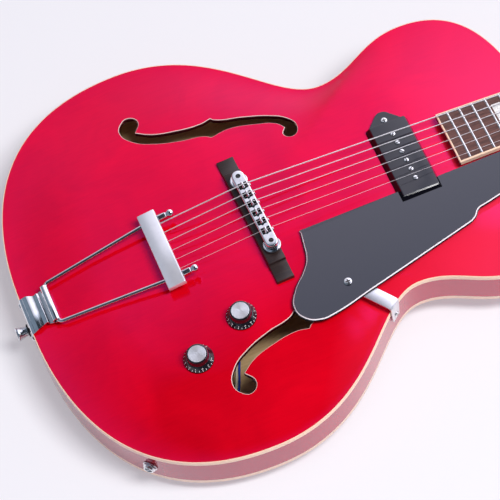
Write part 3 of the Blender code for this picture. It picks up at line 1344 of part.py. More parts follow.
def ear_points(reach, corner_x, base_y):
    """One dog ear in plan, from corner to corner round its rounded tip."""
    points = [(-corner_x, base_y)]
    centre_y = reach - EAR_TIP_RADIUS
    for index in range(7):
        angle = math.pi / 2.0 + EAR_TIP_ARC * (0.5 - index / 6.0)
        points.append((EAR_TIP_RADIUS * math.cos(angle), centre_y + EAR_TIP_RADIUS * math.sin(angle)))
    points.append((corner_x, base_y))
    return points


def rounded_rectangle(half_x, half_y, radius, z):
    """A ring of points with rounded corners at one height."""
    points = []
    for centre_x, centre_y, start in ((1, 1, 0), (-1, 1, 90), (-1, -1, 180), (1, -1, 270)):
        for step in range(4):
            angle = math.radians(start + 30 * step)
            points.append((centre_x * (half_x - radius) + radius * math.cos(angle),
                           centre_y * (half_y - radius) + radius * math.sin(angle), z))
    return points


def build_pickup(guitar):
    """The black hood with its two ears, and the coil with its poles and base plate inside."""
    lift = top_height(PICKUP_X, 0.0) + GAP + 0.0002
    at = (PICKUP_X, 0.0, lift)
    turn = (0.0, PICKUP_TILT, 0.0)
    half_x = COVER_WIDTH / 2.0
    half_y = COVER_LENGTH / 2.0
    steps = ((0.0, 0.0), (COVER_HEIGHT * 0.72, COVER_DRAFT * 0.55),
             (COVER_HEIGHT * 0.93, COVER_DRAFT * 0.85), (COVER_HEIGHT, COVER_DRAFT + 0.0008))
    sections = [rounded_rectangle(half_x - inward, half_y - inward, COVER_CORNER, z) for z, inward in steps]
    cover = place(loft("pickup_cover", sections, black_gloss(), guitar), at, turn)
    for side in (1, -1):
        base_y = half_y - EAR_BASE_INSET
        plan = [(x * side, y * side) for x, y in ear_points(EAR_REACH, half_x - GAP, base_y)]
        sections = [[(x, y, z) for x, y in plan] for z in (0.0, EAR_THICKNESS)]
        ear = place(loft("pickup_ear", sections, black_gloss(), guitar), at, turn)
        join(cover, ear)
        screw = rod("ear_screw", (0.0, side * EAR_SCREW_Y, EAR_THICKNESS / 2.0),
                    (0.0, side * EAR_SCREW_Y, EAR_THICKNESS + 0.0003), EAR_SCREW_RADIUS, 10,
                    steel(), guitar)
        join(cover, place(screw, at, turn))
    hollow = [rounded_rectangle(half_x - COVER_WALL - inward, half_y - COVER_WALL - inward,
                                COVER_CORNER - COVER_WALL / 2.0, z)
              for z, inward in ((-CUT_PAST, 0.0), (COVER_HEIGHT - COVER_WALL, COVER_DRAFT))]
    cut(cover, place(loft("cover_hollow", hollow, None, guitar, "cutters"), at, turn))

    roof = COVER_HEIGHT - COVER_WALL - GAP
    coil = block("pickup_coil", (-COIL_WIDTH / 2, -COIL_LENGTH / 2, -COIL_BELOW),
                 (COIL_WIDTH / 2, COIL_LENGTH / 2, roof), black_gloss(), guitar)
    place(coil, at, turn)
    base = block("pickup_baseplate", (-BASEPLATE_WIDTH / 2 + 0.0012, -BASEPLATE_LENGTH / 2 + 0.0006,
                                      -COIL_BELOW - BASEPLATE_THICKNESS),
                 (BASEPLATE_WIDTH / 2 - 0.0012, BASEPLATE_LENGTH / 2 - 0.0006, -COIL_BELOW + 0.0004),
                 steel(), guitar)
    join(coil, place(base, at, turn))
    for index in range(6):
        y = string_y(index, POLE_SPACING)
        pole = rod("pole_screw", (0.0, y, roof - 0.002), (0.0, y, COVER_HEIGHT + POLE_PROUD),
                   POLE_RADIUS, 8, steel(), guitar)
        join(coil, place(pole, at, turn))
        hole = rod("pole_hole", (0.0, y, 0.0), (0.0, y, COVER_HEIGHT + CUT_PAST),
                   POLE_RADIUS + RUNNING, 8, None, guitar, "cutters")
        cut(cover, place(hole, at, turn))
    return at


def guard_z(x, y):
    """The height of the pickguard's upper face."""
    return GUARD_REF_Z + GUARD_SLOPE_X * (x - GUARD_REF_X) + GUARD_SLOPE_Y * (y - GUARD_REF_Y)


def build_pickguard(guitar):
    """The flat guard with its notch round the pickup, and the bracket that carries it."""
    guard = flat_shape("pickguard", GUARD_OUTLINE, GUARD_CURVE_STEPS, GUARD_THICKNESS, black_gloss(), guitar)
    middle_z = guard_z(0.0, 0.0) - GUARD_THICKNESS / 2.0
    place(guard, (0.0, 0.0, middle_z), upright_turn(GUARD_SLOPE_X, GUARD_SLOPE_Y))
    clear = COVER_WIDTH / 2.0 + GUARD_NOTCH_CLEARANCE
    notch_low = (PICKUP_X - clear, -COVER_LENGTH / 2.0 - GUARD_NOTCH_CLEARANCE, 0.0)
    notch_high = (PICKUP_X + clear, 0.0, 2.0 * GUARD_REF_Z)
    cut(guard, block("guard_notch", notch_low, notch_high, None, guitar, "cutters"))

    start = Vector((GUARD_SCREW_X, GUARD_SCREW_Y, 0.0))
    at_rim, outward = treble_edge(BRACKET_END_X)
    leg = at_rim + outward * (BRACKET_STAND_OFF + BRACKET_THICKNESS / 2.0)
    along = (leg - start).normalized()
    reach = (leg - start).length
    under = GUARD_THICKNESS + GAP + BRACKET_THICKNESS / 2.0
    path = []
    for distance in (-BRACKET_STEM_PAST_SCREW, 0.0, reach * 0.42):
        point = start + along * distance
        path.append((point.x, point.y, guard_z(point.x, point.y) - under))
    bend = start + along * (reach - 0.0030)
    path.append((bend.x, bend.y, BRACKET_BEND_Z))
    corner = start + along * (reach - 0.0006)
    path.append((corner.x, corner.y, BRACKET_BEND_Z - 0.0012))
    side = start + along * reach
    path.append((side.x, side.y, BRACKET_BEND_Z - 0.0040))
    path.append((side.x, side.y, BRACKET_BEND_Z - BRACKET_LEG_LENGTH))
    across = Vector((-outward.y, outward.x, 0.0))
    halves = [BRACKET_WIDTH / 2.0 / along.dot(outward)] * len(path)
    bracket = bent_strip("pickguard_bracket", path, halves, BRACKET_THICKNESS, across, chrome(), guitar)
    screw_z = guard_z(GUARD_SCREW_X, GUARD_SCREW_Y)
    hole = rod("guard_screw_hole", (GUARD_SCREW_X, GUARD_SCREW_Y, screw_z - 0.006),
               (GUARD_SCREW_X, GUARD_SCREW_Y, screw_z + 0.006), GUARD_SCREW_SHANK_RADIUS + RUNNING, 10,
               None, guitar, "cutters")
    cut(guard, hole)
    shank = rod("guard_screw_shank", (GUARD_SCREW_X, GUARD_SCREW_Y, screw_z - under),
                (GUARD_SCREW_X, GUARD_SCREW_Y, screw_z + GAP + 0.0006), GUARD_SCREW_SHANK_RADIUS, 8,
                steel(), guitar)
    head = rod("guard_screw_head", (GUARD_SCREW_X, GUARD_SCREW_Y, screw_z + GAP),
               (GUARD_SCREW_X, GUARD_SCREW_Y, screw_z + GAP + 0.0012), GUARD_SCREW_RADIUS, 10,
               steel(), guitar)
    join(bracket, shank, head)
    at = Vector((side.x, side.y, BRACKET_BEND_Z - BRACKET_LEG_LENGTH * 0.70))
    head_out = BRACKET_THICKNESS / 2.0 + 0.0016
    join(bracket, rod("bracket_screw", at, at + outward * head_out, 0.0030, 10, steel(), guitar))


def edge_half_width(x):
    """Half the body's width at a place along it."""
    bass = sorted((point for point in OUTLINE if point[1] >= 0.0), key=lambda point: point[0])
    return float(numpy.interp(x, [point[0] for point in bass], [point[1] for point in bass]))


def control_hole(x, y, guitar):
    """The hole through the top for a control's bushing."""
    hole = rod("control_hole", (0.0, 0.0, -2.0 * PLATE_THICKNESS), (0.0, 0.0, PLATE_THICKNESS),
               POT_BUSHING_RADIUS + GAP, 12, None, guitar, "cutters")
    return place(hole, (x, y, top_height(x, y)), top_tilt(x, y))


def build_control(label, x, y, guitar):
    """A potentiometer under the top and its knob, with the shaft, above it."""
    surface = (x, y, top_height(x, y))
    turn = top_tilt(x, y)
    can_top = -PLATE_THICKNESS - 2.0 * GAP
    bore = KNOB_SHAFT_RADIUS + RUNNING
    nut_low = 2.0 * GAP
    nut_top = nut_low + POT_NUT_HEIGHT
    profile = (
        (0.0, nut_top - POT_BORE_DEPTH), (bore, nut_top - POT_BORE_DEPTH), (bore, nut_top),
        (POT_NUT_RADIUS, nut_top), (POT_NUT_RADIUS, nut_low), (POT_BUSHING_RADIUS, nut_low),
        (POT_BUSHING_RADIUS, can_top), (POT_CAN_RADIUS, can_top),
        (POT_CAN_RADIUS, can_top - POT_CAN_HEIGHT), (0.0, can_top - POT_CAN_HEIGHT),
    )
    place(turned(label + "_pot", profile, 12, steel(), guitar), surface, turn)
    low = nut_low
    shaft_low = nut_top - POT_BORE_DEPTH + GAP
    well = POT_NUT_RADIUS + RUNNING
    roof = nut_top + RUNNING
    profile = (
        (0.0, KNOB_HEIGHT), (KNOB_TOP_RADIUS, KNOB_HEIGHT), (KNOB_GRIP_RADIUS, KNOB_HEIGHT - 0.0010),
        (KNOB_GRIP_RADIUS, KNOB_SKIRT_HEIGHT + 0.0006),
        (KNOB_SKIRT_TOP_RADIUS, KNOB_SKIRT_HEIGHT), (KNOB_SKIRT_RADIUS, low + KNOB_SKIRT_EDGE),
        (KNOB_SKIRT_RADIUS, low), (well, low), (well, roof), (KNOB_SHAFT_RADIUS, roof),
        (KNOB_SHAFT_RADIUS, shaft_low), (0.0, shaft_low),
    )
    place(turned(label + "_knob", profile, 24, black_gloss(), guitar), surface, turn)


def treble_edge(x):
    """A point on the treble side of the outline, and the direction that points out of it."""
    step = 0.006
    slope = (edge_half_width(x + step) - edge_half_width(x - step)) / (2.0 * step)
    return Vector((x, -edge_half_width(x), 0.0)), Vector((-slope, -1.0, 0.0)).normalized()


def jack_place():
    """The jack's place on the side, its outward direction and the turn that lays Z along it."""
    at, outward = treble_edge(JACK_X)
    at.z = JACK_Z
    return at, outward, outward.to_track_quat("Z", "Y").to_euler()


def jack_hole(guitar):
    at, _, turn = jack_place()
    hole = rod("jack_hole", (0.0, 0.0, -0.020), (0.0, 0.0, 0.010), JACK_SLEEVE_RADIUS + GAP, 12,
               None, guitar, "cutters")
    return place(hole, at, turn)


def build_jack(guitar):
    """The output jack: a flange outside, a threaded sleeve through the side and the socket inside."""
    at, _, turn = jack_place()
    low = 2.0 * GAP
    inner = -SIDE_THICKNESS - 3.0 * GAP
    bore_low = -JACK_INSIDE + 0.002
    profile = (
        (0.0, bore_low), (JACK_BORE_RADIUS, bore_low), (JACK_BORE_RADIUS, low + JACK_FLANGE_THICKNESS + JACK_NOSE),
        (JACK_SLEEVE_RADIUS, low + JACK_FLANGE_THICKNESS + JACK_NOSE),
        (JACK_SLEEVE_RADIUS, low + JACK_FLANGE_THICKNESS), (JACK_FLANGE_RADIUS, low + JACK_FLANGE_THICKNESS),
        (JACK_FLANGE_RADIUS, low), (JACK_SLEEVE_RADIUS, low), (JACK_SLEEVE_RADIUS, inner),
        (JACK_CAN_RADIUS, inner), (JACK_CAN_RADIUS, -JACK_INSIDE), (0.0, -JACK_INSIDE),
    )
    return place(turned("output_jack", profile, 16, chrome(), guitar), at, turn)


def build_loom(guitar, pickup_at):
    """The wiring: one run from the pickup to the volume control and on to the jack."""
    at, outward, _ = jack_place()
    jack_end = at - outward * (JACK_INSIDE + GAP)
    start = Vector(pickup_at) + Vector((-0.010, -0.024, -COIL_BELOW - BASEPLATE_THICKNESS - 0.0016))
    route = [start] + [Vector(point) for point in LOOM_ROUTE_FROM_PICKUP]
    route += [Vector(point) for point in LOOM_ROUTE_FROM_VOLUME]
    route += [jack_end - outward * 0.012, jack_end]
    tube("wiring_loom", smooth_route(route, 2), LOOM_RADIUS, 1, black_gloss(), guitar)


def main():
    clear_scene()
    make_collection("guitar")
    make_collection("cutters")
    guitar, neck_frame, head_frame = make_frames()
    controls = (("volume", VOLUME_X, VOLUME_Y), ("tone", TONE_X, TONE_Y))
    pot_cutters = [control_hole(x, y, guitar) for _, x, y in controls]
    mortise = tenon("neck_mortise", GAP, guitar)
    strap_hole = strap_screw_hole(guitar)
    build_top(guitar, pot_cutters)
    plate("back_plate", back_height, PLATE_THICKNESS, BACK_RINGS, guitar, (BACK_FLAT_X, 0.0), back_flat_ring)
    build_rim(guitar, (mortise, jack_hole(guitar), strap_hole))
    build_bindings(guitar)
    neck_block = end_block("neck_block", BODY_END_X - NECK_BLOCK_LENGTH, NECK_BLOCK_HALF_WIDTH, guitar)
    cut(neck_block, mortise)
    tail_block = end_block("tail_block", TAIL_X + TAIL_BLOCK_LENGTH, TAIL_BLOCK_HALF_WIDTH, guitar)
    cut(tail_block, strap_hole)
    build_neck(guitar, neck_frame, head_frame)
    build_fingerboard(neck_frame)
    build_truss_rod(neck_frame, head_frame)
    build_tuners(head_frame)
    build_bridge(guitar)
    hanger = build_hanger(guitar)
    cut(hanger, strap_hole)
    build_strap_button(guitar)
    build_tailpiece(guitar)
    build_strings(guitar, head_frame)
    pickup_at = build_pickup(guitar)
    build_pickguard(guitar)
    for label, x, y in controls:
        build_control(label, x, y, guitar)
    build_jack(guitar)
    build_loom(guitar, pickup_at)
    bpy.context.view_layer.update()


main()
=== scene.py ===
"""The archtop guitar's looks and studio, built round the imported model.

Pieces are drawn in metres in the guitar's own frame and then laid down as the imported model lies.
That frame has X along the centreline towards the head from the bridge, Y towards the bass side
and Z out of the top, with Z zero at the top's outer edge. The neck and the head have frames of
their own, with X from the nut towards the head's tip.
"""
import json
import logging
import math
from dataclasses import dataclass, field
from enum import Enum
from typing import Callable, Iterable, Sequence

import bmesh
import bpy
import numpy as np
from mathutils import Matrix, Vector
from mathutils.geometry import delaunay_2d_cdt, interpolate_bezier


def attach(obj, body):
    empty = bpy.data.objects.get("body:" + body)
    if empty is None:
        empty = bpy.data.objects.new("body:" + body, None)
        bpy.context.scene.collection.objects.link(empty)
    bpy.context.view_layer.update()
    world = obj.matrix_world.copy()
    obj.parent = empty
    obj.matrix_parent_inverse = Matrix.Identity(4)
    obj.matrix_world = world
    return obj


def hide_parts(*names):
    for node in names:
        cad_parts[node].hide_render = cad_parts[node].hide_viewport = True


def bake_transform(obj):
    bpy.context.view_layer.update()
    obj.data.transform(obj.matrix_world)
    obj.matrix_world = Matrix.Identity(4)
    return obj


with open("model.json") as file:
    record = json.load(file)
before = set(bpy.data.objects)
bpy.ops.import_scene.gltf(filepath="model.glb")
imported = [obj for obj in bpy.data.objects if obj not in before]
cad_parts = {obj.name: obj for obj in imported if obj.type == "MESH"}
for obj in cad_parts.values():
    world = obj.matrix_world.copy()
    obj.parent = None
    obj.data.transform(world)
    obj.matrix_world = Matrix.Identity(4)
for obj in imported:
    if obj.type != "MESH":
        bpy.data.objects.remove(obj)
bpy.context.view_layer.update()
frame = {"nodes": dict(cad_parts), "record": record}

LOG = logging.getLogger("guitar")
Point = Sequence[float]
Ring = Sequence[Point]
Color = tuple[float, float, float]
TURN = 2.0 * math.pi
MM = 0.001


# Node trees

class Value:
    """A socket or number that takes part in node maths."""

    def __init__(self, nodes: "Nodes", source: "bpy.types.NodeSocket | float") -> None:
        """Wrap a socket or number of one tree."""
        self.nodes = nodes
        self.source = source

    def _math(self, operation: str, other: "Value | float", swap: bool = False) -> "Value":
        """Add one Math node.

        Args:
            operation: The Math node's operation.
            other: The second operand.
            swap: Whether the operands change places.

        Returns:
            The node's result.
        """
        pair = [other, self] if swap else [self, other]
        node = self.nodes.node("ShaderNodeMath", {"operation": operation}, dict(enumerate(pair)))
        return Value(self.nodes, node.outputs[0])

    def __add__(self, other: "Value | float") -> "Value":
        """Sum."""
        return self._math("ADD", other)

    __radd__ = __add__

    def __mul__(self, other: "Value | float") -> "Value":
        """Product."""
        return self._math("MULTIPLY", other)

    __rmul__ = __mul__

    def __sub__(self, other: "Value | float") -> "Value":
        """Difference."""
        return self._math("SUBTRACT", other)

    def __rsub__(self, other: "Value | float") -> "Value":
        """Difference from a plain number."""
        return self._math("SUBTRACT", other, swap=True)

    def __truediv__(self, other: "Value | float") -> "Value":
        """Quotient."""
        return self._math("DIVIDE", other)

    def __pow__(self, other: "Value | float") -> "Value":
        """Power."""
        return self._math("POWER", other)

    def __rpow__(self, other: float) -> "Value":
        """A plain number to this power."""
        return self._math("POWER", other, swap=True)

    def apply(self, operation: str, other: "Value | float" = 0.0) -> "Value":
        """Any other Math operation, such as SINE or LESS_THAN."""
        return self._math(operation, other)

    def ramp(self, low: float, high: float) -> "Value":
        """The value's place between two limits, kept from zero to one."""
        node = self.nodes.node("ShaderNodeMapRange", {"clamp": True},
                               {"Value": self, "From Min": low, "From Max": high})
        return Value(self.nodes, node.outputs[0])


class Nodes:
    """A node tree under construction."""

    def __init__(self, tree: bpy.types.NodeTree) -> None:
        """Work on one tree."""
        self.tree = tree

    def node(self, kind: str, settings: dict | None = None, inputs: dict | None = None) -> bpy.types.Node:
        """Add a node.

        Args:
            kind: The node's type.
            settings: Properties set before the inputs.
            inputs: Values or links by socket name or number.

        Returns:
            The new node.
        """
        made = self.tree.nodes.new(kind)
        for key, setting in (settings or {}).items():
            setattr(made, key, setting)
        for key, value in (inputs or {}).items():
            self.feed(made.inputs[key], value)
        return made

    def feed(self, socket: bpy.types.NodeSocket, value: object) -> None:
        """Link or set one input."""
        source = value.source if isinstance(value, Value) else value
        if isinstance(source, bpy.types.NodeSocket):
            self.tree.links.new(source, socket)
        elif socket.type == "RGBA":
            socket.default_value = (*source[:3], 1.0)
        else:
            socket.default_value = source

    def vector(self, x: "Value | float" = 0.0, y: "Value | float" = 0.0,
               z: "Value | float" = 0.0) -> bpy.types.NodeSocket:
        """Three values as one vector."""
        return self.node("ShaderNodeCombineXYZ", None, {0: x, 1: y, 2: z}).outputs[0]

    def part(self, where: bpy.types.NodeSocket, index: int) -> Value:
        """One coordinate as a value."""
        return Value(self, self.node("ShaderNodeSeparateXYZ", None, {0: where}).outputs[index])

    def blend(self, share: Value | float, first: object, second: object) -> bpy.types.NodeSocket:
        """Mix two colours.

        Args:
            share: Zero for the first, one for the second.
            first: Colour or socket.
            second: Colour or socket.

        Returns:
            The mixed colour socket.
        """
        mix = self.node("ShaderNodeMix", {"data_type": "RGBA"}, {"Factor": share})
        for number, value in ((6, first), (7, second)):
            self.feed(mix.inputs[number], value)
        return mix.outputs[2]


class Shader(Nodes):
    """A material's node tree, with a Principled shader at its end."""

    def __init__(self, name: str) -> None:
        """Start a named material."""
        self.material = bpy.data.materials.new(name)
        self.material.use_nodes = True
        super().__init__(self.material.node_tree)
        self.surface = self.tree.nodes["Principled BSDF"]

    def place(self, scale: Point = (1.0, 1.0, 1.0), turn: Point = (0.0, 0.0, 0.0),
              kind: str = "Object") -> bpy.types.NodeSocket:
        """Coordinates, turned and then stretched.

        Args:
            scale: Stretch along each axis.
            turn: Turn about each axis, in radians.
            kind: Object, or UV where a pattern follows the surface.

        Returns:
            The coordinate socket.
        """
        coordinates = self.node("ShaderNodeTexCoord").outputs[kind]
        mapping = self.node("ShaderNodeMapping", None,
                            {"Vector": coordinates, "Rotation": tuple(turn), "Scale": tuple(scale)})
        return mapping.outputs[0]

    def noise(self, where: bpy.types.NodeSocket, scale: float, detail: float = 3.0,
              distortion: float = 0.0) -> Value:
        """Noise from zero to one.

        Args:
            where: Coordinates.
            scale: Waves per metre before the coordinates' own stretch.
            detail: Octaves.
            distortion: How far the noise bends itself.

        Returns:
            The noise value.
        """
        made = self.node("ShaderNodeTexNoise", None, {
            "Vector": where, "Scale": scale, "Detail": detail, "Distortion": distortion})
        return Value(self, made.outputs[0])

    def bump(self, height: Value, distance: float, strength: float = 1.0) -> None:
        """Raise the surface by a height map of a given depth in metres."""
        node = self.node("ShaderNodeBump", None, {
            "Height": height, "Distance": distance, "Strength": strength})
        self.feed(self.surface.inputs["Normal"], node.outputs[0])

    def finish(self, **inputs: object) -> bpy.types.Material:
        """Set the Principled shader's inputs.

        Args:
            inputs: Values by socket name, with underscores for spaces.

        Returns:
            The finished material.
        """
        for key, value in inputs.items():
            self.feed(self.surface.inputs[key.replace("_", " ")], value)
        return self.material


class Pattern(Nodes):
    """A Geometry Nodes tree that repeats a blank, by named sizes."""

    def __init__(self, name: str) -> None:
        """Start a named tree with the blank as its first input."""
        super().__init__(bpy.data.node_groups.new(name, "GeometryNodeTree"))
        face = self.tree.interface
        face.new_socket("Blank", in_out="INPUT", socket_type="NodeSocketGeometry")
        face.new_socket("Result", in_out="OUTPUT", socket_type="NodeSocketGeometry")
        self.inlet = self.tree.nodes.new("NodeGroupInput")
        self.sizes: dict[str, float] = {}

    @property
    def blank(self) -> bpy.types.NodeSocket:
        """The blank's geometry."""
        return self.inlet.outputs[0]

    def size(self, name: str, amount: float) -> Value:
        """A named input that holds one size or count."""
        kind = "NodeSocketInt" if isinstance(amount, int) else "NodeSocketFloat"
        socket = self.tree.interface.new_socket(name, in_out="INPUT", socket_type=kind)
        self.sizes[socket.identifier] = amount
        return Value(self, self.inlet.outputs[name])

    def index(self) -> Value:
        """Each point's number."""
        return Value(self, self.node("GeometryNodeInputIndex").outputs[0])

    def points(self, count: Value) -> bpy.types.NodeSocket:
        """A number of loose points."""
        return self.node("GeometryNodePoints", None, {"Count": count}).outputs[0]

    def repeat(self, count: Value, where: bpy.types.NodeSocket, turn: object = (0.0, 0.0, 0.0),
               scale: object = (1.0, 1.0, 1.0)) -> bpy.types.NodeSocket:
        """Copies of the blank.

        Args:
            count: How many.
            where: Each copy's place, which may read the index.
            turn: Each copy's turn.
            scale: Each copy's stretch.

        Returns:
            The copies.
        """
        placed = self.node("GeometryNodeSetPosition", None, {
            "Geometry": self.points(count), "Position": where})
        copies = self.node("GeometryNodeInstanceOnPoints", None, {
            "Points": placed.outputs[0], "Instance": self.blank, "Rotation": turn, "Scale": scale})
        return copies.outputs[0]

    def grow(self, blank: "Draft", result: bpy.types.NodeSocket, finish: "Finish") -> "Draft":
        """Run the tree on a blank and keep the result as a plain draft.

        Args:
            blank: The piece that is repeated.
            result: The geometry to keep.
            finish: The finish that the tree sets.

        Returns:
            The result, drawn in the blank's frame.
        """
        real = self.node("GeometryNodeRealizeInstances", None, {0: result})
        dressed = self.node("GeometryNodeSetMaterial", None, {
            "Geometry": real.outputs[0], "Material": finish.material})
        outlet = self.tree.nodes.new("NodeGroupOutput")
        self.tree.links.new(dressed.outputs[0], outlet.inputs[0])
        item = blank.item(self.tree.name)
        step = item.modifiers.new("pattern", "NODES")
        step.node_group = self.tree
        for identifier, amount in self.sizes.items():
            step[identifier] = amount
        bpy.context.view_layer.update()
        graph = bpy.context.evaluated_depsgraph_get()
        mesh = bpy.data.meshes.new_from_object(item.evaluated_get(graph))
        item.modifiers.clear()
        made = Draft.of_mesh(mesh)
        bpy.data.objects.remove(item, do_unlink=True)
        bpy.data.meshes.remove(mesh)
        return made


# Finishes

@dataclass(frozen=True)
class Finish:
    """A finish with a name. Its material is made once."""

    name: str

    def build(self, shader: Shader) -> bpy.types.Material:
        """Fill in the shader."""
        raise NotImplementedError

    @property
    def material(self) -> bpy.types.Material:
        """The finish's material."""
        return bpy.data.materials.get(self.name) or self.build(Shader(self.name))


@dataclass(frozen=True)
class Lacquer(Finish):
    """Tinted clear lacquer over wood, with soft cloudy depth, a gloss coat, a painted light falloff and a painted
    pink sheen.
    """

    deep: Color = (0.52, 0.0002, 0.006)
    bright: Color = (0.95, 0.0010, 0.012)
    # pale is the colour of a painted pink sheen, a painted reflection
    pale: Color = (0.95, 0.0320, 0.090)
    gloss_tint: Color = (1.0, 0.05, 0.64)
    coat: float = 0.04
    coat_ior: float = 1.5
    ior: float = 1.8

    def build(self, shader: Shader) -> bpy.types.Material:
        """Fill in the shader."""
        where = shader.place()
        clouds = shader.noise(where, 15.0, 3.0, 0.8)
        grain = shader.noise(shader.place((5.0, 70.0, 70.0)), 7.0, 4.0, 0.3)
        # painted light falloff: the colour runs brighter towards the head and the bass side and darker towards the
        # tail and the treble side; share mixes it with the lacquer's own cloudy tone
        painted_falloff = (shader.part(where, 0) + shader.part(where, 1) * 0.7).ramp(-0.25, 0.32)
        share = (clouds * 0.62 + grain * 0.18).ramp(0.24, 0.62) * 0.5 + painted_falloff * 0.5
        # painted reflection: a pale pink sheen is painted towards the head end of the treble side, over the cutaway
        # horn
        sheen_share = (shader.part(where, 0) - shader.part(where, 1) * 0.6).ramp(0.15, 0.30) * 0.8
        red = shader.blend(share, self.deep, self.bright)
        return shader.finish(Base_Color=shader.blend(sheen_share, red, self.pale),
                             Roughness=0.06 + 0.03 * clouds, Specular_Tint=self.gloss_tint, IOR=self.ior,
                             Coat_Weight=self.coat, Coat_Roughness=0.03, Coat_IOR=self.coat_ior)


@dataclass(frozen=True)
class Plastic(Finish):
    """Moulded or sheet plastic with faint wipe marks."""

    color: Color = (0.010, 0.010, 0.013)
    other: Color = (0.018, 0.018, 0.022)
    roughness: float = 0.12
    wear: float = 0.10
    coat: float = 0.35
    ior: float = 1.5

    def build(self, shader: Shader) -> bpy.types.Material:
        """Fill in the shader."""
        marks = shader.noise(shader.place((1.0, 3.0, 1.0)), 90.0, 5.0, 0.6)
        shader.bump(shader.noise(shader.place(), 900.0, 2.0), 0.00001, 0.2)
        return shader.finish(Base_Color=shader.blend(marks, self.color, self.other),
                             Roughness=self.roughness + self.wear * marks.ramp(0.45, 0.8),
                             Coat_Weight=self.coat, Coat_Roughness=0.06, IOR=self.ior)


@dataclass(frozen=True)
class Metal(Finish):
    """Plated or plain metal with fine drawn marks and light tarnish."""

    color: Color = (0.80, 0.81, 0.83)
    tarnish: Color = (0.62, 0.63, 0.66)
    roughness: float = 0.08
    grain: float = 0.08
    stretch: Point = (1.0, 40.0, 40.0)
    metallic: float = 1.0

    def build(self, shader: Shader) -> bpy.types.Material:
        """Fill in the shader."""
        drawn = shader.noise(shader.place(self.stretch), 60.0, 4.0)
        spots = shader.noise(shader.place(), 160.0, 4.0, 0.5)
        shader.bump(drawn, 0.000012, 0.04)
        return shader.finish(Base_Color=shader.blend(spots.ramp(0.45, 0.8), self.color, self.tarnish),
                             Metallic=self.metallic, Roughness=self.roughness + self.grain * drawn)


@dataclass(frozen=True)
class WoundWire(Finish):
    """Wire wound round a core, with darker bands of painted shade for the grooves between its turns along the
    string's own length.
    """

    color: Color = (0.95, 0.93, 0.92)
    groove_shade: Color = (0.86, 0.83, 0.82)
    pitch: float = 0.0005

    def build(self, shader: Shader) -> bpy.types.Material:
        """Fill in the shader."""
        along = shader.part(shader.place(kind="UV"), 0)
        # painted shade: darker bands stand for the shade in the grooves between the winding's turns
        ridge = (along * (TURN / self.pitch)).apply("SINE") * 0.5 + 0.5
        tint = shader.noise(shader.place(), 60.0, 3.0)
        return shader.finish(Base_Color=shader.blend(ridge.ramp(0.0, 0.45), self.groove_shade, self.color),
                             Metallic=0.7, Roughness=0.34 + 0.10 * tint)


@dataclass(frozen=True)
class SpunMetal(Finish):
    """A metal disc turned in a lathe, with fine rings of painted shade set by its UV map's distance from the middle.
    """

    color: Color = (0.96, 0.96, 0.97)
    groove_shade: Color = (0.88, 0.88, 0.90)
    ring: float = 0.0005

    def build(self, shader: Shader) -> bpy.types.Material:
        """Fill in the shader."""
        out = shader.part(shader.place(kind="UV"), 0)
        # painted shade: darker rings stand for the shade in the turned grooves
        rings = (out * (TURN / self.ring)).apply("SINE") * 0.5 + 0.5
        return shader.finish(Base_Color=shader.blend(rings, self.groove_shade, self.color), Metallic=0.8,
                             Roughness=0.30 + 0.06 * rings, Anisotropic=0.9, Anisotropic_Rotation=0.25)


@dataclass(frozen=True)
class Timber(Finish):
    """Bare or oiled wood with long grain along X."""

    dark: Color = (0.40, 0.24, 0.10)
    light: Color = (0.66, 0.47, 0.24)
    roughness: float = 0.55
    pores: float = 0.00006
    stretch: Point = (3.0, 45.0, 45.0)

    def build(self, shader: Shader) -> bpy.types.Material:
        """Fill in the shader."""
        figure = shader.noise(shader.place(self.stretch), 8.0, 6.0, 1.2)
        fibres = shader.noise(shader.place([value * 4.0 for value in self.stretch]), 22.0, 4.0)
        shader.bump(fibres, self.pores, 0.6)
        share = (figure * 0.65 + fibres * 0.35).ramp(0.32, 0.68)
        return shader.finish(Base_Color=shader.blend(share, self.dark, self.light),
                             Roughness=self.roughness + 0.12 * fibres)


@dataclass(frozen=True)
class Pearl(Finish):
    """Pearloid: milky plates that lie at different slants."""

    def build(self, shader: Shader) -> bpy.types.Material:
        """Fill in the shader."""
        cells = shader.node("ShaderNodeTexVoronoi", None, {"Vector": shader.place((1.0, 1.6, 1.0)),
                                                          "Scale": 420.0})
        plates = shader.part(cells.outputs["Color"], 0)
        shader.bump(plates, 0.00004, 0.4)
        return shader.finish(Base_Color=shader.blend(plates, (0.62, 0.62, 0.60), (0.95, 0.94, 0.90)),
                             Roughness=0.18 + 0.15 * plates, Coat_Weight=0.6, Coat_Roughness=0.05)


@dataclass(frozen=True)
class Felt(Finish):
    """Short matted fibres."""

    def build(self, shader: Shader) -> bpy.types.Material:
        """Fill in the shader."""
        fibres = shader.noise(shader.place((1.0, 1.0, 3.0)), 2500.0, 6.0, 1.0)
        shader.bump(fibres, 0.0002, 0.9)
        return shader.finish(Base_Color=shader.blend(fibres, (0.006, 0.006, 0.007), (0.03, 0.03, 0.032)),
                             Roughness=0.9, Sheen_Weight=0.3)


CHERRY = Lacquer("cherry_lacquer_top")
CHERRY_SIDE = Lacquer("cherry_lacquer_side", (0.36, 0.0004, 0.008), (0.50, 0.0012, 0.014),
                      (0.50, 0.0012, 0.014), (1.0, 0.72, 1.0), 0.45, 1.8, 1.9)
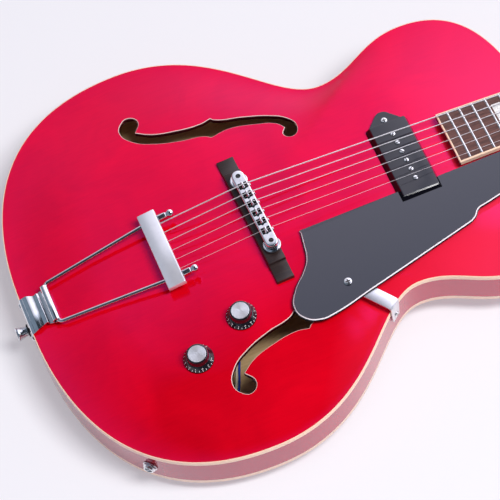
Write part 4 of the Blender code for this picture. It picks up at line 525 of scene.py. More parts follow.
# near-black colour of the sound holes' walls below their rounded lip
DARK_HOLE_WALL = Lacquer("cherry_lacquer_hole_edge", (0.030, 0.004, 0.005), (0.055, 0.006, 0.006),
                     (0.055, 0.006, 0.006))
CREAM = Plastic("cream_celluloid", (0.97, 0.72, 0.52), (0.93, 0.66, 0.45), 0.28, 0.05)
BONE = Plastic("bone_nut", (0.84, 0.78, 0.64), (0.74, 0.66, 0.50), 0.4, 0.1, 0.1)
BLACK = Plastic("black_polished", (0.006, 0.006, 0.009), (0.010, 0.010, 0.014))
HOOD = Plastic("black_hood_plastic", (0.006, 0.006, 0.012), (0.010, 0.010, 0.018), 0.10, 0.05, 0.05, 1.6)
HOOD_WALL = Plastic("black_hood_wall", (0.004, 0.004, 0.007), (0.006, 0.006, 0.010), 0.10, 0.05, 0.0, 1.25)
GUARD = Plastic("black_guard_sheet", (0.012, 0.012, 0.024), (0.017, 0.017, 0.031), 0.10, 0.05, 0.2, 1.8)
WHITE_PLY = Plastic("white_ply", (0.95, 0.94, 0.94), (0.90, 0.89, 0.89), 0.3, 0.05, 0.2)
INK = Plastic("white_ink", (0.86, 0.86, 0.84), (0.78, 0.78, 0.76), 0.4, 0.05, 0.0)
CHROME = Metal("chrome_plate")
SATIN = Metal("satin_plate", (0.88, 0.89, 0.93), (0.82, 0.83, 0.88), 0.20, 0.06, (1.0, 40.0, 40.0), 0.55)
BRUSHED = Metal("brushed_bracket", (0.90, 0.90, 0.92), (0.84, 0.84, 0.87), 0.40, 0.08)
DARK_STEEL = Metal("blackened_steel", (0.14, 0.13, 0.13), (0.09, 0.085, 0.08), 0.35, 0.15)
STEEL = Metal("plain_steel", (0.55, 0.55, 0.56), (0.40, 0.40, 0.41), 0.30, 0.15)
# painted shade: dark metal laid on the cut walls of slots, bores and saddle beds, and as a strip under the
# tailpiece's curl, where shade falls
PAINTED_SHADE_METAL = Metal("shaded_recess", (0.10, 0.09, 0.09), (0.06, 0.055, 0.05), 0.5, 0.1)
NICKEL = Metal("nickel_screws", (0.86, 0.86, 0.85), (0.72, 0.72, 0.70), 0.16, 0.10)
FRET_WIRE = Metal("fret_wire", (0.82, 0.81, 0.79), (0.66, 0.64, 0.61), 0.16, 0.10, (40.0, 1.0, 40.0))
PLAIN_WIRE = Metal("plain_string_wire", (0.97, 0.93, 0.93), (0.90, 0.87, 0.86), 0.30, 0.08,
                   (1.0, 40.0, 40.0), 0.6)
WOUND_WIRE = WoundWire("wound_string_wire")
SPUN = SpunMetal("spun_knob_cap")
BRASS = Metal("brass_gear", (0.80, 0.58, 0.24), (0.55, 0.38, 0.15), 0.28, 0.12)
ROSEWOOD = Timber("rosewood_oiled", (0.028, 0.010, 0.008), (0.190, 0.085, 0.066), 0.42)
EBONISED = Timber("rosewood_dark", (0.012, 0.008, 0.008), (0.042, 0.026, 0.022), 0.34)
MAPLE = Timber("maple_bare", (0.47, 0.32, 0.15), (0.68, 0.51, 0.27))
SPRUCE = Timber("spruce_bare", (0.62, 0.40, 0.19), (0.84, 0.60, 0.33))
# painted highlight: this pale pink on the sound holes' rounded lip stands for light caught on the lacquer's edge
HOLE_LIP_HIGHLIGHT = Plastic("hole_lip_painted_highlight", (0.86, 0.66, 0.60), (0.78, 0.56, 0.50), 0.25, 0.05)
PEARL = Pearl("pearloid_inlay")
FELT = Felt("black_felt")
WIRE_JACKETS = (Plastic("blue_wire_jacket", (0.01, 0.05, 0.40), (0.02, 0.07, 0.46), 0.4),
                Plastic("cream_wire_jacket", (0.78, 0.70, 0.52), (0.70, 0.62, 0.46), 0.45))

CAD_FINISHES: dict[str, Finish] = {
    "cherry_lacquer": CHERRY, "bare_maple": MAPLE, "cream_binding": CREAM, "chrome": CHROME,
    "steel": STEEL, "black_gloss": BLACK, "rosewood": ROSEWOOD,
}


# Drawing

class Draft:
    """A mesh under construction, with a material for each face and a chart for each corner."""

    def __init__(self) -> None:
        """Start empty."""
        self.points: list[Vector] = []
        self.faces: list[tuple[int, ...]] = []
        self.paints: list[bpy.types.Material] = []
        self.chart: list[tuple[float, float]] = []

    @classmethod
    def of_mesh(cls, mesh: bpy.types.Mesh) -> "Draft":
        """A draft with a mesh's faces and materials."""
        draft = cls()
        draft.points = [corner.co.copy() for corner in mesh.vertices]
        draft.faces = [tuple(face.vertices) for face in mesh.polygons]
        draft.paints = [mesh.materials[face.material_index] for face in mesh.polygons]
        draft.chart = [(0.0, 0.0)] * len(draft.points)
        return draft

    def add(self, points: Iterable[Point], faces: Iterable[Sequence[int]], finish: Finish,
            chart: Iterable[tuple[float, float]] | None = None) -> "Draft":
        """Add corners and faces.

        Args:
            points: The corners.
            faces: Corner numbers within these points.
            finish: The faces' finish.
            chart: Two pattern coordinates for each corner.

        Returns:
            This draft.
        """
        first = len(self.points)
        self.points += [Vector(point) for point in points]
        made = [tuple(first + corner for corner in face) for face in faces]
        self.faces += made
        self.paints += [finish.material] * len(made)
        self.chart += list(chart) if chart else [(0.0, 0.0)] * (len(self.points) - first)
        return self

    def join(self, *others: "Draft") -> "Draft":
        """Take in other drafts as they are."""
        for other in others:
            first = len(self.points)
            self.points += [point.copy() for point in other.points]
            self.faces += [tuple(first + corner for corner in face) for face in other.faces]
            self.paints += other.paints
            self.chart += other.chart
        return self

    def moved(self, matrix: Matrix) -> "Draft":
        """A copy that a matrix has placed."""
        made = Draft().join(self)
        made.points = [matrix @ point for point in made.points]
        return made

    def mesh(self, name: str) -> bpy.types.Mesh:
        """The draft as mesh data, with one slot for each material."""
        mesh = bpy.data.meshes.new(name)
        mesh.from_pydata([tuple(point) for point in self.points], [], self.faces)
        slots = list(dict.fromkeys(paint.name for paint in self.paints))
        for slot in slots:
            mesh.materials.append(bpy.data.materials[slot])
        mesh.polygons.foreach_set("material_index", [slots.index(paint.name) for paint in self.paints])
        layer = mesh.uv_layers.new(name="chart")
        corners = np.empty(len(mesh.loops), dtype=np.int32)
        mesh.loops.foreach_get("vertex_index", corners)
        layer.data.foreach_set("uv", np.array(self.chart, dtype=np.float32)[corners].ravel())
        return mesh

    def item(self, name: str) -> bpy.types.Object:
        """The draft as a working object in the scene."""
        item = bpy.data.objects.new(name, self.mesh(name))
        bpy.context.scene.collection.objects.link(item)
        return item

    def rounded(self, width: float, segments: int = 2, angle: float = 30.0) -> "Draft":
        """A copy whose sharp edges are rounded.

        Args:
            width: The round's width.
            segments: Its steps.
            angle: Edges that turn by more degrees than this are rounded.

        Returns:
            The rounded copy.
        """
        mesh = self.mesh("rounding")
        edit = bmesh.new()
        edit.from_mesh(mesh)
        bmesh.ops.remove_doubles(edit, verts=edit.verts, dist=1e-7)
        bmesh.ops.recalc_face_normals(edit, faces=edit.faces)
        limit = math.radians(angle)
        sharp = [edge for edge in edit.edges if edge.is_manifold and edge.calc_face_angle(0.0) > limit]
        bmesh.ops.bevel(edit, geom=sharp, offset=width, segments=segments, profile=0.5,
                        affect="EDGES", clamp_overlap=True)
        edit.to_mesh(mesh)
        edit.free()
        made = Draft.of_mesh(mesh)
        bpy.data.meshes.remove(mesh)
        return made

    def without(self, *cutters: "Draft") -> "Draft":
        """A copy with other closed drafts cut out of it."""
        return self._combine("DIFFERENCE", *cutters)

    def fused(self, *others: "Draft") -> "Draft":
        """A copy grown together with other closed drafts."""
        return self._combine("UNION", *others)

    def _combine(self, operation: str, *others: "Draft") -> "Draft":
        """Run one Boolean for each other draft."""
        work = [outward(draft.item("work")) for draft in (self, *others)]
        for other in work[1:]:
            step = work[0].modifiers.new("combine", "BOOLEAN")
            step.operation = operation
            step.solver = "EXACT"
            step.material_mode = "TRANSFER"
            step.object = other
        graph = bpy.context.evaluated_depsgraph_get()
        mesh = bpy.data.meshes.new_from_object(work[0].evaluated_get(graph))
        made = Draft.of_mesh(mesh)
        bpy.data.meshes.remove(mesh)
        for item in work:
            bpy.data.meshes.remove(item.data)
        return made


def outward(item: bpy.types.Object) -> bpy.types.Object:
    """Merge an object's doubled corners and turn its faces outwards."""
    edit = bmesh.new()
    edit.from_mesh(item.data)
    bmesh.ops.remove_doubles(edit, verts=edit.verts, dist=1e-7)
    bmesh.ops.recalc_face_normals(edit, faces=edit.faces)
    edit.to_mesh(item.data)
    edit.free()
    return item


def loft(rings: Sequence[Ring], finish: Finish, closed: bool = False) -> Draft:
    """Skin a row of rings, and close its ends unless it runs back to its start.

    Args:
        rings: Rings with the same number of corners.
        finish: The skin's finish.
        closed: Whether the last ring joins the first.

    Returns:
        The skin, charted by its length along the first corners and its share round.
    """
    count = len(rings[0])
    points = [corner for ring in rings for corner in ring]
    faces: list[Sequence[int]] = []
    for row in range(len(rings) if closed else len(rings) - 1):
        here, there = row * count, (row + 1) % len(rings) * count
        for index in range(count):
            after = (index + 1) % count
            faces.append((here + index, here + after, there + after, there + index))
    if not closed:
        faces += [range(count), range((len(rings) - 1) * count, len(rings) * count)]
    chart = []
    along = 0.0
    for row, ring in enumerate(rings):
        if row:
            along += (Vector(ring[0]) - Vector(rings[row - 1][0])).length
        chart += [(along, index / count) for index in range(count)]
    return Draft().add(points, faces, finish, chart)


def lathe(profile: Sequence[Point], finish: Finish, steps: int = 48) -> Draft:
    """Turn a profile of (radius, height) about Z, charted by distance from the middle."""
    points: list[Point] = []
    chart: list[tuple[float, float]] = []
    rows: list[list[int]] = []
    for radius, height in profile:
        if radius <= 0.0:
            rows.append([len(points)] * steps)
            points.append((0.0, 0.0, height))
            chart.append((0.0, height))
            continue
        rows.append([len(points) + index for index in range(steps)])
        for index in range(steps):
            angle = TURN * index / steps
            points.append((radius * math.cos(angle), radius * math.sin(angle), height))
            chart.append((radius, height))
    faces = []
    for row, after_row in zip(rows, rows[1:]):
        for index in range(steps):
            after = (index + 1) % steps
            corners = (row[index], row[after], after_row[after], after_row[index])
            faces.append(tuple(dict.fromkeys(corners)))
    return Draft().add(points, [face for face in faces if len(face) > 2], finish, chart)


def ring_lathe(profile: Sequence[Point], finish: Finish, steps: int = 48) -> Draft:
    """Turn a closed profile that doesn't touch the axis, such as a washer's."""
    rings = []
    for index in range(steps):
        angle = TURN * index / steps
        rings.append([(radius * math.cos(angle), radius * math.sin(angle), height)
                      for radius, height in profile])
    return loft(rings, finish, closed=True)


def tube(route: Sequence[Point], radius: float | Sequence[float], finish: Finish,
         sides: int = 10) -> Draft:
    """Sweep a circle along a route.

    Args:
        route: The middle line.
        radius: One radius, or one for each point.
        finish: The tube's finish.
        sides: The circle's steps.

    Returns:
        The closed tube, charted by its length.
    """
    line = [Vector(point) for point in route]
    radii = [radius] * len(line) if isinstance(radius, float) else list(radius)
    first = (line[1] - line[0]).normalized()
    across = first.orthogonal().normalized()
    rings = []
    for index, point in enumerate(line):
        along = (line[min(index + 1, len(line) - 1)] - line[max(index - 1, 0)]).normalized()
        across = (across - along * across.dot(along)).normalized()
        other = along.cross(across)
        before = (point - line[index - 1]).normalized() if index else along
        stretch = 1.0 / max(along.dot(before), 0.6)
        lean = (along - before)
        ring = []
        for step in range(sides):
            angle = TURN * step / sides
            arm = across * math.cos(angle) + other * math.sin(angle)
            if lean.length > 1e-6 and index < len(line) - 1:
                tilt = lean.normalized()
                arm += tilt * arm.dot(tilt) * (stretch - 1.0)
            ring.append(point + arm * radii[index])
        rings.append(ring)
    return loft(rings, finish)


def box(low: Point, high: Point, finish: Finish) -> Draft:
    """A block between two corners."""
    plan = ((low[0], low[1]), (high[0], low[1]), (high[0], high[1]), (low[0], high[1]))
    return loft([[(x, y, z) for x, y in plan] for z in (low[2], high[2])], finish)


def bar_section(half: float, low: float, high: float, turns: int = 6) -> list[tuple[float, float]]:
    """A slice with a flat foot and a rounded crown, as (across, up) from one foot to the other."""
    arc = [(half * math.cos(math.pi * step / turns), low + (high - low) * math.sin(math.pi * step / turns))
           for step in range(turns + 1)]
    return arc


def polygon(radius: float, sides: int, start: float = 0.0) -> list[tuple[float, float]]:
    """A regular outline."""
    return [(radius * math.cos(start + TURN * index / sides), radius * math.sin(start + TURN * index / sides))
            for index in range(sides)]


def rounded_rectangle(half_x: float, half_y: float, radius: float, steps: int = 8) -> list[tuple[float, float]]:
    """An outline with rounded corners."""
    made = []
    for index, (side_x, side_y) in enumerate(((1, 1), (-1, 1), (-1, -1), (1, -1))):
        for step in range(steps + 1):
            angle = (index + step / steps) * math.pi / 2.0
            made.append((side_x * (half_x - radius) + radius * math.cos(angle),
                         side_y * (half_y - radius) + radius * math.sin(angle)))
    return made


def moved_in(outline: Sequence[Point], distance: float) -> list[tuple[float, float]]:
    """A closed anticlockwise outline moved inwards, square to its sides."""
    made = []
    count = len(outline)
    for index in range(count):
        before, here, after = (Vector(outline[(index + step) % count][:2]) for step in (-1, 0, 1))
        first = (here - before).normalized()
        second = (after - here).normalized()
        inward = Vector((-first.y - second.y, first.x + second.x))
        share = max(inward.length_squared / 2.0, 0.35)
        made.append(tuple(here + inward * (distance / share)))
    return made


def smooth_anchors(anchors: Sequence[tuple[str, float, float]], steps: int) -> list[tuple[float, float]]:
    """A closed outline through anchors that are either tips or smooth.

    Args:
        anchors: Kind, x and y for each; a tip keeps its corner.
        steps: Points drawn between two anchors.

    Returns:
        The outline's points.
    """
    places = [Vector((x, y, 0.0)) for _, x, y in anchors]
    count = len(anchors)

    def handle(index: int, way: int) -> Vector:
        """The pull of one anchor towards its neighbour."""
        here, neighbour = places[index], places[(index + way) % count]
        gap = neighbour - here
        if anchors[index][0] == "tip":
            return here + gap / 3.0
        before, after = here - places[index - 1], places[(index + 1) % count] - here
        along = before.normalized() + after.normalized()
        return here + along.normalized() * gap.length * 0.39 * way

    made = []
    for index in range(count):
        after = (index + 1) % count
        curve = interpolate_bezier(places[index], handle(index, 1), handle(after, -1),
                                   places[after], steps + 1)
        made += [(point.x, point.y) for point in curve[:-1]]
    return made


def smooth_route(points: Sequence[Point], steps: int) -> list[Vector]:
    """A curve through every point, with even tension.

    Args:
        points: The points to pass through.
        steps: Pieces between two of them.

    Returns:
        The finer route.
    """
    line = [Vector(point) for point in points]
    made = []
    for index in range(len(line) - 1):
        before = line[max(index - 1, 0)]
        start, end = line[index], line[index + 1]
        after = line[min(index + 2, len(line) - 1)]
        curve = interpolate_bezier(start, start + (end - before) / 6.0, end - (after - start) / 6.0,
                                   end, steps + 1)
        made += list(curve[:-1])
    return made + [line[-1]]


def stand(place: Point, direction: Point) -> Matrix:
    """The matrix that lays Z along a direction at a place."""
    return Matrix.Translation(place) @ Vector(direction).to_track_quat("Z", "Y").to_matrix().to_4x4()


def screw_head(radius: float, height: float, slot: float, finish: Finish, cross: bool = False,
               flat: float = 0.35) -> Draft:
    """A domed screw head that stands on Z zero, with a slot or a cross cut in it.

    Args:
        radius: The head's radius.
        height: Its height.
        slot: The slot's width.
        finish: Its finish.
        cross: Whether a second slot crosses the first.
        flat: How steep its foot is, as a share of the height.

    Returns:
        The head.
    """
    rise = height * (1.0 - flat)
    profile = [(0.0, height)]
    for step in range(1, 7):
        angle = math.pi / 2.0 * step / 6.0
        profile.append((radius * math.sin(angle), height * flat + rise * math.cos(angle)))
    profile += [(radius, 0.0), (0.0, 0.0)]
    head = lathe(profile, finish, 28)
    reach = radius * (0.62 if cross else 1.1)
    # the slot's cut walls take the dark painted-shade metal
    blade = box((-reach, -slot / 2.0, height * 0.40), (reach, slot / 2.0, height * 2.0), PAINTED_SHADE_METAL)
    cuts = [blade, blade.moved(Matrix.Rotation(math.pi / 2.0, 4, "Z"))] if cross else [blade]
    return head.without(*cuts)


NODE_BODIES = {node: body for body, nodes in frame["record"]["behaviour"]["bodies"].items() for node in nodes}


def dress(name: str, draft: Draft, *replaced: str, beside: str = "", sharp: float = 34.0,
          normals: Callable[[np.ndarray], np.ndarray] | None = None,
          carved: Finish | None = None,
          bend: tuple[str, Vector, str, Vector] | None = None) -> bpy.types.Object:
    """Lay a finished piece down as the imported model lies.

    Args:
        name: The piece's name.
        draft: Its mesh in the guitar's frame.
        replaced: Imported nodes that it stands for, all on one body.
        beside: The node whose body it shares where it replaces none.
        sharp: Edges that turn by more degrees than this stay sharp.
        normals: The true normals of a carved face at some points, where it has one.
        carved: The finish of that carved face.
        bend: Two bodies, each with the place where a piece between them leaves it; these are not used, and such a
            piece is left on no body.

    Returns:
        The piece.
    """
    item = outward(draft.item(name))
    mesh = item.data
    mesh.shade_smooth()
    mesh.set_sharp_from_angle(angle=math.radians(sharp))
    if normals and carved:
        places = np.array([corner.co for corner in mesh.vertices])
        corner_of = np.empty(len(mesh.loops), dtype=np.int32)
        mesh.loops.foreach_get("vertex_index", corner_of)
        kept = np.array([tuple(corner.vector) for corner in mesh.corner_normals])
        true = normals(places)[corner_of]
        wanted = mesh.materials.find(carved.name)
        for face in mesh.polygons:
            span = slice(face.loop_start, face.loop_start + face.loop_total)
            if face.material_index == wanted and (true[span] @ np.array(face.normal)).min() > 0.9:
                kept[span] = true[span]
        mesh.normals_split_custom_set([tuple(row) for row in kept])
    mesh.transform(FRAME.matrix)
    node = replaced[0] if replaced else beside
    if bend:
        near, start, far, end = bend
        tuple(FRAME.matrix @ start)
        tuple(FRAME.matrix @ end)
        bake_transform(item)
    else:
        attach(item, NODE_BODIES[node])
    if replaced:
        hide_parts(*replaced)
    LOG.info("built %s: %d faces on %s", name, len(mesh.polygons), NODE_BODIES[node])
    return item


# The guitar's frame and its main shapes

@dataclass(frozen=True)
class GuitarFrame:
    """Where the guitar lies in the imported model."""

    rest_pitch: float = -0.0322356
    back_flat: Point = (-0.055, 0.0, -0.0572966)

    @property
    def matrix(self) -> Matrix:
        """The guitar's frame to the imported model's."""
        return Matrix.Rotation(self.rest_pitch, 4, "Y") @ Matrix.Translation(-Vector(self.back_flat))


FRAME = GuitarFrame()


@dataclass
class BodyShape:
    """The body's outline, as four curves on each side, and its carved arches."""

    tail: Point = (-0.2248, 0.0033)
    lower_bout: Point = (-0.0653, 0.2096)
    lower_pulls: Point = (0.180, 0.0998)
    waist: Point = (0.1079, 0.1150)
    waist_pulls: Point = (0.0433, 0.0346)
    upper_bout: Point = (0.1992, 0.1438)
    upper_pulls: Point = (0.0388, 0.0669)
    head_end: Point = (0.2825, 0.0833)
    steps: Sequence[int] = (60, 40, 30, 46)
    depth: float = 0.0420
    top_arch: float = 0.0145
    back_arch: float = 0.0160
    recurve: float = 0.35
    smoothing: float = math.radians(30.0)
    line: list[tuple[float, float]] = field(default_factory=list)

    def __post_init__(self) -> None:
        """Draw the outline, anticlockwise from above, starting at the tail."""
        tail, lower, waist, upper, end = (self.tail[0], self.lower_bout, self.waist, self.upper_bout,
                                          self.head_end)
        curves = (
            ((tail, 0.0), (tail, self.tail[1]), (lower[0] - self.lower_pulls[0], lower[1]), lower),
            (lower, (lower[0] + self.lower_pulls[1], lower[1]),
             (waist[0] - self.waist_pulls[0], waist[1]), waist),
            (waist, (waist[0] + self.waist_pulls[1], waist[1]),
             (upper[0] - self.upper_pulls[0], upper[1]), upper),
            (upper, (upper[0] + self.upper_pulls[1], upper[1]), end, (end[0], 0.0)),
        )
        half: list[tuple[float, float]] = []
        for curve, count in zip(curves, self.steps):
            dense = interpolate_bezier(*[Vector((x, y, 0.0)) for x, y in curve], 400)
            lengths = np.cumsum([0.0] + [(b - a).length for a, b in zip(dense, dense[1:])])
            wanted = np.linspace(0.0, lengths[-1], count, endpoint=False)
            half += list(zip(np.interp(wanted, lengths, [point.x for point in dense]).tolist(),
                             np.interp(wanted, lengths, [point.y for point in dense]).tolist()))
        bass = half + [(end[0], 0.0)]
        treble = [(x, -y) for x, y in bass]
        self.line = treble[:-1] + bass[:0:-1]

    def inset(self, distance: float) -> list[tuple[float, float]]:
        """The outline moved inwards."""
        count = len(self.line)
        made = []
        for index, (x, y) in enumerate(self.line):
            along = Vector(self.line[(index + 1) % count]) - Vector(self.line[index - 1])
            along.normalize()
            made.append((x - along.y * distance, y + along.x * distance))
        return made

    def _radius(self, angles: np.ndarray) -> np.ndarray:
        """How far the outline lies from the bridge, in each of some directions."""
        angle = [math.atan2(y, x) for x, y in self.line]
        length = [math.hypot(x, y) for x, y in self.line]
        return np.interp(angles, angle, length, period=TURN)

    def share(self, x: np.ndarray, y: np.ndarray) -> np.ndarray:
        """The arch's height at some places, as a share of its middle's."""
        angle = np.arctan2(y, x)
        length = np.hypot(x, y)
        edge = self._radius(angle)
        rounder = sum(self._radius(angle + turn)
                      for turn in np.linspace(-self.smoothing, self.smoothing, 15)) / 15.0
        near = np.minimum(length / edge, 1.0)
        reach = np.minimum(length / (rounder + (edge - rounder) * near ** 2), 1.0)
        ramp = np.minimum((1.0 - reach) / self.recurve, 1.0)
        return (1.0 - reach ** 2) * (ramp * ramp * (3.0 - 2.0 * ramp)) ** self.recurve

    def top(self, x: float, y: float) -> float:
        """The top's height at one place."""
        return self.top_arch * float(self.share(np.array(x), np.array(y)))

    def tops(self, plan: np.ndarray) -> np.ndarray:
        """The top's height at some places."""
        return self.top_arch * self.share(plan[:, 0], plan[:, 1])

    def backs(self, plan: np.ndarray) -> np.ndarray:
        """The back's height at some places, with the level flat that it rests on."""
        arch = -self.depth - self.back_arch * self.share(plan[:, 0], plan[:, 1])
        flat_x, _, flat_z = FRAME.back_flat
        level = flat_z + math.tan(FRAME.rest_pitch) * (plan[:, 0] - flat_x)
        away = np.hypot(plan[:, 0] - flat_x, plan[:, 1])
        ramp = np.clip((away - 0.024) / 0.016, 0.0, 1.0)
        ramp = ramp * ramp * (3.0 - 2.0 * ramp)
        return np.maximum(level * (1.0 - ramp) + arch * ramp, level)

    def tilt(self, x: float, y: float, step: float = 0.004) -> Matrix:
        """The matrix that stands a part square on the top at a place."""
        slope_x = (self.top(x + step, y) - self.top(x - step, y)) / (2.0 * step)
        slope_y = (self.top(x, y + step) - self.top(x, y - step)) / (2.0 * step)
        turn = Vector((0.0, 0.0, 1.0)).rotation_difference(Vector((-slope_x, -slope_y, 1.0)))
        return Matrix.Translation((x, y, self.top(x, y))) @ turn.to_matrix().to_4x4()

    def treble_edge(self, x: float) -> tuple[Vector, Vector]:
        """A point on the treble side's edge, and the way out of it."""
        bass = sorted(point for point in self.line if point[1] >= 0.0)
        at_x, at_y = zip(*bass)
        low, here, high = (float(np.interp(x + step, at_x, at_y)) for step in (-0.006, 0.0, 0.006))
        out = Vector((-(high - low) / 0.012, -1.0, 0.0)).normalized()
        return Vector((x, -here, 0.0)), out


BODY = BodyShape()


@dataclass
class NeckShape:
    """The neck's line, its board's taper and its frets."""

    scale: float = 0.62865
    nut_x: float = 0.6285
    angle: float = math.radians(3.8)
    line_x: float = 0.1988
    line_z: float = 0.0204
    frets: int = 20
    fret_height: float = 0.0010
    board_thickness: float = 0.0065
    board_radius: float = 0.305
    past_last_fret: float = 0.0106
    nut_width: float = 0.0430
    taper: float = 0.0301
    nut_length: float = 0.0050
    head_pitch: float = math.radians(14.0)
    seam: float = 0.0003

    def underside(self, x: float) -> float:
        """The board's underside at a place along the guitar."""
        at_line = self.line_z - self.fret_height - self.board_thickness
        return at_line - (x - self.line_x) * math.tan(self.angle)

    def half(self, from_nut: float) -> float:
        """Half the bound board's width."""
        return (self.nut_width + self.taper * from_nut) / 2.0

    def drop(self, y: float) -> float:
        """How far the board's crown has fallen away from its middle."""
        return self.board_radius - math.sqrt(self.board_radius ** 2 - y * y)

    def fret(self, number: float) -> float:
        """A fret's distance from the nut."""
        return self.scale * (1.0 - 2.0 ** (-number / 12.0))

    @property
    def board_length(self) -> float:
        """The board's length from the nut."""
        return self.fret(self.frets) + self.past_last_fret

    @property
    def matrix(self) -> Matrix:
        """The neck's frame, at the nut on the board's underside."""
        turn = Matrix.Rotation(self.angle, 4, "Y")
        return Matrix.Translation((self.nut_x, 0.0, self.underside(self.nut_x))) @ turn

    @property
    def head_matrix(self) -> Matrix:
        """The head's frame, just behind the nut on the head's face."""
        slide = Matrix.Translation((self.nut_length + self.seam, 0.0, 0.0))
        return self.matrix @ slide @ Matrix.Rotation(self.head_pitch, 4, "Y")


NECK = NeckShape()


@dataclass(frozen=True)
class StringSet:
    """Where the six strings run, from bass to treble."""

    radii: Sequence[float] = (0.00058, 0.00046, 0.00036, 0.00025, 0.00020, 0.00016)
    wound: int = 4
    at_bridge: float = 0.0103
    at_nut: float = 0.0071
    at_tail: float = 0.0101
    bridge_height: float = 0.0362
    above_nut_line: float = 0.0006
    wrap_height: float = 0.0070

    def y(self, index: int, spacing: float) -> float:
        """A string's place across."""
        return (2.5 - index) * spacing

    def ridge(self, index: int) -> float:
        """The height of a string's underside over the bridge."""
        return self.bridge_height - NECK.drop(self.y(index, self.at_bridge))


STRINGS = StringSet()


# The body

SOUND_HOLE: Sequence[tuple[str, float, float]] = (
    ("tip", -0.0678, 0.1363), ("smooth", -0.0548, 0.1277), ("smooth", -0.0346, 0.1214),
    ("smooth", -0.0093, 0.1181), ("tip", 0.0012, 0.1200), ("smooth", 0.0040, 0.1172),
    ("smooth", 0.0303, 0.1087), ("smooth", 0.0512, 0.1006), ("smooth", 0.0650, 0.0915),
    ("smooth", 0.0712, 0.0790), ("smooth", 0.0650, 0.0690), ("smooth", 0.0568, 0.0735),
    ("tip", 0.0608, 0.0812), ("smooth", 0.0560, 0.0883), ("smooth", 0.0380, 0.0963),
    ("smooth", 0.0120, 0.1022), ("tip", -0.0049, 0.0998), ("smooth", -0.0100, 0.1035),
    ("smooth", -0.0332, 0.1090), ("smooth", -0.0560, 0.1170), ("smooth", -0.0735, 0.1285),
    ("smooth", -0.0807, 0.1430), ("smooth", -0.0760, 0.1525), ("smooth", -0.0685, 0.1557),
    ("smooth", -0.0612, 0.1482),
)


def inside(outline: Sequence[Point], x: np.ndarray, y: np.ndarray) -> np.ndarray:
    """Which places lie inside a closed outline."""
    within = np.zeros(x.shape, dtype=bool)
    for (x0, y0), (x1, y1) in zip(outline, [*outline[1:], outline[0]]):
        if y0 == y1:
            continue
        across = ((y0 > y) != (y1 > y)) & (x < (x1 - x0) * (y - y0) / (y1 - y0) + x0)
        within ^= across
    return within


def carved_face(edge: Sequence[Point], holes: Sequence[Sequence[Point]],
                height: Callable[[np.ndarray], np.ndarray], finish: Finish, pitch: float) -> Draft:
    """A carved face inside an edge and round its holes.

    Args:
        edge: The outer edge, seen from above.
        holes: The holes' edges.
        height: The face's height at some places.
        finish: Its finish.
        pitch: The grid's step between the edges.

    Returns:
        The open face, whose rims keep the edges' own points.
    """
    rims = [list(edge), *[list(hole) for hole in holes]]
    xs, ys = np.array(edge).T
    grid_x, grid_y = np.meshgrid(np.arange(xs.min(), xs.max(), pitch), np.arange(ys.min(), ys.max(), pitch))
    grid_x = grid_x + (np.arange(grid_x.shape[0]) % 2)[:, None] * pitch / 2.0
    free = inside(edge, grid_x, grid_y)
    rim_points = np.array([point for rim in rims for point in rim])
    away = np.full(grid_x.shape, 1.0)
    for x, y in rim_points:
        away = np.minimum(away, np.hypot(grid_x - x, grid_y - y))
    free &= away > pitch * 0.55
    for hole in rims[1:]:
        free &= ~inside(hole, grid_x, grid_y)
    places = [Vector(point) for point in rim_points] + [
        Vector((x, y)) for x, y in zip(grid_x[free].tolist(), grid_y[free].tolist())]
    borders = []
    first = 0
    for rim in rims:
        borders += [(first + index, first + (index + 1) % len(rim)) for index in range(len(rim))]
        first += len(rim)
    flat, _, faces, _, _, _ = delaunay_2d_cdt(places, borders, [], 0, 1e-7)
    plan = np.array([tuple(point) for point in flat])
    middles = np.array([plan[list(face)].mean(axis=0) for face in faces])
    keep = inside(edge, middles[:, 0], middles[:, 1])
    for hole in rims[1:]:
        keep &= ~inside(hole, middles[:, 0], middles[:, 1])
    points = np.column_stack((plan, height(plan)))
    kept = [face for face, wanted in zip(faces, keep) if wanted]
    used = sorted({corner for face in kept for corner in face})
    number = {corner: index for index, corner in enumerate(used)}
    return Draft().add([points[corner] for corner in used],
                       [[number[corner] for corner in face] for face in kept], finish)


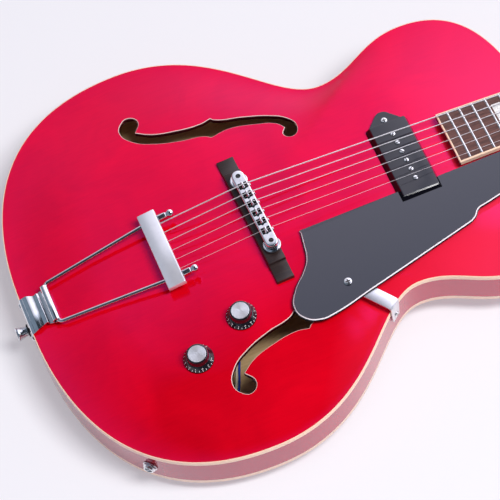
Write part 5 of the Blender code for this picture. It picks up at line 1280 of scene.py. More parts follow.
@dataclass
class Shell:
    """The carved top and back, the side with its linings, and the bindings."""

    binding: float = 0.0009
    binding_height: float = 0.0052
    thickness: float = 0.0052
    hole_round: float = 0.0006
    side: float = 0.0032
    lining: float = 0.0080
    lining_height: float = 0.0040
    lining_taper: float = 0.0040
    seam: float = 0.00003
    hole_steps: int = 7
    top_pitch: float = 0.0060
    pickup_opening: Point = (0.1452, 0.01665, 0.03965)
    pots: Sequence[Point] = ((-0.0493, -0.0855), (-0.0991, -0.1075))
    pot_hole: float = 0.0050
    brace: Sequence[Point] = ((-0.150, 0.055), (0.215, 0.066))
    brace_size: Point = (0.008, 0.012)

    def hole(self, side: int, inward: float = 0.0) -> list[tuple[float, float]]:
        """A sound hole's edge, anticlockwise; side is 1 for bass and -1 for treble."""
        outline = smooth_anchors([(kind, x, side * y) for kind, x, y in SOUND_HOLE], self.hole_steps)
        area = sum(x0 * y1 - x1 * y0 for (x0, y0), (x1, y1) in zip(outline, outline[1:] + outline[:1]))
        if area < 0.0:
            outline.reverse()
        return moved_in(outline, inward)

    def normals(self, height: Callable[[np.ndarray], np.ndarray], way: float) -> Callable[[np.ndarray], np.ndarray]:
        """The true normals of a carved face.

        Args:
            height: The face's height at some places.
            way: 1 for a face that looks up and -1 for one that looks down.

        Returns:
            A function from places to normals.
        """
        step = 0.0008

        def find(places: np.ndarray) -> np.ndarray:
            """The normals at some places."""
            plan = places[:, :2]
            slopes = [(height(plan + shift) - height(plan - shift)) / (2.0 * step)
                      for shift in (np.array([[step, 0.0]]), np.array([[0.0, step]]))]
            found = np.column_stack((-slopes[0], -slopes[1], np.ones(len(plan)))) * way
            return found / np.linalg.norm(found, axis=1)[:, None]

        return find

    def plate(self, heights: Callable[[np.ndarray], np.ndarray], inner: float,
              holes: Sequence[Sequence[Ring]], finish: Finish) -> Draft:
        """One carved plate.

        Args:
            heights: The outer face's height.
            inner: The inner face's shift.
            holes: For each hole its edge outside, on its wall and inside.
            finish: The outer face's finish.

        Returns:
            The closed plate with bare wood inside and in its plain openings; each sound hole has a pale painted
            highlight on its rounded lip over a near-black wall.
        """
        edge = BODY.inset(self.binding + self.seam)
        lift = lambda ring, shift: [(x, y, z + shift) for (x, y), z in zip(ring, heights(np.array(ring)))]
        outer = carved_face(edge, [rows[0] for rows in holes], heights, finish, self.top_pitch)
        under = carved_face(edge, [rows[-1] for rows in holes], lambda plan: heights(plan) + inner,
                            SPRUCE, self.top_pitch * 2.0)
        plate = outer.join(under, wall([lift(edge, 0.0), lift(edge, inner)], CREAM))
        for rows in holes:
            if len(rows) == 2:
                plate.join(wall([lift(rows[0], 0.0), lift(rows[1], inner)], SPRUCE))
                continue
            way = math.copysign(self.hole_round, inner)
            # the rounded lip gets the pale painted highlight, and the wall below it is drawn near-black
            plate.join(wall([lift(rows[0], 0.0), lift(rows[1], way * 0.35), lift(rows[2], way)], HOLE_LIP_HIGHLIGHT),
                       wall([lift(rows[2], way), lift(rows[3], inner)], DARK_HOLE_WALL))
        return plate

    def braces(self) -> Draft:
        """Two tone bars under the top."""
        made = Draft()
        for side in (1, -1):
            rings = []
            for share in np.linspace(0.0, 1.0, 13):
                x = self.brace[0][0] + (self.brace[1][0] - self.brace[0][0]) * share
                y = side * (self.brace[0][1] + (self.brace[1][1] - self.brace[0][1]) * share)
                top = BODY.top(x, y) - self.thickness
                depth = self.brace_size[1] * (0.35 + 0.65 * math.sin(math.pi * (0.08 + 0.84 * share)))
                ring = [(x, y + self.brace_size[0] / 2.0 * across, top - depth * down)
                        for across, down in ((-1.0, -0.03), (1.0, -0.03), (1.0, 0.6), (0.55, 0.94),
                                             (0.0, 1.0), (-0.55, 0.94), (-1.0, 0.6))]
                rings.append(ring)
            made.join(loft(rings, SPRUCE))
        return made

    def build_top(self) -> None:
        """The top with its sound holes and the openings for pickup and controls."""
        holes: list[Sequence[Ring]] = []
        for side in (1, -1):
            steps = ((-self.hole_round, -self.hole_round * 0.35, 0.0, 0.0))
            holes.append([self.hole(side, inward) for inward in steps])
        middle, half_x, half_y = self.pickup_opening
        opening = [(x + middle, y) for x, y in rounded_rectangle(half_x, half_y, 0.002, 3)]
        holes.append([opening, opening])
        for x, y in self.pots:
            ring = [(x + dx, y + dy) for dx, dy in polygon(self.pot_hole, 24)]
            holes.append([ring, ring])
        plate = self.plate(BODY.tops, -self.thickness, holes, CHERRY).join(self.braces())
        dress("carved_top", plate, "top_plate", normals=self.normals(BODY.tops, 1.0),
              carved=CHERRY)

    def build_back(self) -> None:
        """The carved back."""
        plate = self.plate(BODY.backs, self.thickness, [], CHERRY_SIDE)
        dress("carved_back", plate, "back_plate",
              normals=self.normals(BODY.backs, -1.0), carved=CHERRY_SIDE)

    def build_side(self) -> None:
        """The bent side with its four linings."""
        top = -self.binding_height - self.seam
        low = -BODY.depth + self.binding_height + self.seam
        drop, taper = self.lining_height, self.lining_taper
        profile = ((0.0, top), (self.lining, top), (self.lining, top - drop),
                   (self.side, top - drop - taper), (self.side, low + drop + taper),
                   (self.lining, low + drop), (self.lining, low), (0.0, low))
        finishes = (MAPLE,) * 7 + (CHERRY_SIDE,)
        columns = [[(x, y, z) for x, y in BODY.inset(inset)] for inset, z in profile]
        side = Draft()
        for index, finish in enumerate(finishes):
            side.join(wall([columns[index], columns[(index + 1) % len(columns)]], finish))
        jack = OutputJack()
        dovetail = loft([[(x, y, z) for x, y in ((0.250, -0.0156), (0.290, -0.0116), (0.290, 0.0116),
                                                 (0.250, 0.0156))] for z in (-0.0351, -0.0069)], MAPLE)
        bores = [tube([jack.matrix @ Vector((0.0, 0.0, z)) for z in (-0.020, 0.010)], jack.sleeve + 0.0003,
                      MAPLE, 32),
                 tube([(x, 0.0, -0.0200) for x in (-0.240, -0.200)], 0.0022, MAPLE, 16), dovetail]
        dress("bent_side", side.without(*bores), "rim")

    def build_bindings(self) -> None:
        """Cream strips round both edges, with a softly rounded corner."""
        soft = 0.0004
        for name, node, edge, way in (("top_edge_binding", "top_binding", 0.0, -1.0),
                                      ("back_edge_binding", "back_binding", -BODY.depth, 1.0)):
            profile = [(0.0, self.binding_height), (0.0, soft), (soft * 0.29, soft * 0.29), (soft, 0.0),
                       (self.binding, 0.0), (self.binding, self.binding_height)]
            columns = [[(x, y, edge + way * down) for x, y in BODY.inset(inset)] for inset, down in profile]
            strip = Draft()
            for index, column in enumerate(columns):
                strip.join(wall([column, columns[(index + 1) % len(columns)]], CREAM))
            dress(name, strip, node)

    def build(self) -> None:
        """Build every piece of the body's shell."""
        self.build_top()
        self.build_back()
        self.build_side()
        self.build_bindings()


def wall(rings: Sequence[Ring], finish: Finish) -> Draft:
    """An open skin between closed rings with the same number of corners."""
    count = len(rings[0])
    faces = []
    for row in range(len(rings) - 1):
        for index in range(count):
            after = (index + 1) % count
            faces.append((row * count + index, row * count + after,
                          (row + 1) * count + after, (row + 1) * count + index))
    return Draft().add([corner for ring in rings for corner in ring], faces, finish)


@dataclass
class OutputJack:
    """The jack in the treble side: a washer, a hexagonal nut and a threaded sleeve."""

    x: float = -0.1735
    z: float = -0.0210
    sleeve: float = 0.0047
    bore: float = 0.0033
    flange: float = 0.0068
    flange_height: float = 0.0022
    nose: float = 0.0024
    inside: float = 0.026
    can: float = 0.0068

    @property
    def matrix(self) -> Matrix:
        """The jack's frame, with Z out of the side."""
        at, out = BODY.treble_edge(self.x)
        return stand((at.x, at.y, self.z), out)

    def build(self) -> None:
        """Build the jack."""
        low = 0.0006
        washer = ring_lathe([(self.sleeve, low), (self.flange * 1.0, low), (self.flange, low + 0.0005),
                             (self.flange - 0.0002, low + 0.0007), (self.sleeve, low + 0.0007)], CHROME, 48)
        ring = polygon(self.flange * 0.985, 6, 0.2)
        hex_nut = loft([[(x, y, z) for x, y in ring] for z in (low + 0.0007, low + self.flange_height)],
                       CHROME).rounded(0.00035, 2)
        nose = low + self.flange_height + self.nose
        profile = [(0.0, -self.inside + 0.002), (self.bore, -self.inside + 0.002), (self.bore, nose - 0.0003),
                   (self.bore + 0.0004, nose), (self.sleeve - 0.0004, nose)]
        for step in range(7):
            z = nose - 0.0003 - step * 0.00035
            profile += [(self.sleeve, z), (self.sleeve - 0.00025, z - 0.00017)]
        profile += [(self.sleeve, low), (self.sleeve, -0.0041), (self.can, -0.0041),
                    (self.can, -self.inside), (0.0, -self.inside)]
        made = washer.join(hex_nut, lathe(profile, CHROME, 48))
        dress("output_socket", made.moved(self.matrix), "output_jack")


# The neck

@dataclass
class NeckWood:
    """Shaft, heel, tongue, dovetail and head in one piece of wood."""

    depth_nut: float = 0.0145
    depth_heel: float = 0.0185
    heel_length: float = 0.042
    heel_sweep: float = 2.6
    heel_above_back: float = 0.0015
    roundness: float = 0.85
    head_thickness: float = 0.0150
    head_corner: float = 0.05
    blend: float = 0.030
    head_widths: Sequence[Point] = (
        (0.0, 0.0213), (0.010, 0.0222), (0.020, 0.0262), (0.031, 0.0330), (0.042, 0.0362),
        (0.060, 0.0366), (0.110, 0.0366), (0.150, 0.0388), (0.160, 0.0400), (0.1665, 0.0392),
        (0.1705, 0.0330), (0.1740, 0.0240), (0.1765, 0.0140), (0.1785, 0.0050))
    tuner_first: float = 0.046
    tuner_pitch: float = 0.038
    post_y: float = 0.0245
    post_hole: float = 0.0045
    veneer: float = 0.0008

    def section(self, half: float, depth: float, roundness: float = 1.0, steps: int = 28) -> Ring:
        """A half-round slice below Z zero, from bass to treble; it squares up as roundness nears zero."""
        ring = []
        for index in range(steps + 1):
            angle = math.pi * index / steps
            share = math.cos(angle)
            reach = abs(share) ** (self.roundness * roundness) if abs(share) > 1e-9 else 0.0
            fall = math.sin(angle) ** roundness if 0 < index < steps else 0.0
            ring.append((0.0, math.copysign(half * reach, share), -depth * fall))
        return ring

    def build_shaft(self) -> Draft:
        """The shaft with its swept heel."""
        heel = BODY.head_end[0] + 0.0003
        full = NECK.underside(heel) + BODY.depth - self.heel_above_back
        rings = []
        stations = [(heel + self.heel_length * share,
                     self.depth_heel + (full - self.depth_heel) * (1.0 - share) ** self.heel_sweep)
                    for share in np.linspace(0.0, 1.0, 22)]
        plain = heel + self.heel_length
        stations += [(plain + (NECK.nut_x - plain) * share,
                      self.depth_heel + (self.depth_nut - self.depth_heel) * share)
                     for share in np.linspace(0.08, 1.0, 16)]
        for x, depth in stations:
            half = NECK.half(NECK.nut_x - x)
            top = NECK.underside(x)
            rings.append([(x, y, top + z) for _, y, z in self.section(half, depth)])
        return rings

    def head_rings(self) -> list[Ring]:
        """The head's slices, from the neck's round back to its flat one."""
        xs, halves = zip(*self.head_widths)
        fine = [*np.linspace(0.0, 0.060, 22), *np.linspace(0.070, 0.150, 9), *xs[8:]]
        rings = []
        for x in fine:
            half = float(np.interp(x, xs, halves))
            share = min(x / self.blend, 1.0)
            mix = share * share * (3.0 - 2.0 * share)
            depth = self.depth_nut + (self.head_thickness - self.depth_nut) * mix
            ring = self.section(half, depth, 1.0 + (self.head_corner - 1.0) * mix)
            rings.append([NECK.head_matrix @ Vector((x, y, z - self.veneer * mix)) for _, y, z in ring])
        return rings

    def build(self) -> None:
        """Build the neck and the head's veneer."""
        neck = loft(self.build_shaft() + self.head_rings(), CHERRY_SIDE)
        heel = BODY.head_end[0] + 0.0003
        rings = []
        for x in (NECK.nut_x - NECK.board_length + 0.0030, heel + 0.002):
            half = NECK.half(NECK.nut_x - x) - 0.0020
            low = BODY.top(min(x, BODY.head_end[0]), 0.0) + 0.0005
            high = NECK.underside(x)
            rings.append([(x, -half, low), (x, half, low), (x, half, high), (x, -half, high)])
        tongue = loft(rings, CHERRY_SIDE)
        tenon = loft([[(x, y, z) for x, y in ((0.2565, -0.015), (0.2848, -0.011), (0.2848, 0.011),
                                              (0.2565, 0.015))] for z in (-0.0345, -0.0075)], MAPLE)
        slot = box((-0.3246, -0.0029, -0.0104), (0.015, 0.0029, 0.002), MAPLE).moved(NECK.matrix)
        pocket = box((0.0062, -0.0040, -0.0115), (0.025, 0.0040, 0.002), MAPLE).moved(NECK.matrix)
        holes = []
        for side in (1, -1):
            for index in range(3):
                x = self.tuner_first + self.tuner_pitch * index
                hole = [NECK.head_matrix @ Vector((x, side * self.post_y, z)) for z in (-0.02, 0.004)]
                holes.append(tube(hole, self.post_hole, MAPLE, 24))
        body = neck.fused(tongue, tenon).without(slot, pocket, *holes)
        dress("neck_wood", body.join(self.face(holes + [pocket])), "neck", sharp=40.0)

    def face(self, holes: Sequence[Draft]) -> Draft:
        """The black veneer, under a millimetre deep, on the head's face."""
        xs, halves = zip(*self.head_widths)
        stations = [0.0200, *np.linspace(0.022, 0.060, 12), *np.linspace(0.070, 0.150, 9), *xs[8:]]
        half = [float(np.interp(x, xs, halves)) - 0.0001 for x in stations]
        outline = [(x, -y) for x, y in zip(stations, half)] + [(x, y) for x, y in zip(stations, half)][::-1]
        low, high = -self.veneer + 0.00002, 0.0
        sheet = loft([[NECK.head_matrix @ Vector((x, y, z)) for x, y in outline] for z in (low, high)], BLACK)
        return sheet.without(*holes)


@dataclass
class Fingerboard:
    """The bound board with its frets, inlays and side dots, and the nut."""

    binding: float = 0.0015
    end_strip: float = 0.0020
    fret_width: float = 0.0024
    inlays: Sequence[int] = (3, 5, 7, 9, 12, 15, 17)
    dots: Sequence[int] = (3, 5, 7, 9, 15, 17, 19)
    dot: float = 0.0011

    def crowned(self, x: float, half: float, low: float, high: float, steps: int = 18) -> Ring:
        """A slice with a flat foot and the board's crown."""
        ring = [(x, -half, low), (x, half, low)]
        for y in np.linspace(half, -half, steps + 1):
            ring.append((x, float(y), high - NECK.drop(float(y))))
        return ring

    def board(self) -> Draft:
        """The rosewood."""
        inset = self.binding + 0.00002
        rings = []
        for from_nut in np.linspace(NECK.board_length - inset, 0.0003, 24):
            half = NECK.half(from_nut) - inset
            rings.append(self.crowned(-from_nut, half, 0.0003, NECK.board_thickness))
        return loft(rings, ROSEWOOD)

    def edge(self) -> Draft:
        """The cream strip along both sides and round the board's end."""
        end = NECK.half(NECK.board_length)
        strip = self.binding
        outer = [(-x, -NECK.half(x)) for x in np.linspace(0.0003, NECK.board_length - 0.0012, 12)]
        outer += [(-NECK.board_length + 0.0012 * (1.0 - math.sin(angle)),
                   -end + 0.0012 * (1.0 - math.cos(angle))) for angle in np.linspace(0.2, math.pi / 2.0, 5)]
        outer += [(-NECK.board_length, y) for y in np.linspace(-end + 0.004, 0.0, 6)]
        outer += [(x, -y) for x, y in outer[-2::-1]]
        inner = []
        for x, y in outer:
            half = NECK.half(-x) - strip
            inner.append((max(x, -NECK.board_length + strip), max(-half, min(half, y))))
        rings = []
        for (outer_x, outer_y), (inner_x, inner_y) in zip(outer, inner):
            top = NECK.board_thickness - NECK.drop(outer_y)
            low = top - self.end_strip if outer_x < 0.0006 - NECK.board_length else 0.0003
            part = 0.25
            soft_x, soft_y = outer_x + (inner_x - outer_x) * part, outer_y + (inner_y - outer_y) * part
            rings.append([(outer_x, outer_y, low), (inner_x, inner_y, low),
                          (inner_x, inner_y, NECK.board_thickness - NECK.drop(inner_y)),
                          (soft_x, soft_y, NECK.board_thickness - NECK.drop(soft_y)),
                          (outer_x, outer_y, top - 0.0004)])
        under = NECK.board_thickness - self.end_strip - NECK.drop(end)
        filler = box((-NECK.board_length + 0.0001, -end + 0.0012, 0.0003),
                     (-NECK.board_length + strip, end - 0.0012, under), EBONISED)
        return loft(rings, CREAM).join(filler)

    def frets(self) -> Draft:
        """Twenty frets, each at its own place and as long as the board is wide there."""
        profile = [(0.0, -0.0015), (0.00025, -0.0015), (0.00025, -0.0001)] + [
            (self.fret_width / 2.0 * math.cos(angle), NECK.fret_height * math.sin(angle))
            for angle in np.linspace(0.0, math.pi, 9)] + [(-0.00025, -0.0001), (-0.00025, -0.0015)]
        stations = [(-1.0, 0.55), (-0.985, 0.92), (-0.97, 1.0), *[(y, 1.0) for y in np.linspace(-0.9, 0.9, 13)],
                    (0.97, 1.0), (0.985, 0.92), (1.0, 0.55)]
        blank = loft([[(x, y, z * rise if z > 0.0 else z) for x, z in profile] for y, rise in stations], FRET_WIRE)
        rule = Pattern("fret_rule")
        count = rule.size("Frets", NECK.frets)
        scale = rule.size("Scale length", NECK.scale)
        nut_width = rule.size("Width at nut", NECK.nut_width - 2.0 * self.binding)
        taper = rule.size("Taper", NECK.taper)
        height = rule.size("Board height", NECK.board_thickness)
        radius = rule.size("Crown radius", NECK.board_radius)
        distance = scale * (1.0 - 2.0 ** ((rule.index() + 1.0) * (-1.0 / 12.0)))
        half = (nut_width + taper * distance) * 0.5
        rows = rule.repeat(count, rule.vector(distance * -1.0, 0.0, height),
                           scale=rule.vector(1.0, 1.0, 1.0))
        real = rule.node("GeometryNodeRealizeInstances", None, {0: rows})
        where = rule.node("GeometryNodeInputPosition").outputs[0]
        along, across, up = (rule.part(where, index) for index in range(3))
        reach = across * ((nut_width - taper * along) * 0.5)
        drop = radius - (radius * radius - reach * reach).apply("SQRT")
        bent = rule.node("GeometryNodeSetPosition", None, {
            "Geometry": real.outputs[0], "Position": rule.vector(along, reach, up - drop)})
        return rule.grow(blank, bent.outputs[0], FRET_WIRE)

    def inlay_blocks(self) -> Draft:
        """Pearl blocks flush with the board."""
        made = Draft()
        for number in self.inlays:
            far, near = NECK.fret(number), NECK.fret(number - 1)
            inset = (far - near) * 0.20
            rings = []
            for from_nut in (far - inset, near + inset):
                half = NECK.half(from_nut) * 0.62
                rings.append(self.crowned(-from_nut, half, NECK.board_thickness - 0.0020,
                                          NECK.board_thickness + 0.00003, 8))
            made.join(loft(rings, PEARL))
        return made

    def side_dots(self) -> Draft:
        """Black dots in the binding on the player's side."""
        made = Draft()
        places = [(number, 0.0) for number in self.dots] + [(12, -0.0028), (12, 0.0028)]
        for number, shift in places:
            x = (NECK.fret(number) + NECK.fret(number - 1)) / 2.0 + shift
            y = NECK.half(x)
            z = NECK.board_thickness * 0.52
            made.join(tube([(-x, y - 0.0008, z), (-x, y + 0.00003, z)], self.dot, BLACK, 16))
        return made

    def nut(self) -> Draft:
        """The bone nut with a slot for each string."""
        half = NECK.nut_width / 2.0 - 0.0003
        high = NECK.board_thickness + NECK.fret_height + STRINGS.above_nut_line + 0.0004
        rings = []
        for x, z in ((0.00005, high), (0.0010, high + 0.0001), (0.0022, high), (0.0040, high - 0.0012),
                     (NECK.nut_length, high - 0.0024)):
            rings.append(self.crowned(x, half, 0.0003, z))
        body = loft(rings, BONE).rounded(0.0002, 2, 50.0)
        slots = []
        for index, radius in enumerate(STRINGS.radii):
            y = STRINGS.y(index, STRINGS.at_nut)
            z = NECK.board_thickness + NECK.fret_height + STRINGS.above_nut_line - NECK.drop(y) + radius
            run = [(-0.002, y, z + 0.00015), (0.0018, y, z), (0.0075, y * 1.02, z - 0.0026)]
            slots.append(tube(run, radius + 0.00005, BONE, 12))
            lift = [(x, y_at, z_at + 0.0008) for x, y_at, z_at in run]
            slots.append(tube(lift, radius + 0.00005, BONE, 12))
        return body.without(*slots)

    def build(self) -> None:
        """Build the board, its binding and the nut."""
        matrix = NECK.matrix
        board = self.board().join(self.inlay_blocks(), self.frets())
        dress("fretted_board", board.moved(matrix), "fingerboard")
        dress("board_edge", self.edge().join(self.side_dots()).moved(matrix), "fingerboard_binding")
        dress("bone_string_nut", self.nut().moved(matrix), "nut")


# The bridge

@dataclass
class Bridge:
    """Base, posts, thumbwheels, metal body and six saddles, turned a little about Z."""

    slant: float = math.radians(1.7)
    base_top: float = 0.0215
    base_length: float = 0.138
    base_width: float = 0.0165
    base_shift: Point = (-0.0020, -0.0010)
    step_y: float = 0.0515
    step_drop: float = 0.0032
    foot: float = 0.0042
    scoop: float = 0.0010
    post_spacing: float = 0.0742
    post: float = 0.0019
    post_depth: float = 0.0050
    wheel: float = 0.0082
    wheel_height: float = 0.0030
    wheel_gap: float = 0.0013
    seam: float = 0.0003
    running: float = 0.0004
    width: float = 0.0118
    height: float = 0.0070
    end: float = 0.0062
    channel: float = 0.0084
    floor: float = 0.0018
    saddle_width: float = 0.0062
    saddle_length: float = 0.0042
    head: Point = (0.0017, 0.0016)

    @property
    def turn(self) -> Matrix:
        """The bridge's own frame."""
        return Matrix.Rotation(self.slant, 4, "Z")

    @property
    def low(self) -> float:
        """The metal body's underside."""
        return self.base_top + self.wheel_gap + self.wheel_height + self.seam

    def base(self) -> Draft:
        """The wooden base, fitted to the arch, with its stepped and scooped ends."""
        half = self.base_length / 2.0
        low_x = self.base_shift[0] - self.base_width / 2.0
        high_x = self.base_shift[0] + self.base_width / 2.0
        step_z = self.base_top - self.step_drop
        foot_z = BODY.top(0.0, half) + self.foot
        line = [(y, self.base_top) for y in np.linspace(0.0, self.step_y - 0.0004, 12)]
        line += [(self.step_y - 0.0001, self.base_top - 0.0003), (self.step_y, step_z)]
        for mark in np.linspace(0.02, 1.0, 10):
            y = self.step_y + (half - self.step_y) * mark
            line.append((y, step_z + (foot_z - step_z) * mark - self.scoop * math.sin(math.pi * mark)))
        soft = 0.0006
        rings = []
        for from_middle, high in [(-y, z) for y, z in line[:0:-1]] + line:
            y = from_middle + self.base_shift[1]
            feet = [BODY.top(*(self.turn @ Vector((x, y, 0.0))).xy) + 0.00002
                    for x in np.linspace(low_x, high_x, 5)]
            ring = [(x, y, z) for x, z in zip(np.linspace(low_x, high_x, 5), feet)]
            ring += [(high_x, y, high - soft), (high_x - soft * 0.3, y, high - soft * 0.3),
                     (high_x - soft, y, high), (low_x + soft, y, high),
                     (low_x + soft * 0.3, y, high - soft * 0.3), (low_x, y, high - soft)]
            rings.append(ring)
        return loft(rings, EBONISED)

    def post_and_hole(self, side: int) -> tuple[Draft, Draft]:
        """A threaded post with its slot, and the hole that it needs."""
        at = Matrix.Translation((0.0, side * self.post_spacing / 2.0, 0.0))
        low, high = self.base_top - self.post_depth, self.low + self.height + self.seam
        crown = high - 0.0010
        profile = [(0.0, crown), (self.post - 0.0003, crown), (self.post, crown - 0.0003)]
        z = high - 0.0018
        while z > low + 0.001:
            profile += [(self.post, z), (self.post - 0.00018, z - 0.0002), (self.post, z - 0.0004)]
            z -= 0.00055
        profile += [(self.post, low), (0.0, low)]
        # the slot's cut walls take the dark painted-shade metal
        blade = box((-0.004, -0.0004, high - 0.0019), (0.004, 0.0004, high + 0.002), PAINTED_SHADE_METAL)
        spin = Matrix.Rotation(0.5 * side, 4, "Z")
        post = lathe(profile, DARK_STEEL, 28).without(blade.moved(spin))
        bore = self.post + self.running
        # the bore's cut walls take the dark painted-shade metal
        hole = lathe([(0.0, high + 0.003), (bore, high + 0.003), (bore, low - 0.0003), (0.0, low - 0.0003)],
                     PAINTED_SHADE_METAL, 32)
        return post.moved(at), hole.moved(at)

    def wheel_draft(self) -> Draft:
        """A thumbwheel with a knurled rim, drawn round its own axis."""
        radius = self.wheel - 0.0003
        low, high = -self.wheel_height / 2.0, self.wheel_height / 2.0
        bore = self.post + self.running
        ring = ring_lathe([(bore, low), (radius - 0.0005, low), (radius, low + 0.0004), (radius, high - 0.0004),
                           (radius - 0.0005, high), (bore + 0.0006, high), (bore, high - 0.0003)], CHROME, 60)
        wide = TURN * radius / 56.0 * 0.42
        blank = loft([[(0.0 - 0.0002, -wide, z), (0.0003, 0.0, z), (-0.0002, wide, z)]
                      for z in (low + 0.0005, high - 0.0005)], CHROME)
        rule = Pattern("knurl_rule")
        count = rule.size("Ridges", 56)
        reach = rule.size("Radius", radius)
        angle = rule.index() / count * TURN
        where = rule.vector(angle.apply("COSINE") * reach, angle.apply("SINE") * reach, 0.0)
        knurl = rule.grow(blank, rule.repeat(count, where, rule.vector(0.0, 0.0, angle)), CHROME)
        return ring.join(knurl)

    def body(self, holes: Sequence[Draft]) -> Draft:
        """The stadium-shaped metal body with its channel, and the saddles' screws."""
        low, high = self.low, self.low + self.height
        reach = self.post_spacing / 2.0 + self.end
        half = self.width / 2.0

        def stadium(inset: float, z: float) -> Ring:
            """One level of the body."""
            ring = []
            for side in (1, -1):
                for step in range(15):
                    angle = math.pi * step / 14.0 + (0.0 if side > 0 else math.pi)
                    ring.append(((half - inset) * math.cos(angle),
                                 side * (reach - half) + (half - inset) * math.sin(angle), z))
            return ring

        levels = [(0.0007, low), (0.0002, low + 0.0002), (0.0, low + 0.0007)]
        levels += [(0.0013 * (1.0 - math.cos(angle)), high - 0.0013 * (1.0 - math.sin(angle)))
                   for angle in np.linspace(0.0, math.pi / 2.0, 7)]
        metal = loft([stadium(inset, z) for inset, z in levels], CHROME)
        half_y = self.saddle_width / 2.0 + 0.0003
        # the saddle beds' cut walls and floors take the dark painted-shade metal
        beds = [box((-self.channel / 2.0, y - half_y, low + self.floor),
                    (self.channel / 2.0, y + half_y, high + 0.002), PAINTED_SHADE_METAL)
                for y in (STRINGS.y(index, STRINGS.at_bridge) for index in range(6))]
        metal = metal.without(*beds, *holes)
        for index in range(6):
            y = STRINGS.y(index, STRINGS.at_bridge)
            to_head = stand((half - 0.0001, y, self.screw_z), (1.0, 0.0, 0.0))
            shank = [(0.0, 0.0008)]
            for step in range(18):
                z = -step * (self.width - 0.0004) / 18.0
                shank += [(0.0010, z), (0.0008, z - 0.0003)]
            shank.append((0.0, -self.width + 0.0006))
            spin = Matrix.Rotation(0.35 + 1.7 * index, 4, "Z")
            screw = screw_head(self.head[0], self.head[1], 0.0005, NICKEL, flat=0.55).moved(spin)
            metal.join(screw.moved(to_head), lathe(shank, STEEL, 14).moved(to_head))
        return metal

    @property
    def screw_z(self) -> float:
        """The height of the saddles' screws."""
        return self.low + self.floor + (self.height - self.floor) * 0.46

    def saddle(self, index: int) -> Draft:
        """One saddle: a bored block whose ridge is notched for its string."""
        y = STRINGS.y(index, STRINGS.at_bridge)
        ridge = STRINGS.ridge(index) + STRINGS.radii[index] * 0.8
        chin = self.low + self.height - self.seam
        half, wide = self.saddle_length / 2.0, self.saddle_width / 2.0
        foot = self.low + self.floor + 0.0001
        profile = [(-half, foot), (half, foot), (half, chin), (0.0005, ridge), (-0.0005, ridge), (-half, chin)]
        block = loft([[(x, y_at, z) for x, z in profile] for y_at in (y - wide, y + wide)], CHROME)
        block = block.rounded(0.00025, 2)
        bore = tube([(-0.006, y, self.screw_z), (0.006, y, self.screw_z)], 0.0014, CHROME, 20)
        groove = tube([(-0.006, y, STRINGS.ridge(index) + STRINGS.radii[index] - 0.0012),
                       (0.0, y, STRINGS.ridge(index) + STRINGS.radii[index]),
                       (0.006, y, STRINGS.ridge(index) + STRINGS.radii[index] - 0.0004)],
                      STRINGS.radii[index] + 0.00004, CHROME, 16)
        raised = groove.moved(Matrix.Translation((0.0, 0.0, STRINGS.radii[index] * 1.2)))
        return block.without(bore, groove, raised)

    def build(self) -> None:
        """Build the whole bridge."""
        sides = {1: "bass", -1: "treble"}
        posts = {side: self.post_and_hole(side) for side in sides}
        holes = [hole for _, hole in posts.values()]
        dress("bridge_foot", self.base().without(*holes).moved(self.turn), "bridge_base")
        dress("bridge_metal", self.body(holes).moved(self.turn), "bridge_body")
        wheel = self.wheel_draft()
        wheel_z = self.base_top + self.wheel_gap + self.wheel_height / 2.0
        for side, name in sides.items():
            dress("bridge_screw_" + name, posts[side][0].moved(self.turn), "bridge_post_" + name)
            at = Matrix.Translation((0.0, side * self.post_spacing / 2.0, wheel_z))
            dress("knurled_wheel_" + name, wheel.moved(self.turn @ at), "thumbwheel_" + name)
        for index in range(6):
            name = "saddle_%d" % (6 - index)
            dress("string_" + name, self.saddle(index).moved(self.turn), name)


BRIDGE = Bridge()


# The tailpiece

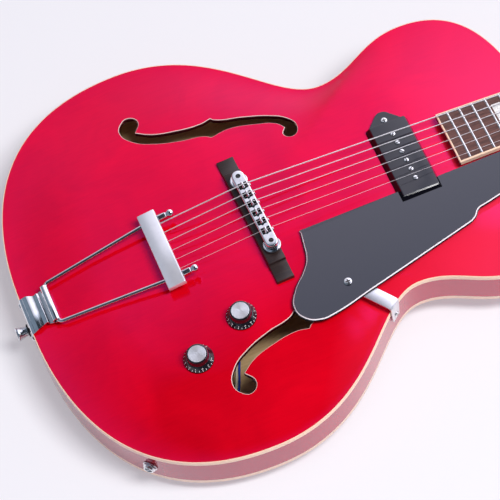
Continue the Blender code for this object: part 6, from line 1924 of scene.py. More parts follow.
@dataclass
class Tailpiece:
    """A hanger over the tail, the bent wire hinged in it, and the crossbar that holds the strings."""

    shift: float = 0.0013
    barrel: Point = (-0.2000, 0.0080)
    wire: float = 0.00175
    barrel_half: float = 0.0208
    bend: float = 0.0050
    bar_at: Point = (-0.0907, 0.0232)
    bar_size: Point = (0.017, 0.081, 0.0056)
    rod_half: float = 0.0312
    sleeve: Point = (0.0037, 0.0080)
    nut_shift: Point = (0.0009, 0.0004)
    nut_way: Point = (0.995, 0.0, 0.100)
    ball: float = 0.0036
    thickness: float = 0.0011
    leg: float = 0.036
    wave: Sequence[Point] = (
        (0.0, -0.0070, 0.0225), (0.0, -0.0012, 0.0194), (0.0008, 0.0012, 0.0192), (0.0030, 0.0024, 0.0189),
        (0.0036, 0.00255, 0.0188), (0.0072, 0.0046, 0.0182), (0.0130, 0.0045, 0.0160),
        (0.0163, 0.0064, 0.0158), (0.0171, 0.0060, 0.0162), (0.0180, 0.0042, 0.0170))
    eye: Point = (-0.0007, 0.0032)
    screw_at: Point = (0.0175, -0.0070)
    screw: float = 0.0030
    tail_face: float = -0.2248

    def rod_point(self, side: int, along: float) -> Vector:
        """A point of one slanting rod: zero at the barrel and one at the bar."""
        start = Vector((self.barrel[0], side * self.barrel_half, self.barrel[1]))
        end = Vector((self.bar_at[0], side * self.rod_half, self.bar_at[1]))
        return start + (end - start) * along + Vector((0.0, self.shift, 0.0))

    def way(self, side: int) -> Vector:
        """The rod's direction."""
        return (self.rod_point(side, 1.0) - self.rod_point(side, 0.0)).normalized()

    def wire_draft(self) -> Draft:
        """The bent wire with a hexagonal nut and a ball on each end."""
        half_run: list[Vector] = []
        past = self.bar_size[0] / 2.0 + self.sleeve[1] * 0.8
        straight = self.rod_point(1, 1.0) + self.way(1) * past
        corner = self.rod_point(1, 0.0)
        bend_end = corner + self.way(1) * self.bend
        half_run.append(straight)
        half_run += [straight.lerp(bend_end, share) for share in (0.3, 0.6, 1.0)]
        inner = Vector((self.barrel[0], corner.y - self.bend, self.barrel[1]))
        half_run += interpolate_bezier(bend_end, corner.lerp(bend_end, 0.42), corner.lerp(inner, 0.42),
                                       inner, 12)[1:]
        mirrored = [Vector((p.x, 2.0 * self.shift - p.y, p.z)) for p in half_run[::-1]]
        made = tube(half_run + mirrored, self.wire, CHROME, 20)
        for side in (1, -1):
            foot = self.rod_point(side, 1.0) + self.way(side) * (self.bar_size[0] / 2.0 + 0.0002)
            foot += Vector((0.0, -side * self.nut_shift[0], -self.nut_shift[1]))
            hexes = [[(x, y, z) for x, y in polygon(self.sleeve[0] - inset, 6, 0.3)]
                     for inset, z in ((0.0004, 0.0), (0.0, 0.0004), (0.0, self.sleeve[1] - 0.0008),
                                      (0.0006, self.sleeve[1]))]
            ball = [(0.0, self.sleeve[1] + 2.0 * self.ball)]
            ball += [(self.ball * math.sin(angle), self.sleeve[1] + self.ball * (1.0 + math.cos(angle)))
                     for angle in np.linspace(0.15, 2.35, 13)]
            ball += [(self.ball * 0.62, self.sleeve[1] - 0.0004), (0.0, self.sleeve[1] - 0.0004)]
            nut = loft(hexes, CHROME).rounded(0.0002, 1, 50.0).join(lathe(ball, CHROME, 32))
            made.join(nut.moved(stand(foot, self.nut_way)))
        return made

    @property
    def bar_matrix(self) -> Matrix:
        """The crossbar's frame."""
        rise = math.atan2(self.bar_at[1] - self.barrel[1], self.bar_at[0] - self.barrel[0])
        return Matrix.Translation((self.bar_at[0], self.shift, self.bar_at[1])) @ Matrix.Rotation(-rise, 4, "Y")

    def bar_draft(self) -> Draft:
        """The crossbar: thick sheet bent down at both long edges, bored for rods and strings."""
        half_x, half_y, half_z = (size / 2.0 for size in self.bar_size)
        section = [(-half_x, -half_z), (half_x, -half_z), (half_x, half_z - 0.0012),
                   (half_x - 0.0004, half_z - 0.0004), (half_x - 0.0014, half_z),
                   (-half_x + 0.0014, half_z), (-half_x + 0.0004, half_z - 0.0004), (-half_x, half_z - 0.0012)]
        bar = loft([[(x, y, z) for x, z in section] for y in (-half_y, half_y)], SATIN).rounded(0.0004, 2, 50.0)
        bores = []
        back = self.bar_matrix.inverted()
        for side in (1, -1):
            run = [back @ self.rod_point(side, share) for share in (0.85, 1.15)]
            bores.append(tube(run, self.wire + 0.0002, SATIN, 20))
        for index, radius in enumerate(STRINGS.radii):
            start, saddle = string_from_bar(index)
            run = [back @ (start + (start - saddle).normalized() * 0.017), back @ saddle]
            bores.append(tube(run, radius + 0.0005, SATIN, 12))
        return bar.without(*bores)

    def hanger_draft(self) -> Draft:
        """The plate over the tail: a leg down the side, a wave and a curl round the wire."""
        leg_x = self.tail_face - self.thickness / 2.0 - 0.0003
        middle, curl = self.barrel[0] + self.eye[0], self.eye[1]
        shape = [(leg_x, -self.leg, 0.013), (leg_x, -0.62 * self.leg, 0.018)]
        shape += [(leg_x + along, z, half) for along, z, half in self.wave]
        fine = smooth_route(shape, 6)
        for degrees in range(-100, 191, 15):
            angle = math.radians(degrees)
            fine.append(Vector((middle + curl * math.cos(angle), self.barrel[1] + curl * math.sin(angle), 0.0185)))
        rings = []
        for index, point in enumerate(fine):
            ahead, behind = fine[min(index + 1, len(fine) - 1)], fine[max(index - 1, 0)]
            along = Vector((ahead.x - behind.x, ahead.y - behind.y)).normalized()
            lift = Vector((-along.y, along.x)) * self.thickness / 2.0
            ring = []
            for across, level in ((-1, -1), (1, -1), (1, 1), (-1, 1)):
                wide = self.shift + across * point.z
                ring.append((point.x + lift.x * level, wide, point.y + lift.y * level))
            rings.append(ring)
        plate = loft(rings, CHROME).rounded(0.0003, 2, 50.0)
        # painted shade: a dark strip in the slot under the curl
        low, wide = self.barrel[1] - curl - self.thickness, self.wave[-1][2]
        plate.join(box((middle - 0.0070, self.shift - wide, low - 0.0002),
                       (middle - 0.0012, self.shift + wide, low + 0.0011), PAINTED_SHADE_METAL))
        outer = leg_x - self.thickness / 2.0
        for side in (-1, 1):
            head = screw_head(self.screw, 0.0014, 0.0006, CHROME, cross=True)
            at = (outer + 0.0001, self.shift + side * self.screw_at[0], self.screw_at[1])
            plate.join(head.moved(stand(at, (-1.0, 0.0, 0.0)) @ Matrix.Rotation(0.4 * side, 4, "Z")))
        return plate

    def build(self) -> None:
        """Build the hanger, the wire and the bar."""
        dress("tail_hanger", self.hanger_draft(), "tailpiece_hanger")
        dress("trapeze_wire", self.wire_draft(), "tailpiece_wire")
        dress("trapeze_crossbar", self.bar_draft().moved(self.bar_matrix), "tailpiece_bar")


TAIL = Tailpiece()
GUITAR_BODY, BRIDGE_BODY, TAIL_BODY = (NODE_BODIES[node] for node in ("top_plate", "bridge_body", "tailpiece_bar"))


def string_from_bar(index: int) -> tuple[Vector, Vector]:
    """Where a string starts in the crossbar, and its middle line over the saddle."""
    bridge = BRIDGE.turn @ Vector((0.0, STRINGS.y(index, STRINGS.at_bridge), 0.0))
    bridge.z = STRINGS.ridge(index) + STRINGS.radii[index]
    bar = Vector((TAIL.bar_at[0], STRINGS.y(index, STRINGS.at_tail) + TAIL.shift, TAIL.bar_at[1]))
    return bar - (bridge - bar).normalized() * (TAIL.bar_size[0] / 2.0 - 0.0020), bridge


@dataclass
class StringRuns:
    """Six strings from the crossbar, over saddle and nut, and round their posts."""

    turns: Sequence[float] = (2.2, 2.2, 2.6, 3.2, 3.6, 4.2)
    post: float = 0.0031

    def run(self, index: int) -> list[Vector]:
        """One string's whole line."""
        radius = STRINGS.radii[index]
        start, saddle = string_from_bar(index)
        nut_y = STRINGS.y(index, STRINGS.at_nut)
        nut_z = (NECK.board_thickness + NECK.fret_height + STRINGS.above_nut_line - NECK.drop(nut_y) + radius)
        nut = NECK.matrix @ Vector((0.0016, nut_y, nut_z))
        side = 1 if index < 3 else -1
        place = index if side > 0 else 5 - index
        wood = NeckWood()
        post = Vector((wood.tuner_first + wood.tuner_pitch * place, side * wood.post_y, 0.0))
        coil = self.post * 0.82 + radius
        line = [start, saddle.lerp(start, 0.012), saddle, saddle.lerp(nut, 0.002), nut.lerp(saddle, 0.003), nut]
        steps = int(20 * self.turns[index])
        top = STRINGS.wrap_height + 0.0006
        for step in range(steps + 1):
            angle = side * (TURN * self.turns[index] * step / steps - math.pi / 2.0)
            drop = min(step / 20.0, self.turns[index]) * radius * 2.05
            spot = post + Vector((coil * math.cos(angle), coil * math.sin(angle), top - drop))
            line.append(NECK.head_matrix @ spot)
        return line

    def build(self) -> None:
        """Build the six strings."""
        for index, radius in enumerate(STRINGS.radii):
            finish = WOUND_WIRE if index < STRINGS.wound else PLAIN_WIRE
            name = "string_%d" % (6 - index)
            line = self.run(index)
            bar, saddle, nut = line[0], line[2], line[5]
            middle = bar.lerp(saddle, 0.5)
            dress("guitar_" + name, tube(line[2:], radius, finish, 10), name,
                  bend=(BRIDGE_BODY, saddle, GUITAR_BODY, nut))
            dress(name + "_behind_saddle", tube([middle, saddle], radius, finish, 10), beside=name,
                  bend=(GUITAR_BODY, middle, BRIDGE_BODY, saddle))
            dress(name + "_at_bar", tube([bar, middle], radius, finish, 10), beside=name,
                  bend=(TAIL_BODY, bar, GUITAR_BODY, middle))


@dataclass
class StrapButton:
    """The flared button at the tail with its felt washer."""

    z: float = -0.0200
    length: float = 0.0120
    radius: float = 0.0068
    neck: float = 0.0045
    washer: float = 0.0060
    washer_height: float = 0.0014
    screw: float = 0.0020
    screw_length: float = 0.024
    foot_x: float = -0.2268

    def build(self) -> None:
        """Build the button."""
        body = [(0.0, self.length - 0.0005), (0.0016, self.length - 0.0004), (0.0030, self.length),
                (self.radius * 0.90, self.length), (self.radius, self.length - 0.0004),
                (self.radius, self.length - 0.0009)]
        cone = self.length - 0.0012 - self.washer_height
        for share in np.linspace(0.0, 1.0, 8):
            body.append((self.neck + (self.radius - 0.0003 - self.neck) * (1.0 - share) ** 1.15,
                         self.length - 0.0012 - share * cone))
        body.append((0.0, self.washer_height))
        felt = [(0.0, self.washer_height), (self.washer - 0.0003, self.washer_height),
                (self.washer, self.washer_height * 0.6), (self.washer, 0.0002), (self.washer - 0.0002, 0.0),
                (self.screw, 0.0), (self.screw, -self.screw_length), (0.0, -self.screw_length - 0.001)]
        made = lathe(body, CHROME, 48).join(lathe(felt, FELT, 32))
        made.join(screw_head(0.0026, 0.0011, 0.0006, CHROME, cross=True).moved(
            Matrix.Translation((0.0, 0.0, self.length - 0.0008))))
        dress("strap_knob", made.moved(stand((self.foot_x, 0.0, self.z), (-1.0, 0.0, 0.0))), "strap_button")


# Pickup, guard and controls

@dataclass
class Pickup:
    """The black hood with its two ears, and the coil with its poles inside."""

    x: float = 0.1452
    tilt: float = math.radians(2.6)
    size: Point = (0.0410, 0.0860, 0.0080)
    draft: float = 0.0030
    wall: float = 0.0018
    corner: float = 0.0030
    roll: float = 0.0006
    bevel: float = 0.4663
    ear_reach: float = 0.0561
    ear_tip: float = 0.0085
    ear_arc: float = math.radians(92.0)
    ear_inset: float = 0.0040
    ear_height: float = 0.0015
    ear_screw: Point = (0.0460, 0.0028)
    poles: float = 0.0102
    pole: float = 0.0022
    pole_proud: float = 0.0008
    coil: Point = (0.0300, 0.0720, 0.0130)

    @property
    def matrix(self) -> Matrix:
        """The pickup's frame, on the top."""
        lift = BODY.top(self.x, 0.0) + 0.0005
        return Matrix.Translation((self.x, 0.0, lift)) @ Matrix.Rotation(self.tilt, 4, "Y")

    def hood(self) -> Draft:
        """The hood, with a drafted wall and a rolled top edge."""
        half_x, half_y, height = self.size[0] / 2.0, self.size[1] / 2.0, self.size[2]
        levels = [(0.0, 0.0), (height - self.roll - 0.002, self.draft * 0.75),
                  (height - self.roll, self.draft)]
        levels += [(height - self.roll * (1.0 - math.sin(angle)),
                    self.draft + self.roll * (1.0 - math.cos(angle)))
                   for angle in np.linspace(0.0, math.pi / 2.0, 7)[1:]]
        rings = []
        for z, inset in levels:
            end = half_y - self.draft - max(z - height + self.roll, 0.0) / self.bevel
            end = end if z > height - self.roll - 0.0001 else half_y
            rings.append([(x, max(y, -end), z) for x, y in
                          rounded_rectangle(half_x - inset, half_y - inset, self.corner - inset * 0.5, 8)])
        count = len(rings[0])
        hood = wall(rings[:3], HOOD_WALL).join(wall(rings[2:], HOOD))
        hood.add(rings[-1], [range(count)], HOOD)
        hood.add(rings[0], [range(count)[::-1]], HOOD_WALL)
        inner = [[(x, y, z) for x, y in rounded_rectangle(half_x - self.wall - inset, half_y - self.wall - inset,
                                                         self.corner - 0.0015, 6)]
                 for z, inset in ((-0.002, 0.0), (height - self.wall, self.draft))]
        holes = [tube([(0.0, STRINGS.y(index, self.poles), z) for z in (-0.001, height + 0.002)],
                      self.pole + 0.0003, HOOD, 20) for index in range(6)]
        return hood.without(loft(inner, HOOD), *holes)

    def ear(self, side: int) -> Draft:
        """One pointed ear with its screw."""
        half_x = self.size[0] / 2.0 - 0.0003
        base = self.size[1] / 2.0 - self.ear_inset
        centre = self.ear_reach - self.ear_tip
        tip = []
        for angle in np.linspace(0.5, -0.5, 13):
            turn = math.pi / 2.0 + self.ear_arc * angle
            tip.append((self.ear_tip * math.cos(turn), centre + self.ear_tip * math.sin(turn)))
        plan = [(-half_x, base)] + tip + [(half_x, base)]
        plan = [(x * side, y * side) for x, y in plan]
        if side > 0:
            plan.reverse()
        soft = 0.0004
        levels = ((0.0, 0.0), (self.ear_height - soft, 0.0), (self.ear_height - soft * 0.3, soft * 0.3),
                  (self.ear_height, soft))
        rings = [[(x, y, z) for x, y in moved_in(plan, inset)] for z, inset in levels]
        at = Matrix.Translation((0.0, side * self.ear_screw[0], self.ear_height - 0.0001))
        screw = screw_head(self.ear_screw[1], 0.0011, 0.0009, NICKEL, cross=True, flat=0.7)
        return loft(rings, HOOD).join(screw.moved(at @ Matrix.Rotation(0.5 + side, 4, "Z")))

    def coil_draft(self) -> Draft:
        """The bobbin, its winding, the base plate and the six pole screws."""
        half_x, half_y, below = self.coil[0] / 2.0, self.coil[1] / 2.0, self.coil[2]
        roof = self.size[2] - self.wall - 0.0003
        made = box((-half_x, -half_y, roof - 0.0020), (half_x, half_y, roof), BLACK).rounded(0.0004)
        made.join(box((-half_x, -half_y, -below), (half_x, half_y, -below + 0.0020), BLACK).rounded(0.0004))
        winding = [[(x, y, z) for x, y in rounded_rectangle(half_x - 0.002, half_y - 0.002, 0.010, 6)]
                   for z in (-below + 0.0019, roof - 0.0019)]
        made.join(loft(winding, BRASS))
        made.join(box((-0.0153, -0.0389, -below - 0.0020), (0.0153, 0.0389, -below), STEEL).rounded(0.0003))
        for index in range(6):
            head = screw_head(self.pole, 0.0016, 0.0009, NICKEL, flat=0.8)
            spin = Matrix.Rotation(0.9 + 2.3 * index, 4, "Z")
            at = Matrix.Translation((0.0, STRINGS.y(index, self.poles), self.size[2] + self.pole_proud - 0.0016))
            made.join(head.moved(at @ spin))
            made.join(tube([(0.0, STRINGS.y(index, self.poles), z) for z in (-below - 0.004, self.size[2] - 0.0006)],
                           self.pole * 0.62, STEEL, 12))
        return made

    def build(self) -> None:
        """Build the hood and the coil."""
        cover = self.hood().fused(self.ear(1), self.ear(-1))
        dress("pickup_hood", cover.moved(self.matrix), "pickup_cover", sharp=20.0)
        dress("pickup_winding", self.coil_draft().moved(self.matrix), "pickup_coil")


@dataclass
class Pickguard:
    """The layered guard over the top, and the bracket that carries it."""

    level: Point = (0.145, -0.045, 0.0150)
    slope: Point = (-0.022, 0.020)
    thickness: float = 0.0017
    screw: Point = (0.0490, -0.0960)
    screw_radius: float = 0.0036
    strip: Point = (0.0130, 0.0014)
    leg: float = 0.0250
    bend_z: float = 0.0080
    end_x: float = 0.0778
    stand_off: float = 0.0008
    anchors: Sequence[tuple[str, float, float]] = (
        ("tip", 0.0294, -0.0305), ("smooth", 0.0270, -0.0455), ("smooth", 0.0238, -0.0590),
        ("smooth", 0.0170, -0.0690), ("smooth", 0.0025, -0.0840), ("smooth", -0.0050, -0.1000),
        ("smooth", 0.0000, -0.1140), ("smooth", 0.0140, -0.1213), ("smooth", 0.0265, -0.1208),
        ("smooth", 0.0655, -0.1118), ("tip", 0.1745, -0.0855), ("smooth", 0.1800, -0.0820),
        ("smooth", 0.1850, -0.0765), ("smooth", 0.1950, -0.0740), ("tip", 0.2430, -0.0640),
        ("smooth", 0.2360, -0.0460), ("tip", 0.2330, -0.0300), ("tip", 0.1646, -0.0302),
        ("tip", 0.1646, -0.0418), ("tip", 0.1258, -0.0418), ("tip", 0.1258, -0.0303))

    def z(self, x: float, y: float) -> float:
        """The height of the guard's upper face."""
        return self.level[2] + self.slope[0] * (x - self.level[0]) + self.slope[1] * (y - self.level[1])

    def is_square(self, x: float, y: float) -> bool:
        """Whether the edge is cut square at a place: along the strings and round the pickup."""
        return y > -0.0306 or (0.1240 < x < 0.1664 and y > -0.0440)

    def sheet(self) -> Draft:
        """Black, white and black layers that show along the bevelled edge."""
        outline = smooth_anchors(self.anchors, 7)
        levels = ((0.0, self.thickness, BLACK), (0.0008, 0.0010, WHITE_PLY), (0.0017, 0.0003, BLACK),
                  (0.0018, 0.0, GUARD))
        rings = []
        for inset, down, _ in levels:
            bevelled = moved_in(outline, inset)
            rings.append([(*(square if self.is_square(*square) else bevel), self.z(*square) - down)
                          for square, bevel in zip(outline, bevelled)])
        sheet = Draft()
        for index in range(3):
            sheet.join(wall(rings[index:index + 2], levels[index][2]))
        sheet.add(rings[-1], [range(len(outline))], GUARD)
        sheet.add(rings[0], [range(len(outline))[::-1]], BLACK)
        hole = tube([(self.screw[0], self.screw[1], z) for z in (0.005, 0.020)], 0.0019, BLACK, 20)
        return sheet.without(hole)

    def bracket(self) -> Draft:
        """The bent strip under the guard and down the side, with its two screws."""
        start = Vector((*self.screw, 0.0))
        at_rim, out = BODY.treble_edge(self.end_x)
        wide, thick = self.strip
        leg = at_rim + out * (self.stand_off + thick / 2.0)
        along = (leg - start).normalized()
        reach = (leg - start).length
        under = self.thickness + 0.0003 + thick / 2.0
        shape = []
        for distance in (-0.0060, 0.0, reach * 0.42):
            spot = start + along * distance
            shape.append(Vector((spot.x, spot.y, self.z(spot.x, spot.y) - under)))
        for back, drop in ((0.0030, 0.0), (0.0012, 0.0006), (0.0004, 0.0016), (0.0, 0.0036),
                           (0.0, self.leg * 0.4), (0.0, self.leg)):
            spot = start + along * (reach - back)
            shape.append(Vector((spot.x, spot.y, self.bend_z - drop)))
        across = Vector((-out.y, out.x, 0.0))
        half = across * (wide / 2.0 / along.dot(out))
        rings = []
        for index, point in enumerate(shape):
            before, after = shape[max(index - 1, 0)], shape[min(index + 1, len(shape) - 1)]
            lift = (after - before).normalized().cross(across).normalized() * (thick / 2.0)
            share = 0.86 if index in (0, len(shape) - 1) else 1.0
            rings.append([point - half * share - lift, point + half * share - lift,
                          point + half * share + lift, point - half * share + lift])
        made = loft(rings, BRUSHED).rounded(0.0003, 2, 50.0)
        head_z = self.z(*self.screw)
        head = screw_head(self.screw_radius, 0.0015, 0.0011, NICKEL, cross=True, flat=0.7)
        made.join(head.moved(Matrix.Translation((*self.screw, head_z + 0.00005))),
                  tube([(*self.screw, head_z - under), (*self.screw, head_z + 0.0004)], 0.0015, STEEL, 16))
        low = shape[-1].lerp(shape[-2], 0.45)
        side_screw = screw_head(0.0030, 0.0015, 0.0006, NICKEL, cross=True)
        return made.join(side_screw.moved(stand(low + out * (thick / 2.0), out)))

    def build(self) -> None:
        """Build the guard and its bracket."""
        dress("guard_sheet", self.sheet(), "pickguard")
        dress("guard_bracket", self.bracket(), "pickguard_bracket")


@dataclass
class Controls:
    """Volume and tone knobs with numbered skirts and spun metal caps."""

    places: Sequence[tuple[str, float, float]] = (("volume", -0.0493, -0.0855), ("tone", -0.0991, -0.1075))
    skirt: float = 0.0138
    skirt_edge: float = 0.0014
    skirt_top: float = 0.0104
    skirt_height: float = 0.0064
    grip: float = 0.0099
    top: float = 0.0092
    height: float = 0.0128
    low: float = 0.0006
    marks: int = 11
    sweep: float = math.radians(290.0)

    def on_skirt(self, x: float, up: float) -> Vector:
        """A point on the skirt's slope, from its place round the skirt in metres and up the slope."""
        share = min(max(up, 0.0), 1.0)
        radius = self.skirt - 0.0002 + (self.skirt_top - self.skirt) * share
        z = self.low + self.skirt_edge + (self.skirt_height - self.low - self.skirt_edge) * share
        angle = x / radius
        return Vector((radius * math.cos(angle), radius * math.sin(angle), z))

    def ticks(self) -> Draft:
        """White ticks round the skirt's edge."""
        wide, deep = 0.00022, 0.00006
        plan = ((0.03, -1.0), (0.03, 1.0), (0.30, 1.0), (0.30, -1.0))
        rings = [[self.on_skirt(side * wide, up) + Vector((lift * 0.5, 0.0, lift)) for up, side in plan]
                 for lift in (-deep, deep)]
        rule = Pattern("tick_rule")
        count = rule.size("Ticks", self.marks * 2 - 1)
        sweep = rule.size("Sweep", self.sweep)
        angle = rule.index() / (count - 1.0) * sweep
        return rule.grow(loft(rings, INK),
                         rule.repeat(count, rule.vector(), rule.vector(0.0, 0.0, angle)), INK)

    def numeral(self, text: str) -> Draft:
        """One number, bent on to the skirt's slope at angle zero."""
        curve = bpy.data.curves.new("numeral", "FONT")
        curve.body = text
        curve.size = 0.0034
        curve.align_x = "CENTER"
        curve.offset = 0.00006
        item = bpy.data.objects.new("numeral", curve)
        bpy.context.scene.collection.objects.link(item)
        graph = bpy.context.evaluated_depsgraph_get()
        mesh = bpy.data.meshes.new_from_object(item.evaluated_get(graph))
        slope = math.hypot(self.skirt - self.skirt_top, self.skirt_height - self.low - self.skirt_edge)
        faces = [tuple(face.vertices) for face in mesh.polygons]
        flat = [corner.co.copy() for corner in mesh.vertices]
        made = Draft()
        for lift in (0.00002, 0.00007):
            bent = [self.on_skirt(point.x, 0.42 + point.y / slope) + Vector((lift, 0.0, lift)) for point in flat]
            made.add(bent, faces if lift > 0.00005 else [face[::-1] for face in faces], INK)
        bpy.data.objects.remove(item, do_unlink=True)
        bpy.data.meshes.remove(mesh)
        return made

    def knob(self) -> Draft:
        """The knob, drawn round its own axis, with its pointer number at angle zero."""
        low = self.low
        profile = [(0.0, self.height - 0.0003), (self.top - 0.0011, self.height - 0.0003),
                   (self.top - 0.0009, self.height), (self.top - 0.0003, self.height),
                   (self.top + 0.0002, self.height - 0.0003), (self.grip - 0.0002, self.height - 0.0012),
                   (self.grip, self.height - 0.0022), (self.grip + 0.0001, self.skirt_height + 0.0016),
                   (self.grip + 0.0003, self.skirt_height + 0.0006), (self.skirt_top - 0.0002, self.skirt_height)]
        for share in np.linspace(0.1, 1.0, 6):
            profile.append((self.skirt_top + (self.skirt - 0.0002 - self.skirt_top) * share,
                            self.skirt_height + (low + self.skirt_edge - self.skirt_height) * share))
        profile += [(self.skirt, low + self.skirt_edge - 0.0004), (self.skirt, low + 0.0002),
                    (self.skirt - 0.0002, low), (0.0072, low), (0.0072, 0.0026), (0.0030, 0.0026),
                    (0.0030, -0.0075), (0.0, -0.0075)]
        made = lathe(profile, BLACK, 96)
        cap = [(0.0, self.height - 0.0004), (self.top - 0.0012, self.height - 0.0004)]
        disc = lathe([(0.0, self.height + 0.00005), (self.top - 0.0013, self.height + 0.00005),
                      (self.top - 0.0011, self.height - 0.0001), (self.top - 0.0011, cap[0][1]), (0.0, cap[0][1])],
                     SPUN, 64)
        made.join(disc, self.ticks())
        for mark in range(self.marks):
            turn = self.sweep * mark / (self.marks - 1)
            made.join(self.numeral(str(mark)).moved(Matrix.Rotation(turn, 4, "Z")))
        return made

    def build(self) -> None:
        """Build both knobs."""
        knob = self.knob()
        for (label, x, y), turn in zip(self.places, (2.1, 0.6)):
            dress(label + "_dial", knob.moved(BODY.tilt(x, y) @ Matrix.Rotation(turn, 4, "Z")), label + "_knob")


# The tuners and the wiring

@dataclass
class Tuners:
    """Two strips of three open tuners, with posts, gears, worms and oval buttons."""

    strip: Point = (0.0160, 0.0011)
    margin: float = 0.013
    post: float = 0.0031
    post_top: float = 0.0155
    gear: Point = (0.0065, 0.0030)
    gear_screw: Point = (0.0022, 0.0012)
    worm: Point = (0.0030, 0.0046)
    shaft: float = 0.0018
    ear: Point = (0.0012, 0.0034)
    button_y: float = 0.0560
    button: Point = (0.0095, 0.0078, 0.0042)
    seam: float = 0.0003
    teeth: int = 14

    @property
    def plate_top(self) -> float:
        """The strips' upper face, against the head's back."""
        return -NeckWood().head_thickness - self.seam

    @property
    def gear_mid(self) -> float:
        """The gears' middle height."""
        return self.plate_top - self.strip[1] - self.seam - self.worm[0]

    @property
    def worm_x(self) -> float:
        """How far the worm lies from its post."""
        return self.gear[0] + self.worm[0] + self.seam

    def post_draft(self) -> Draft:
        """A post with its waist and string hole, and the toothed gear with its screw."""
        wrap = STRINGS.wrap_height
        waist = self.post * 0.82
        top = self.gear_mid + self.gear[1] / 2.0
        low = self.gear_mid - self.gear[1] / 2.0
        profile = [(0.0, self.post_top), (self.post * 0.7, self.post_top), (self.post * 0.9, self.post_top - 0.0004),
                   (self.post, self.post_top - 0.0012), (self.post, wrap + 0.0030), (waist, wrap + 0.0014),
                   (waist, wrap - 0.0030), (self.post, wrap - 0.0042), (self.post, -0.0005),
                   (self.post, low), (0.0, low)]
        hole = tube([(0.0, -0.006, wrap + 0.0022), (0.0, 0.006, wrap + 0.0022)], 0.0009, CHROME, 14)
        made = lathe(profile, CHROME, 32).without(hole)
        root = self.gear[0] - 0.0010
        made.join(ring_lathe([(self.post - 0.0001, low), (root, low), (root, top), (self.post - 0.0001, top)],
                             BRASS, 56))
        tip, wide = 0.0010, TURN * root / self.teeth * 0.28
        blank = loft([[(root - 0.0002, -wide, z), (root + tip, -wide * 0.5, z), (root + tip, wide * 0.5, z),
                       (root - 0.0002, wide, z)] for z in (low, top)], BRASS)
        rule = Pattern("gear_rule")
        count = rule.size("Teeth", self.teeth)
        angle = rule.index() / count * TURN
        made.join(rule.grow(blank, rule.repeat(count, rule.vector(), rule.vector(0.0, 0.0, angle)), BRASS))
        head = screw_head(self.gear_screw[0], self.gear_screw[1], 0.0005, STEEL)
        return made.join(head.moved(Matrix.Translation((0.0, 0.0, low)) @ Matrix.Rotation(math.pi, 4, "X")))

    def button_draft(self) -> Draft:
        """The worm with its shaft and button, drawn along Z with the button at the top."""
        radius, half = self.worm
        reach = half + self.seam + self.ear[0] + self.seam
        wood = NeckWood()
        middle = self.button_y - wood.post_y
        profile = [(0.0, middle), (self.shaft, middle), (self.shaft, half), (radius * 0.7, half),
                   (radius * 0.7, -half), (self.shaft, -half), (self.shaft, -reach), (0.0, -reach)]
        made = lathe(profile, CHROME, 24)
        thread = []
        for step in range(73):
            angle = TURN * step / 18.0
            thread.append((radius * 0.80 * math.cos(angle), radius * 0.80 * math.sin(angle),
                           -half + 0.0007 + (2.0 * half - 0.0014) * step / 72.0))
        made.join(tube(thread, radius * 0.2, CHROME, 8))
        collar = [(0.0, middle - self.button[1] + 0.0006), (0.0026, middle - self.button[1] + 0.0006),
                  (0.0026, middle - self.button[1] - 0.0008), (self.shaft, middle - self.button[1] - 0.0022),
                  (0.0, middle - self.button[1] - 0.0022)]
        made.join(lathe(collar, CHROME, 24))
        along, out, thick = self.button
        rings = []
        for angle in np.linspace(-math.pi / 2.0, math.pi / 2.0, 17):
            rise, wide = math.sin(angle), max(math.cos(angle), 0.02)
            ring = [(along * wide * math.copysign(abs(math.cos(turn)) ** 0.85, math.cos(turn)),
                     thick * wide ** 0.7 * math.copysign(abs(math.sin(turn)) ** 0.85, math.sin(turn)),
                     middle + out * rise) for turn in np.linspace(0.0, TURN, 33)[:-1]]
            rings.append(ring)
        return made.join(loft(rings, CREAM))

    def strip_draft(self, side: int) -> Draft:
        """One strip with its ears and screws."""
        wood = NeckWood()
        low, high = self.plate_top - self.strip[1], self.plate_top
        middle = side * wood.post_y
        first = wood.tuner_first - self.margin - self.worm_x / 2.0
        last = wood.tuner_first + 2.0 * wood.tuner_pitch + self.margin
        outline = [(x + (first + last) / 2.0, y + middle) for x, y in
                   rounded_rectangle((last - first) / 2.0, self.strip[0] / 2.0, 0.004, 8)]
        made = loft([[(x, y, z) for x, y in outline] for z in (low, high)], NICKEL).rounded(0.0002, 1)
        ear_y = self.worm[1] + self.seam + self.ear[0] / 2.0
        cuts = []
        for index in range(3):
            x = wood.tuner_first + wood.tuner_pitch * index
            for way in (-1, 1):
                at = middle + way * ear_y
                tab = box((x - self.worm_x - self.ear[1], at - self.ear[0] / 2.0, self.gear_mid - self.worm[0]),
                          (x - self.worm_x + self.ear[1], at + self.ear[0] / 2.0, low + 0.0003), NICKEL)
                made.join(tab.rounded(0.0004, 2))
            cuts.append(tube([(x - self.worm_x, middle + way * (ear_y + 0.002), self.gear_mid)
                              for way in (-1, 1)], self.shaft + 0.0002, NICKEL, 16))
            cuts.append(tube([(x, middle, z) for z in (low - 0.001, high + 0.001)], self.post + 0.0002, NICKEL, 20))
        made = made.without(*cuts)
        spots = [first + 0.0045, last - 0.0045] + [wood.tuner_first + wood.tuner_pitch * (index + 0.42)
                                                   for index in range(2)]
        for x in spots:
            head = screw_head(0.0021, 0.0009, 0.0005, NICKEL)
            flip = Matrix.Translation((x, middle, low)) @ Matrix.Rotation(math.pi, 4, "X")
            made.join(head.moved(flip @ Matrix.Rotation(x * 90.0, 4, "Z")))
        return made

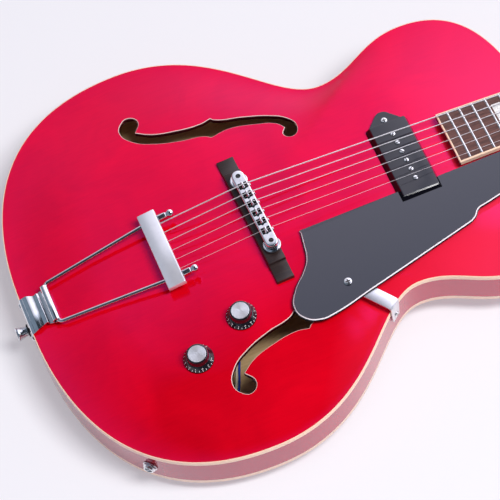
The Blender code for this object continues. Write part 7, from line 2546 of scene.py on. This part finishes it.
    def bushings(self) -> Draft:
        """Flanged rings round the posts on the head's face."""
        wood = NeckWood()
        made = Draft()
        for side in (1, -1):
            for index in range(3):
                x = wood.tuner_first + wood.tuner_pitch * index
                ring = ring_lathe([(self.post + 0.0002, -0.004), (wood.post_hole, -0.004), (wood.post_hole, 0.0),
                                   (0.0058, 0.0), (0.0056, 0.0007), (self.post + 0.0010, 0.0010),
                                   (self.post + 0.0002, 0.0008)], NICKEL, 40)
                made.join(ring.moved(Matrix.Translation((x, side * wood.post_y, 0.0))))
        return made

    def build(self) -> None:
        """Build both strips and the six tuners."""
        wood = NeckWood()
        post, button = self.post_draft(), self.button_draft()
        head = NECK.head_matrix
        for side, name in ((1, "bass"), (-1, "treble")):
            dress("tuner_strip_" + name, self.strip_draft(side).moved(head), "tuner_plate_" + name)
            for index in range(3):
                number = 6 - index if side > 0 else 1 + index
                x = wood.tuner_first + wood.tuner_pitch * index
                at = Matrix.Translation((x, side * wood.post_y, 0.0))
                dress("tuning_post_%d" % number, post.moved(head @ at), "tuner_post_%d" % number)
                lay = (Matrix.Translation((x - self.worm_x, side * wood.post_y, self.gear_mid))
                       @ Matrix.Rotation(-side * math.pi / 2.0, 4, "X"))
                dress("tuning_button_%d" % number, button.moved(head @ lay), "tuner_button_%d" % number)
        dress("tuner_bushings", self.bushings().moved(head), beside="tuner_plate_bass")
        self.build_cover()

    def build_cover(self) -> None:
        """The small cover behind the nut with its three screws."""
        half, length, thick = 0.0115, 0.034, 0.0018
        anchors = (("tip", 0.001, -half), ("smooth", 0.45 * length, -0.80 * half),
                   ("smooth", 0.86 * length, -0.34 * half), ("smooth", length, 0.0),
                   ("smooth", 0.86 * length, 0.34 * half), ("smooth", 0.45 * length, 0.80 * half),
                   ("tip", 0.001, half))
        outline = smooth_anchors(anchors, 7)
        levels = ((0.0, 0.0, WHITE_PLY), (0.0, 0.0006, WHITE_PLY), (0.0005, 0.0010, BLACK), (0.0010, thick, BLACK))
        rings = [[(x, y, z + 0.0001) for x, y in moved_in(outline, inset)] for inset, z, _ in levels]
        cover = Draft()
        for index in range(3):
            cover.join(wall(rings[index:index + 2], levels[index + 1][2]))
        cover.add(rings[-1], [range(len(outline))], BLACK).add(rings[0], [range(len(outline))[::-1]], BLACK)
        for x, y in ((0.0045, 0.0075), (0.0045, -0.0075), (0.0285, 0.0)):
            head = screw_head(0.0017, 0.0007, 0.0004, NICKEL, cross=True)
            cover.join(head.moved(Matrix.Translation((x, y, thick + 0.0001))))
        dress("truss_cover", cover.moved(NECK.head_matrix), "truss_rod_cover")


@dataclass
class Wiring:
    """Two insulated wires from the pickup to the volume control and on to the jack."""

    radius: float = 0.0011
    apart: float = 0.0012
    route: Sequence[Point] = (
        (0.1180, -0.0280, -0.0180), (0.0860, -0.0420, -0.0260), (0.0440, -0.0560, -0.0300),
        (0.0020, -0.0680, -0.0290), (-0.0300, -0.0740, -0.0260), (-0.0570, -0.0900, -0.0280),
        (-0.0655, -0.1056, -0.0300), (-0.0763, -0.1310, -0.0300), (-0.0850, -0.1390, -0.0310),
        (-0.0980, -0.1390, -0.0310), (-0.1200, -0.1310, -0.0260))

    def build(self) -> None:
        """Build both wires as one piece."""
        jack = OutputJack()
        at = jack.matrix @ Vector((0.0, 0.0, -jack.inside - 0.0003))
        before = jack.matrix @ Vector((0.0, 0.0, -jack.inside - 0.0123))
        start = Pickup().matrix.translation + Vector((-0.010, -0.024, -0.0166))
        line = smooth_route([start, *self.route, before, at], 8)
        made = Draft()
        for side, jacket in zip((-1.0, 1.0), WIRE_JACKETS):
            run = []
            for index, point in enumerate(line):
                ahead, behind = line[min(index + 1, len(line) - 1)], line[max(index - 1, 0)]
                along = (ahead - behind).normalized()
                across = along.cross(Vector((0.0, 0.0, 1.0))).normalized()
                run.append(point + across * side * self.apart)
            made.join(tube(run, self.radius, jacket, 10))
        dress("pickup_wires", made, "wiring_loom")


# Studio

@dataclass
class Studio:
    """Camera, lights and floor."""

    focal_pixels: float = 2505.73
    frame_pixels: float = 500.0
    camera_place: Point = (-0.23945, -1.11280, 1.96670)
    right: Point = (0.92228468, -0.37272082, -0.10232375)
    down: Point = (-0.37366460, -0.79213065, -0.48260107)
    forward: Point = (0.09882169, 0.48333034, -0.86984255)
    floor_color: Color = (0.90, 0.90, 0.93)
    floor_glow: Color = (0.93, 0.93, 0.955)
    slate: Color = (0.58, 0.76, 1.0)
    shade: Color = (0.82, 0.72, 1.0)
    white: Color = (0.95, 0.94, 1.10)
    glow_share: float = 0.38
    dim: float = 0.06
    dim_tail: float = 0.28
    panel: float = 0.75
    panel_head: float = 1.20
    ambient: float = 0.30

    def camera(self) -> None:
        """Stand the camera where the photograph was taken from."""
        data = bpy.data.cameras.new("camera")
        data.sensor_width = 36.0
        data.lens = self.focal_pixels / self.frame_pixels * data.sensor_width
        data.clip_start = 0.05
        data.clip_end = 50.0
        camera = bpy.data.objects.new("camera", data)
        bpy.context.scene.collection.objects.link(camera)
        axes = Matrix((self.right, -Vector(self.down), -Vector(self.forward))).transposed()
        turn = axes.to_4x4()
        camera.matrix_world = FRAME.matrix @ Matrix.Translation(self.camera_place) @ turn
        bpy.context.scene.camera = camera

    def lamp(self, name: str, place: Point, aim: Point, size: Point, power: float,
             roll: float = 0.0, shows: bool = True) -> None:
        """Hang one soft box.

        Args:
            name: The lamp's name.
            place: Where it hangs.
            aim: The point it faces.
            size: Its width and height.
            power: Its power in watts.
            roll: Its turn about its own axis.
            shows: Whether gloss mirrors it.
        """
        data = bpy.data.lights.new(name, "AREA")
        data.shape = "RECTANGLE"
        data.size, data.size_y = size
        data.energy = power
        lamp = bpy.data.objects.new(name, data)
        bpy.context.scene.collection.objects.link(lamp)
        lamp.location = place
        turn = (Vector(aim) - Vector(place)).to_track_quat("-Z", "Y").to_matrix().to_4x4()
        lamp.rotation_euler = (turn @ Matrix.Rotation(roll, 4, "Z")).to_euler()
        lamp.visible_glossy = shows

    def floor(self) -> None:
        """Lay the pale floor under everything."""
        half = 30.0
        mesh = bpy.data.meshes.new("floor")
        mesh.from_pydata([(-half, -half, 0.0), (half, -half, 0.0), (half, half, 0.0), (-half, half, 0.0)],
                         [], [(0, 1, 2, 3)])
        item = bpy.data.objects.new("floor", mesh)
        bpy.context.scene.collection.objects.link(item)
        shader = Shader("floor_white")
        shader.finish(Base_Color=self.floor_color, Roughness=0.9, Specular_IOR_Level=0.1)
        path = shader.node("ShaderNodeLightPath")
        seen = Value(shader, path.outputs["Is Camera Ray"]) + Value(shader, path.outputs["Is Glossy Ray"])
        glow = shader.node("ShaderNodeEmission", None, {"Color": self.floor_glow, "Strength": 1.0})
        mix = shader.node("ShaderNodeMixShader", None, {0: seen.ramp(0.0, 1.0) * self.glow_share})
        shader.feed(mix.inputs[1], shader.surface.outputs[0])
        shader.feed(mix.inputs[2], glow.outputs[0])
        shader.feed(shader.tree.nodes["Material Output"].inputs[0], mix.outputs[0])
        mesh.materials.append(shader.material)

    def world(self) -> None:
        """Surround it with a dim sky and one broad soft panel over the bass side."""
        world = bpy.data.worlds.new("studio")
        bpy.context.scene.world = world
        world.use_nodes = True
        sky = Nodes(world.node_tree)
        background = world.node_tree.nodes["Background"]
        way = sky.node("ShaderNodeTexCoord").outputs["Generated"]
        along, across = sky.part(way, 0), sky.part(way, 1)
        panel = along.ramp(-0.42, -0.12) * (across + along.ramp(0.27, 0.50) * 0.8).ramp(0.30, 0.46)
        path = sky.node("ShaderNodeLightPath")
        seen = Value(sky, path.outputs["Is Camera Ray"])
        gloss = Value(sky, path.outputs["Is Glossy Ray"])
        mirror = sky.blend(gloss, self.shade, sky.blend(panel, self.slate, self.white))
        sky.feed(background.inputs["Color"], sky.blend(seen, mirror, self.floor_glow))
        far = (along * -1.0).ramp(0.30, 0.50) * self.dim_tail
        mirrored = self.dim + far + panel * (self.panel + self.panel_head * along.ramp(0.0, 0.45))
        soft = self.ambient * (1.0 - across * 0.6)
        level = soft + gloss * (mirrored - soft)
        sky.feed(background.inputs["Strength"], level + seen * (1.0 - level))

    def build(self) -> None:
        """Set up the whole studio."""
        bpy.context.scene.view_settings.view_transform = "Standard"
        self.camera()
        self.floor()
        self.world()
        self.lamp("main_box", (1.15, -1.05, 3.20), (0.0, 0.0, 0.0), (0.9, 1.8), 112.0, 0.42, False)
        self.lamp("hood_box", (0.58, -0.56, 1.42), (0.2, 0.0, 0.07), (0.12, 0.08), 0.6)
        LOG.info("studio ready")


def dress_packed_nodes() -> None:
    """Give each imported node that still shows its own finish."""
    slots = {row["node"]: row["material_slot"] for row in frame["record"]["subparts"]}
    for name, item in frame["nodes"].items():
        if item.hide_render:
            continue
        item.data.materials.clear()
        item.data.materials.append(CAD_FINISHES[slots[name]].material)
        LOG.info("dressed packed node %s", name)


def main() -> None:
    """Build the studio and dress the guitar."""
    logging.basicConfig(level=logging.INFO, format="%(name)s: %(message)s")
    Studio().build()
    for part in (Shell(), OutputJack(), NeckWood(), Fingerboard(), BRIDGE, TAIL, StringRuns(), StrapButton(),
                 Pickup(), Pickguard(), Controls(), Tuners(), Wiring()):
        part.build()
    dress_packed_nodes()


if __name__ == "__main__":
    main()
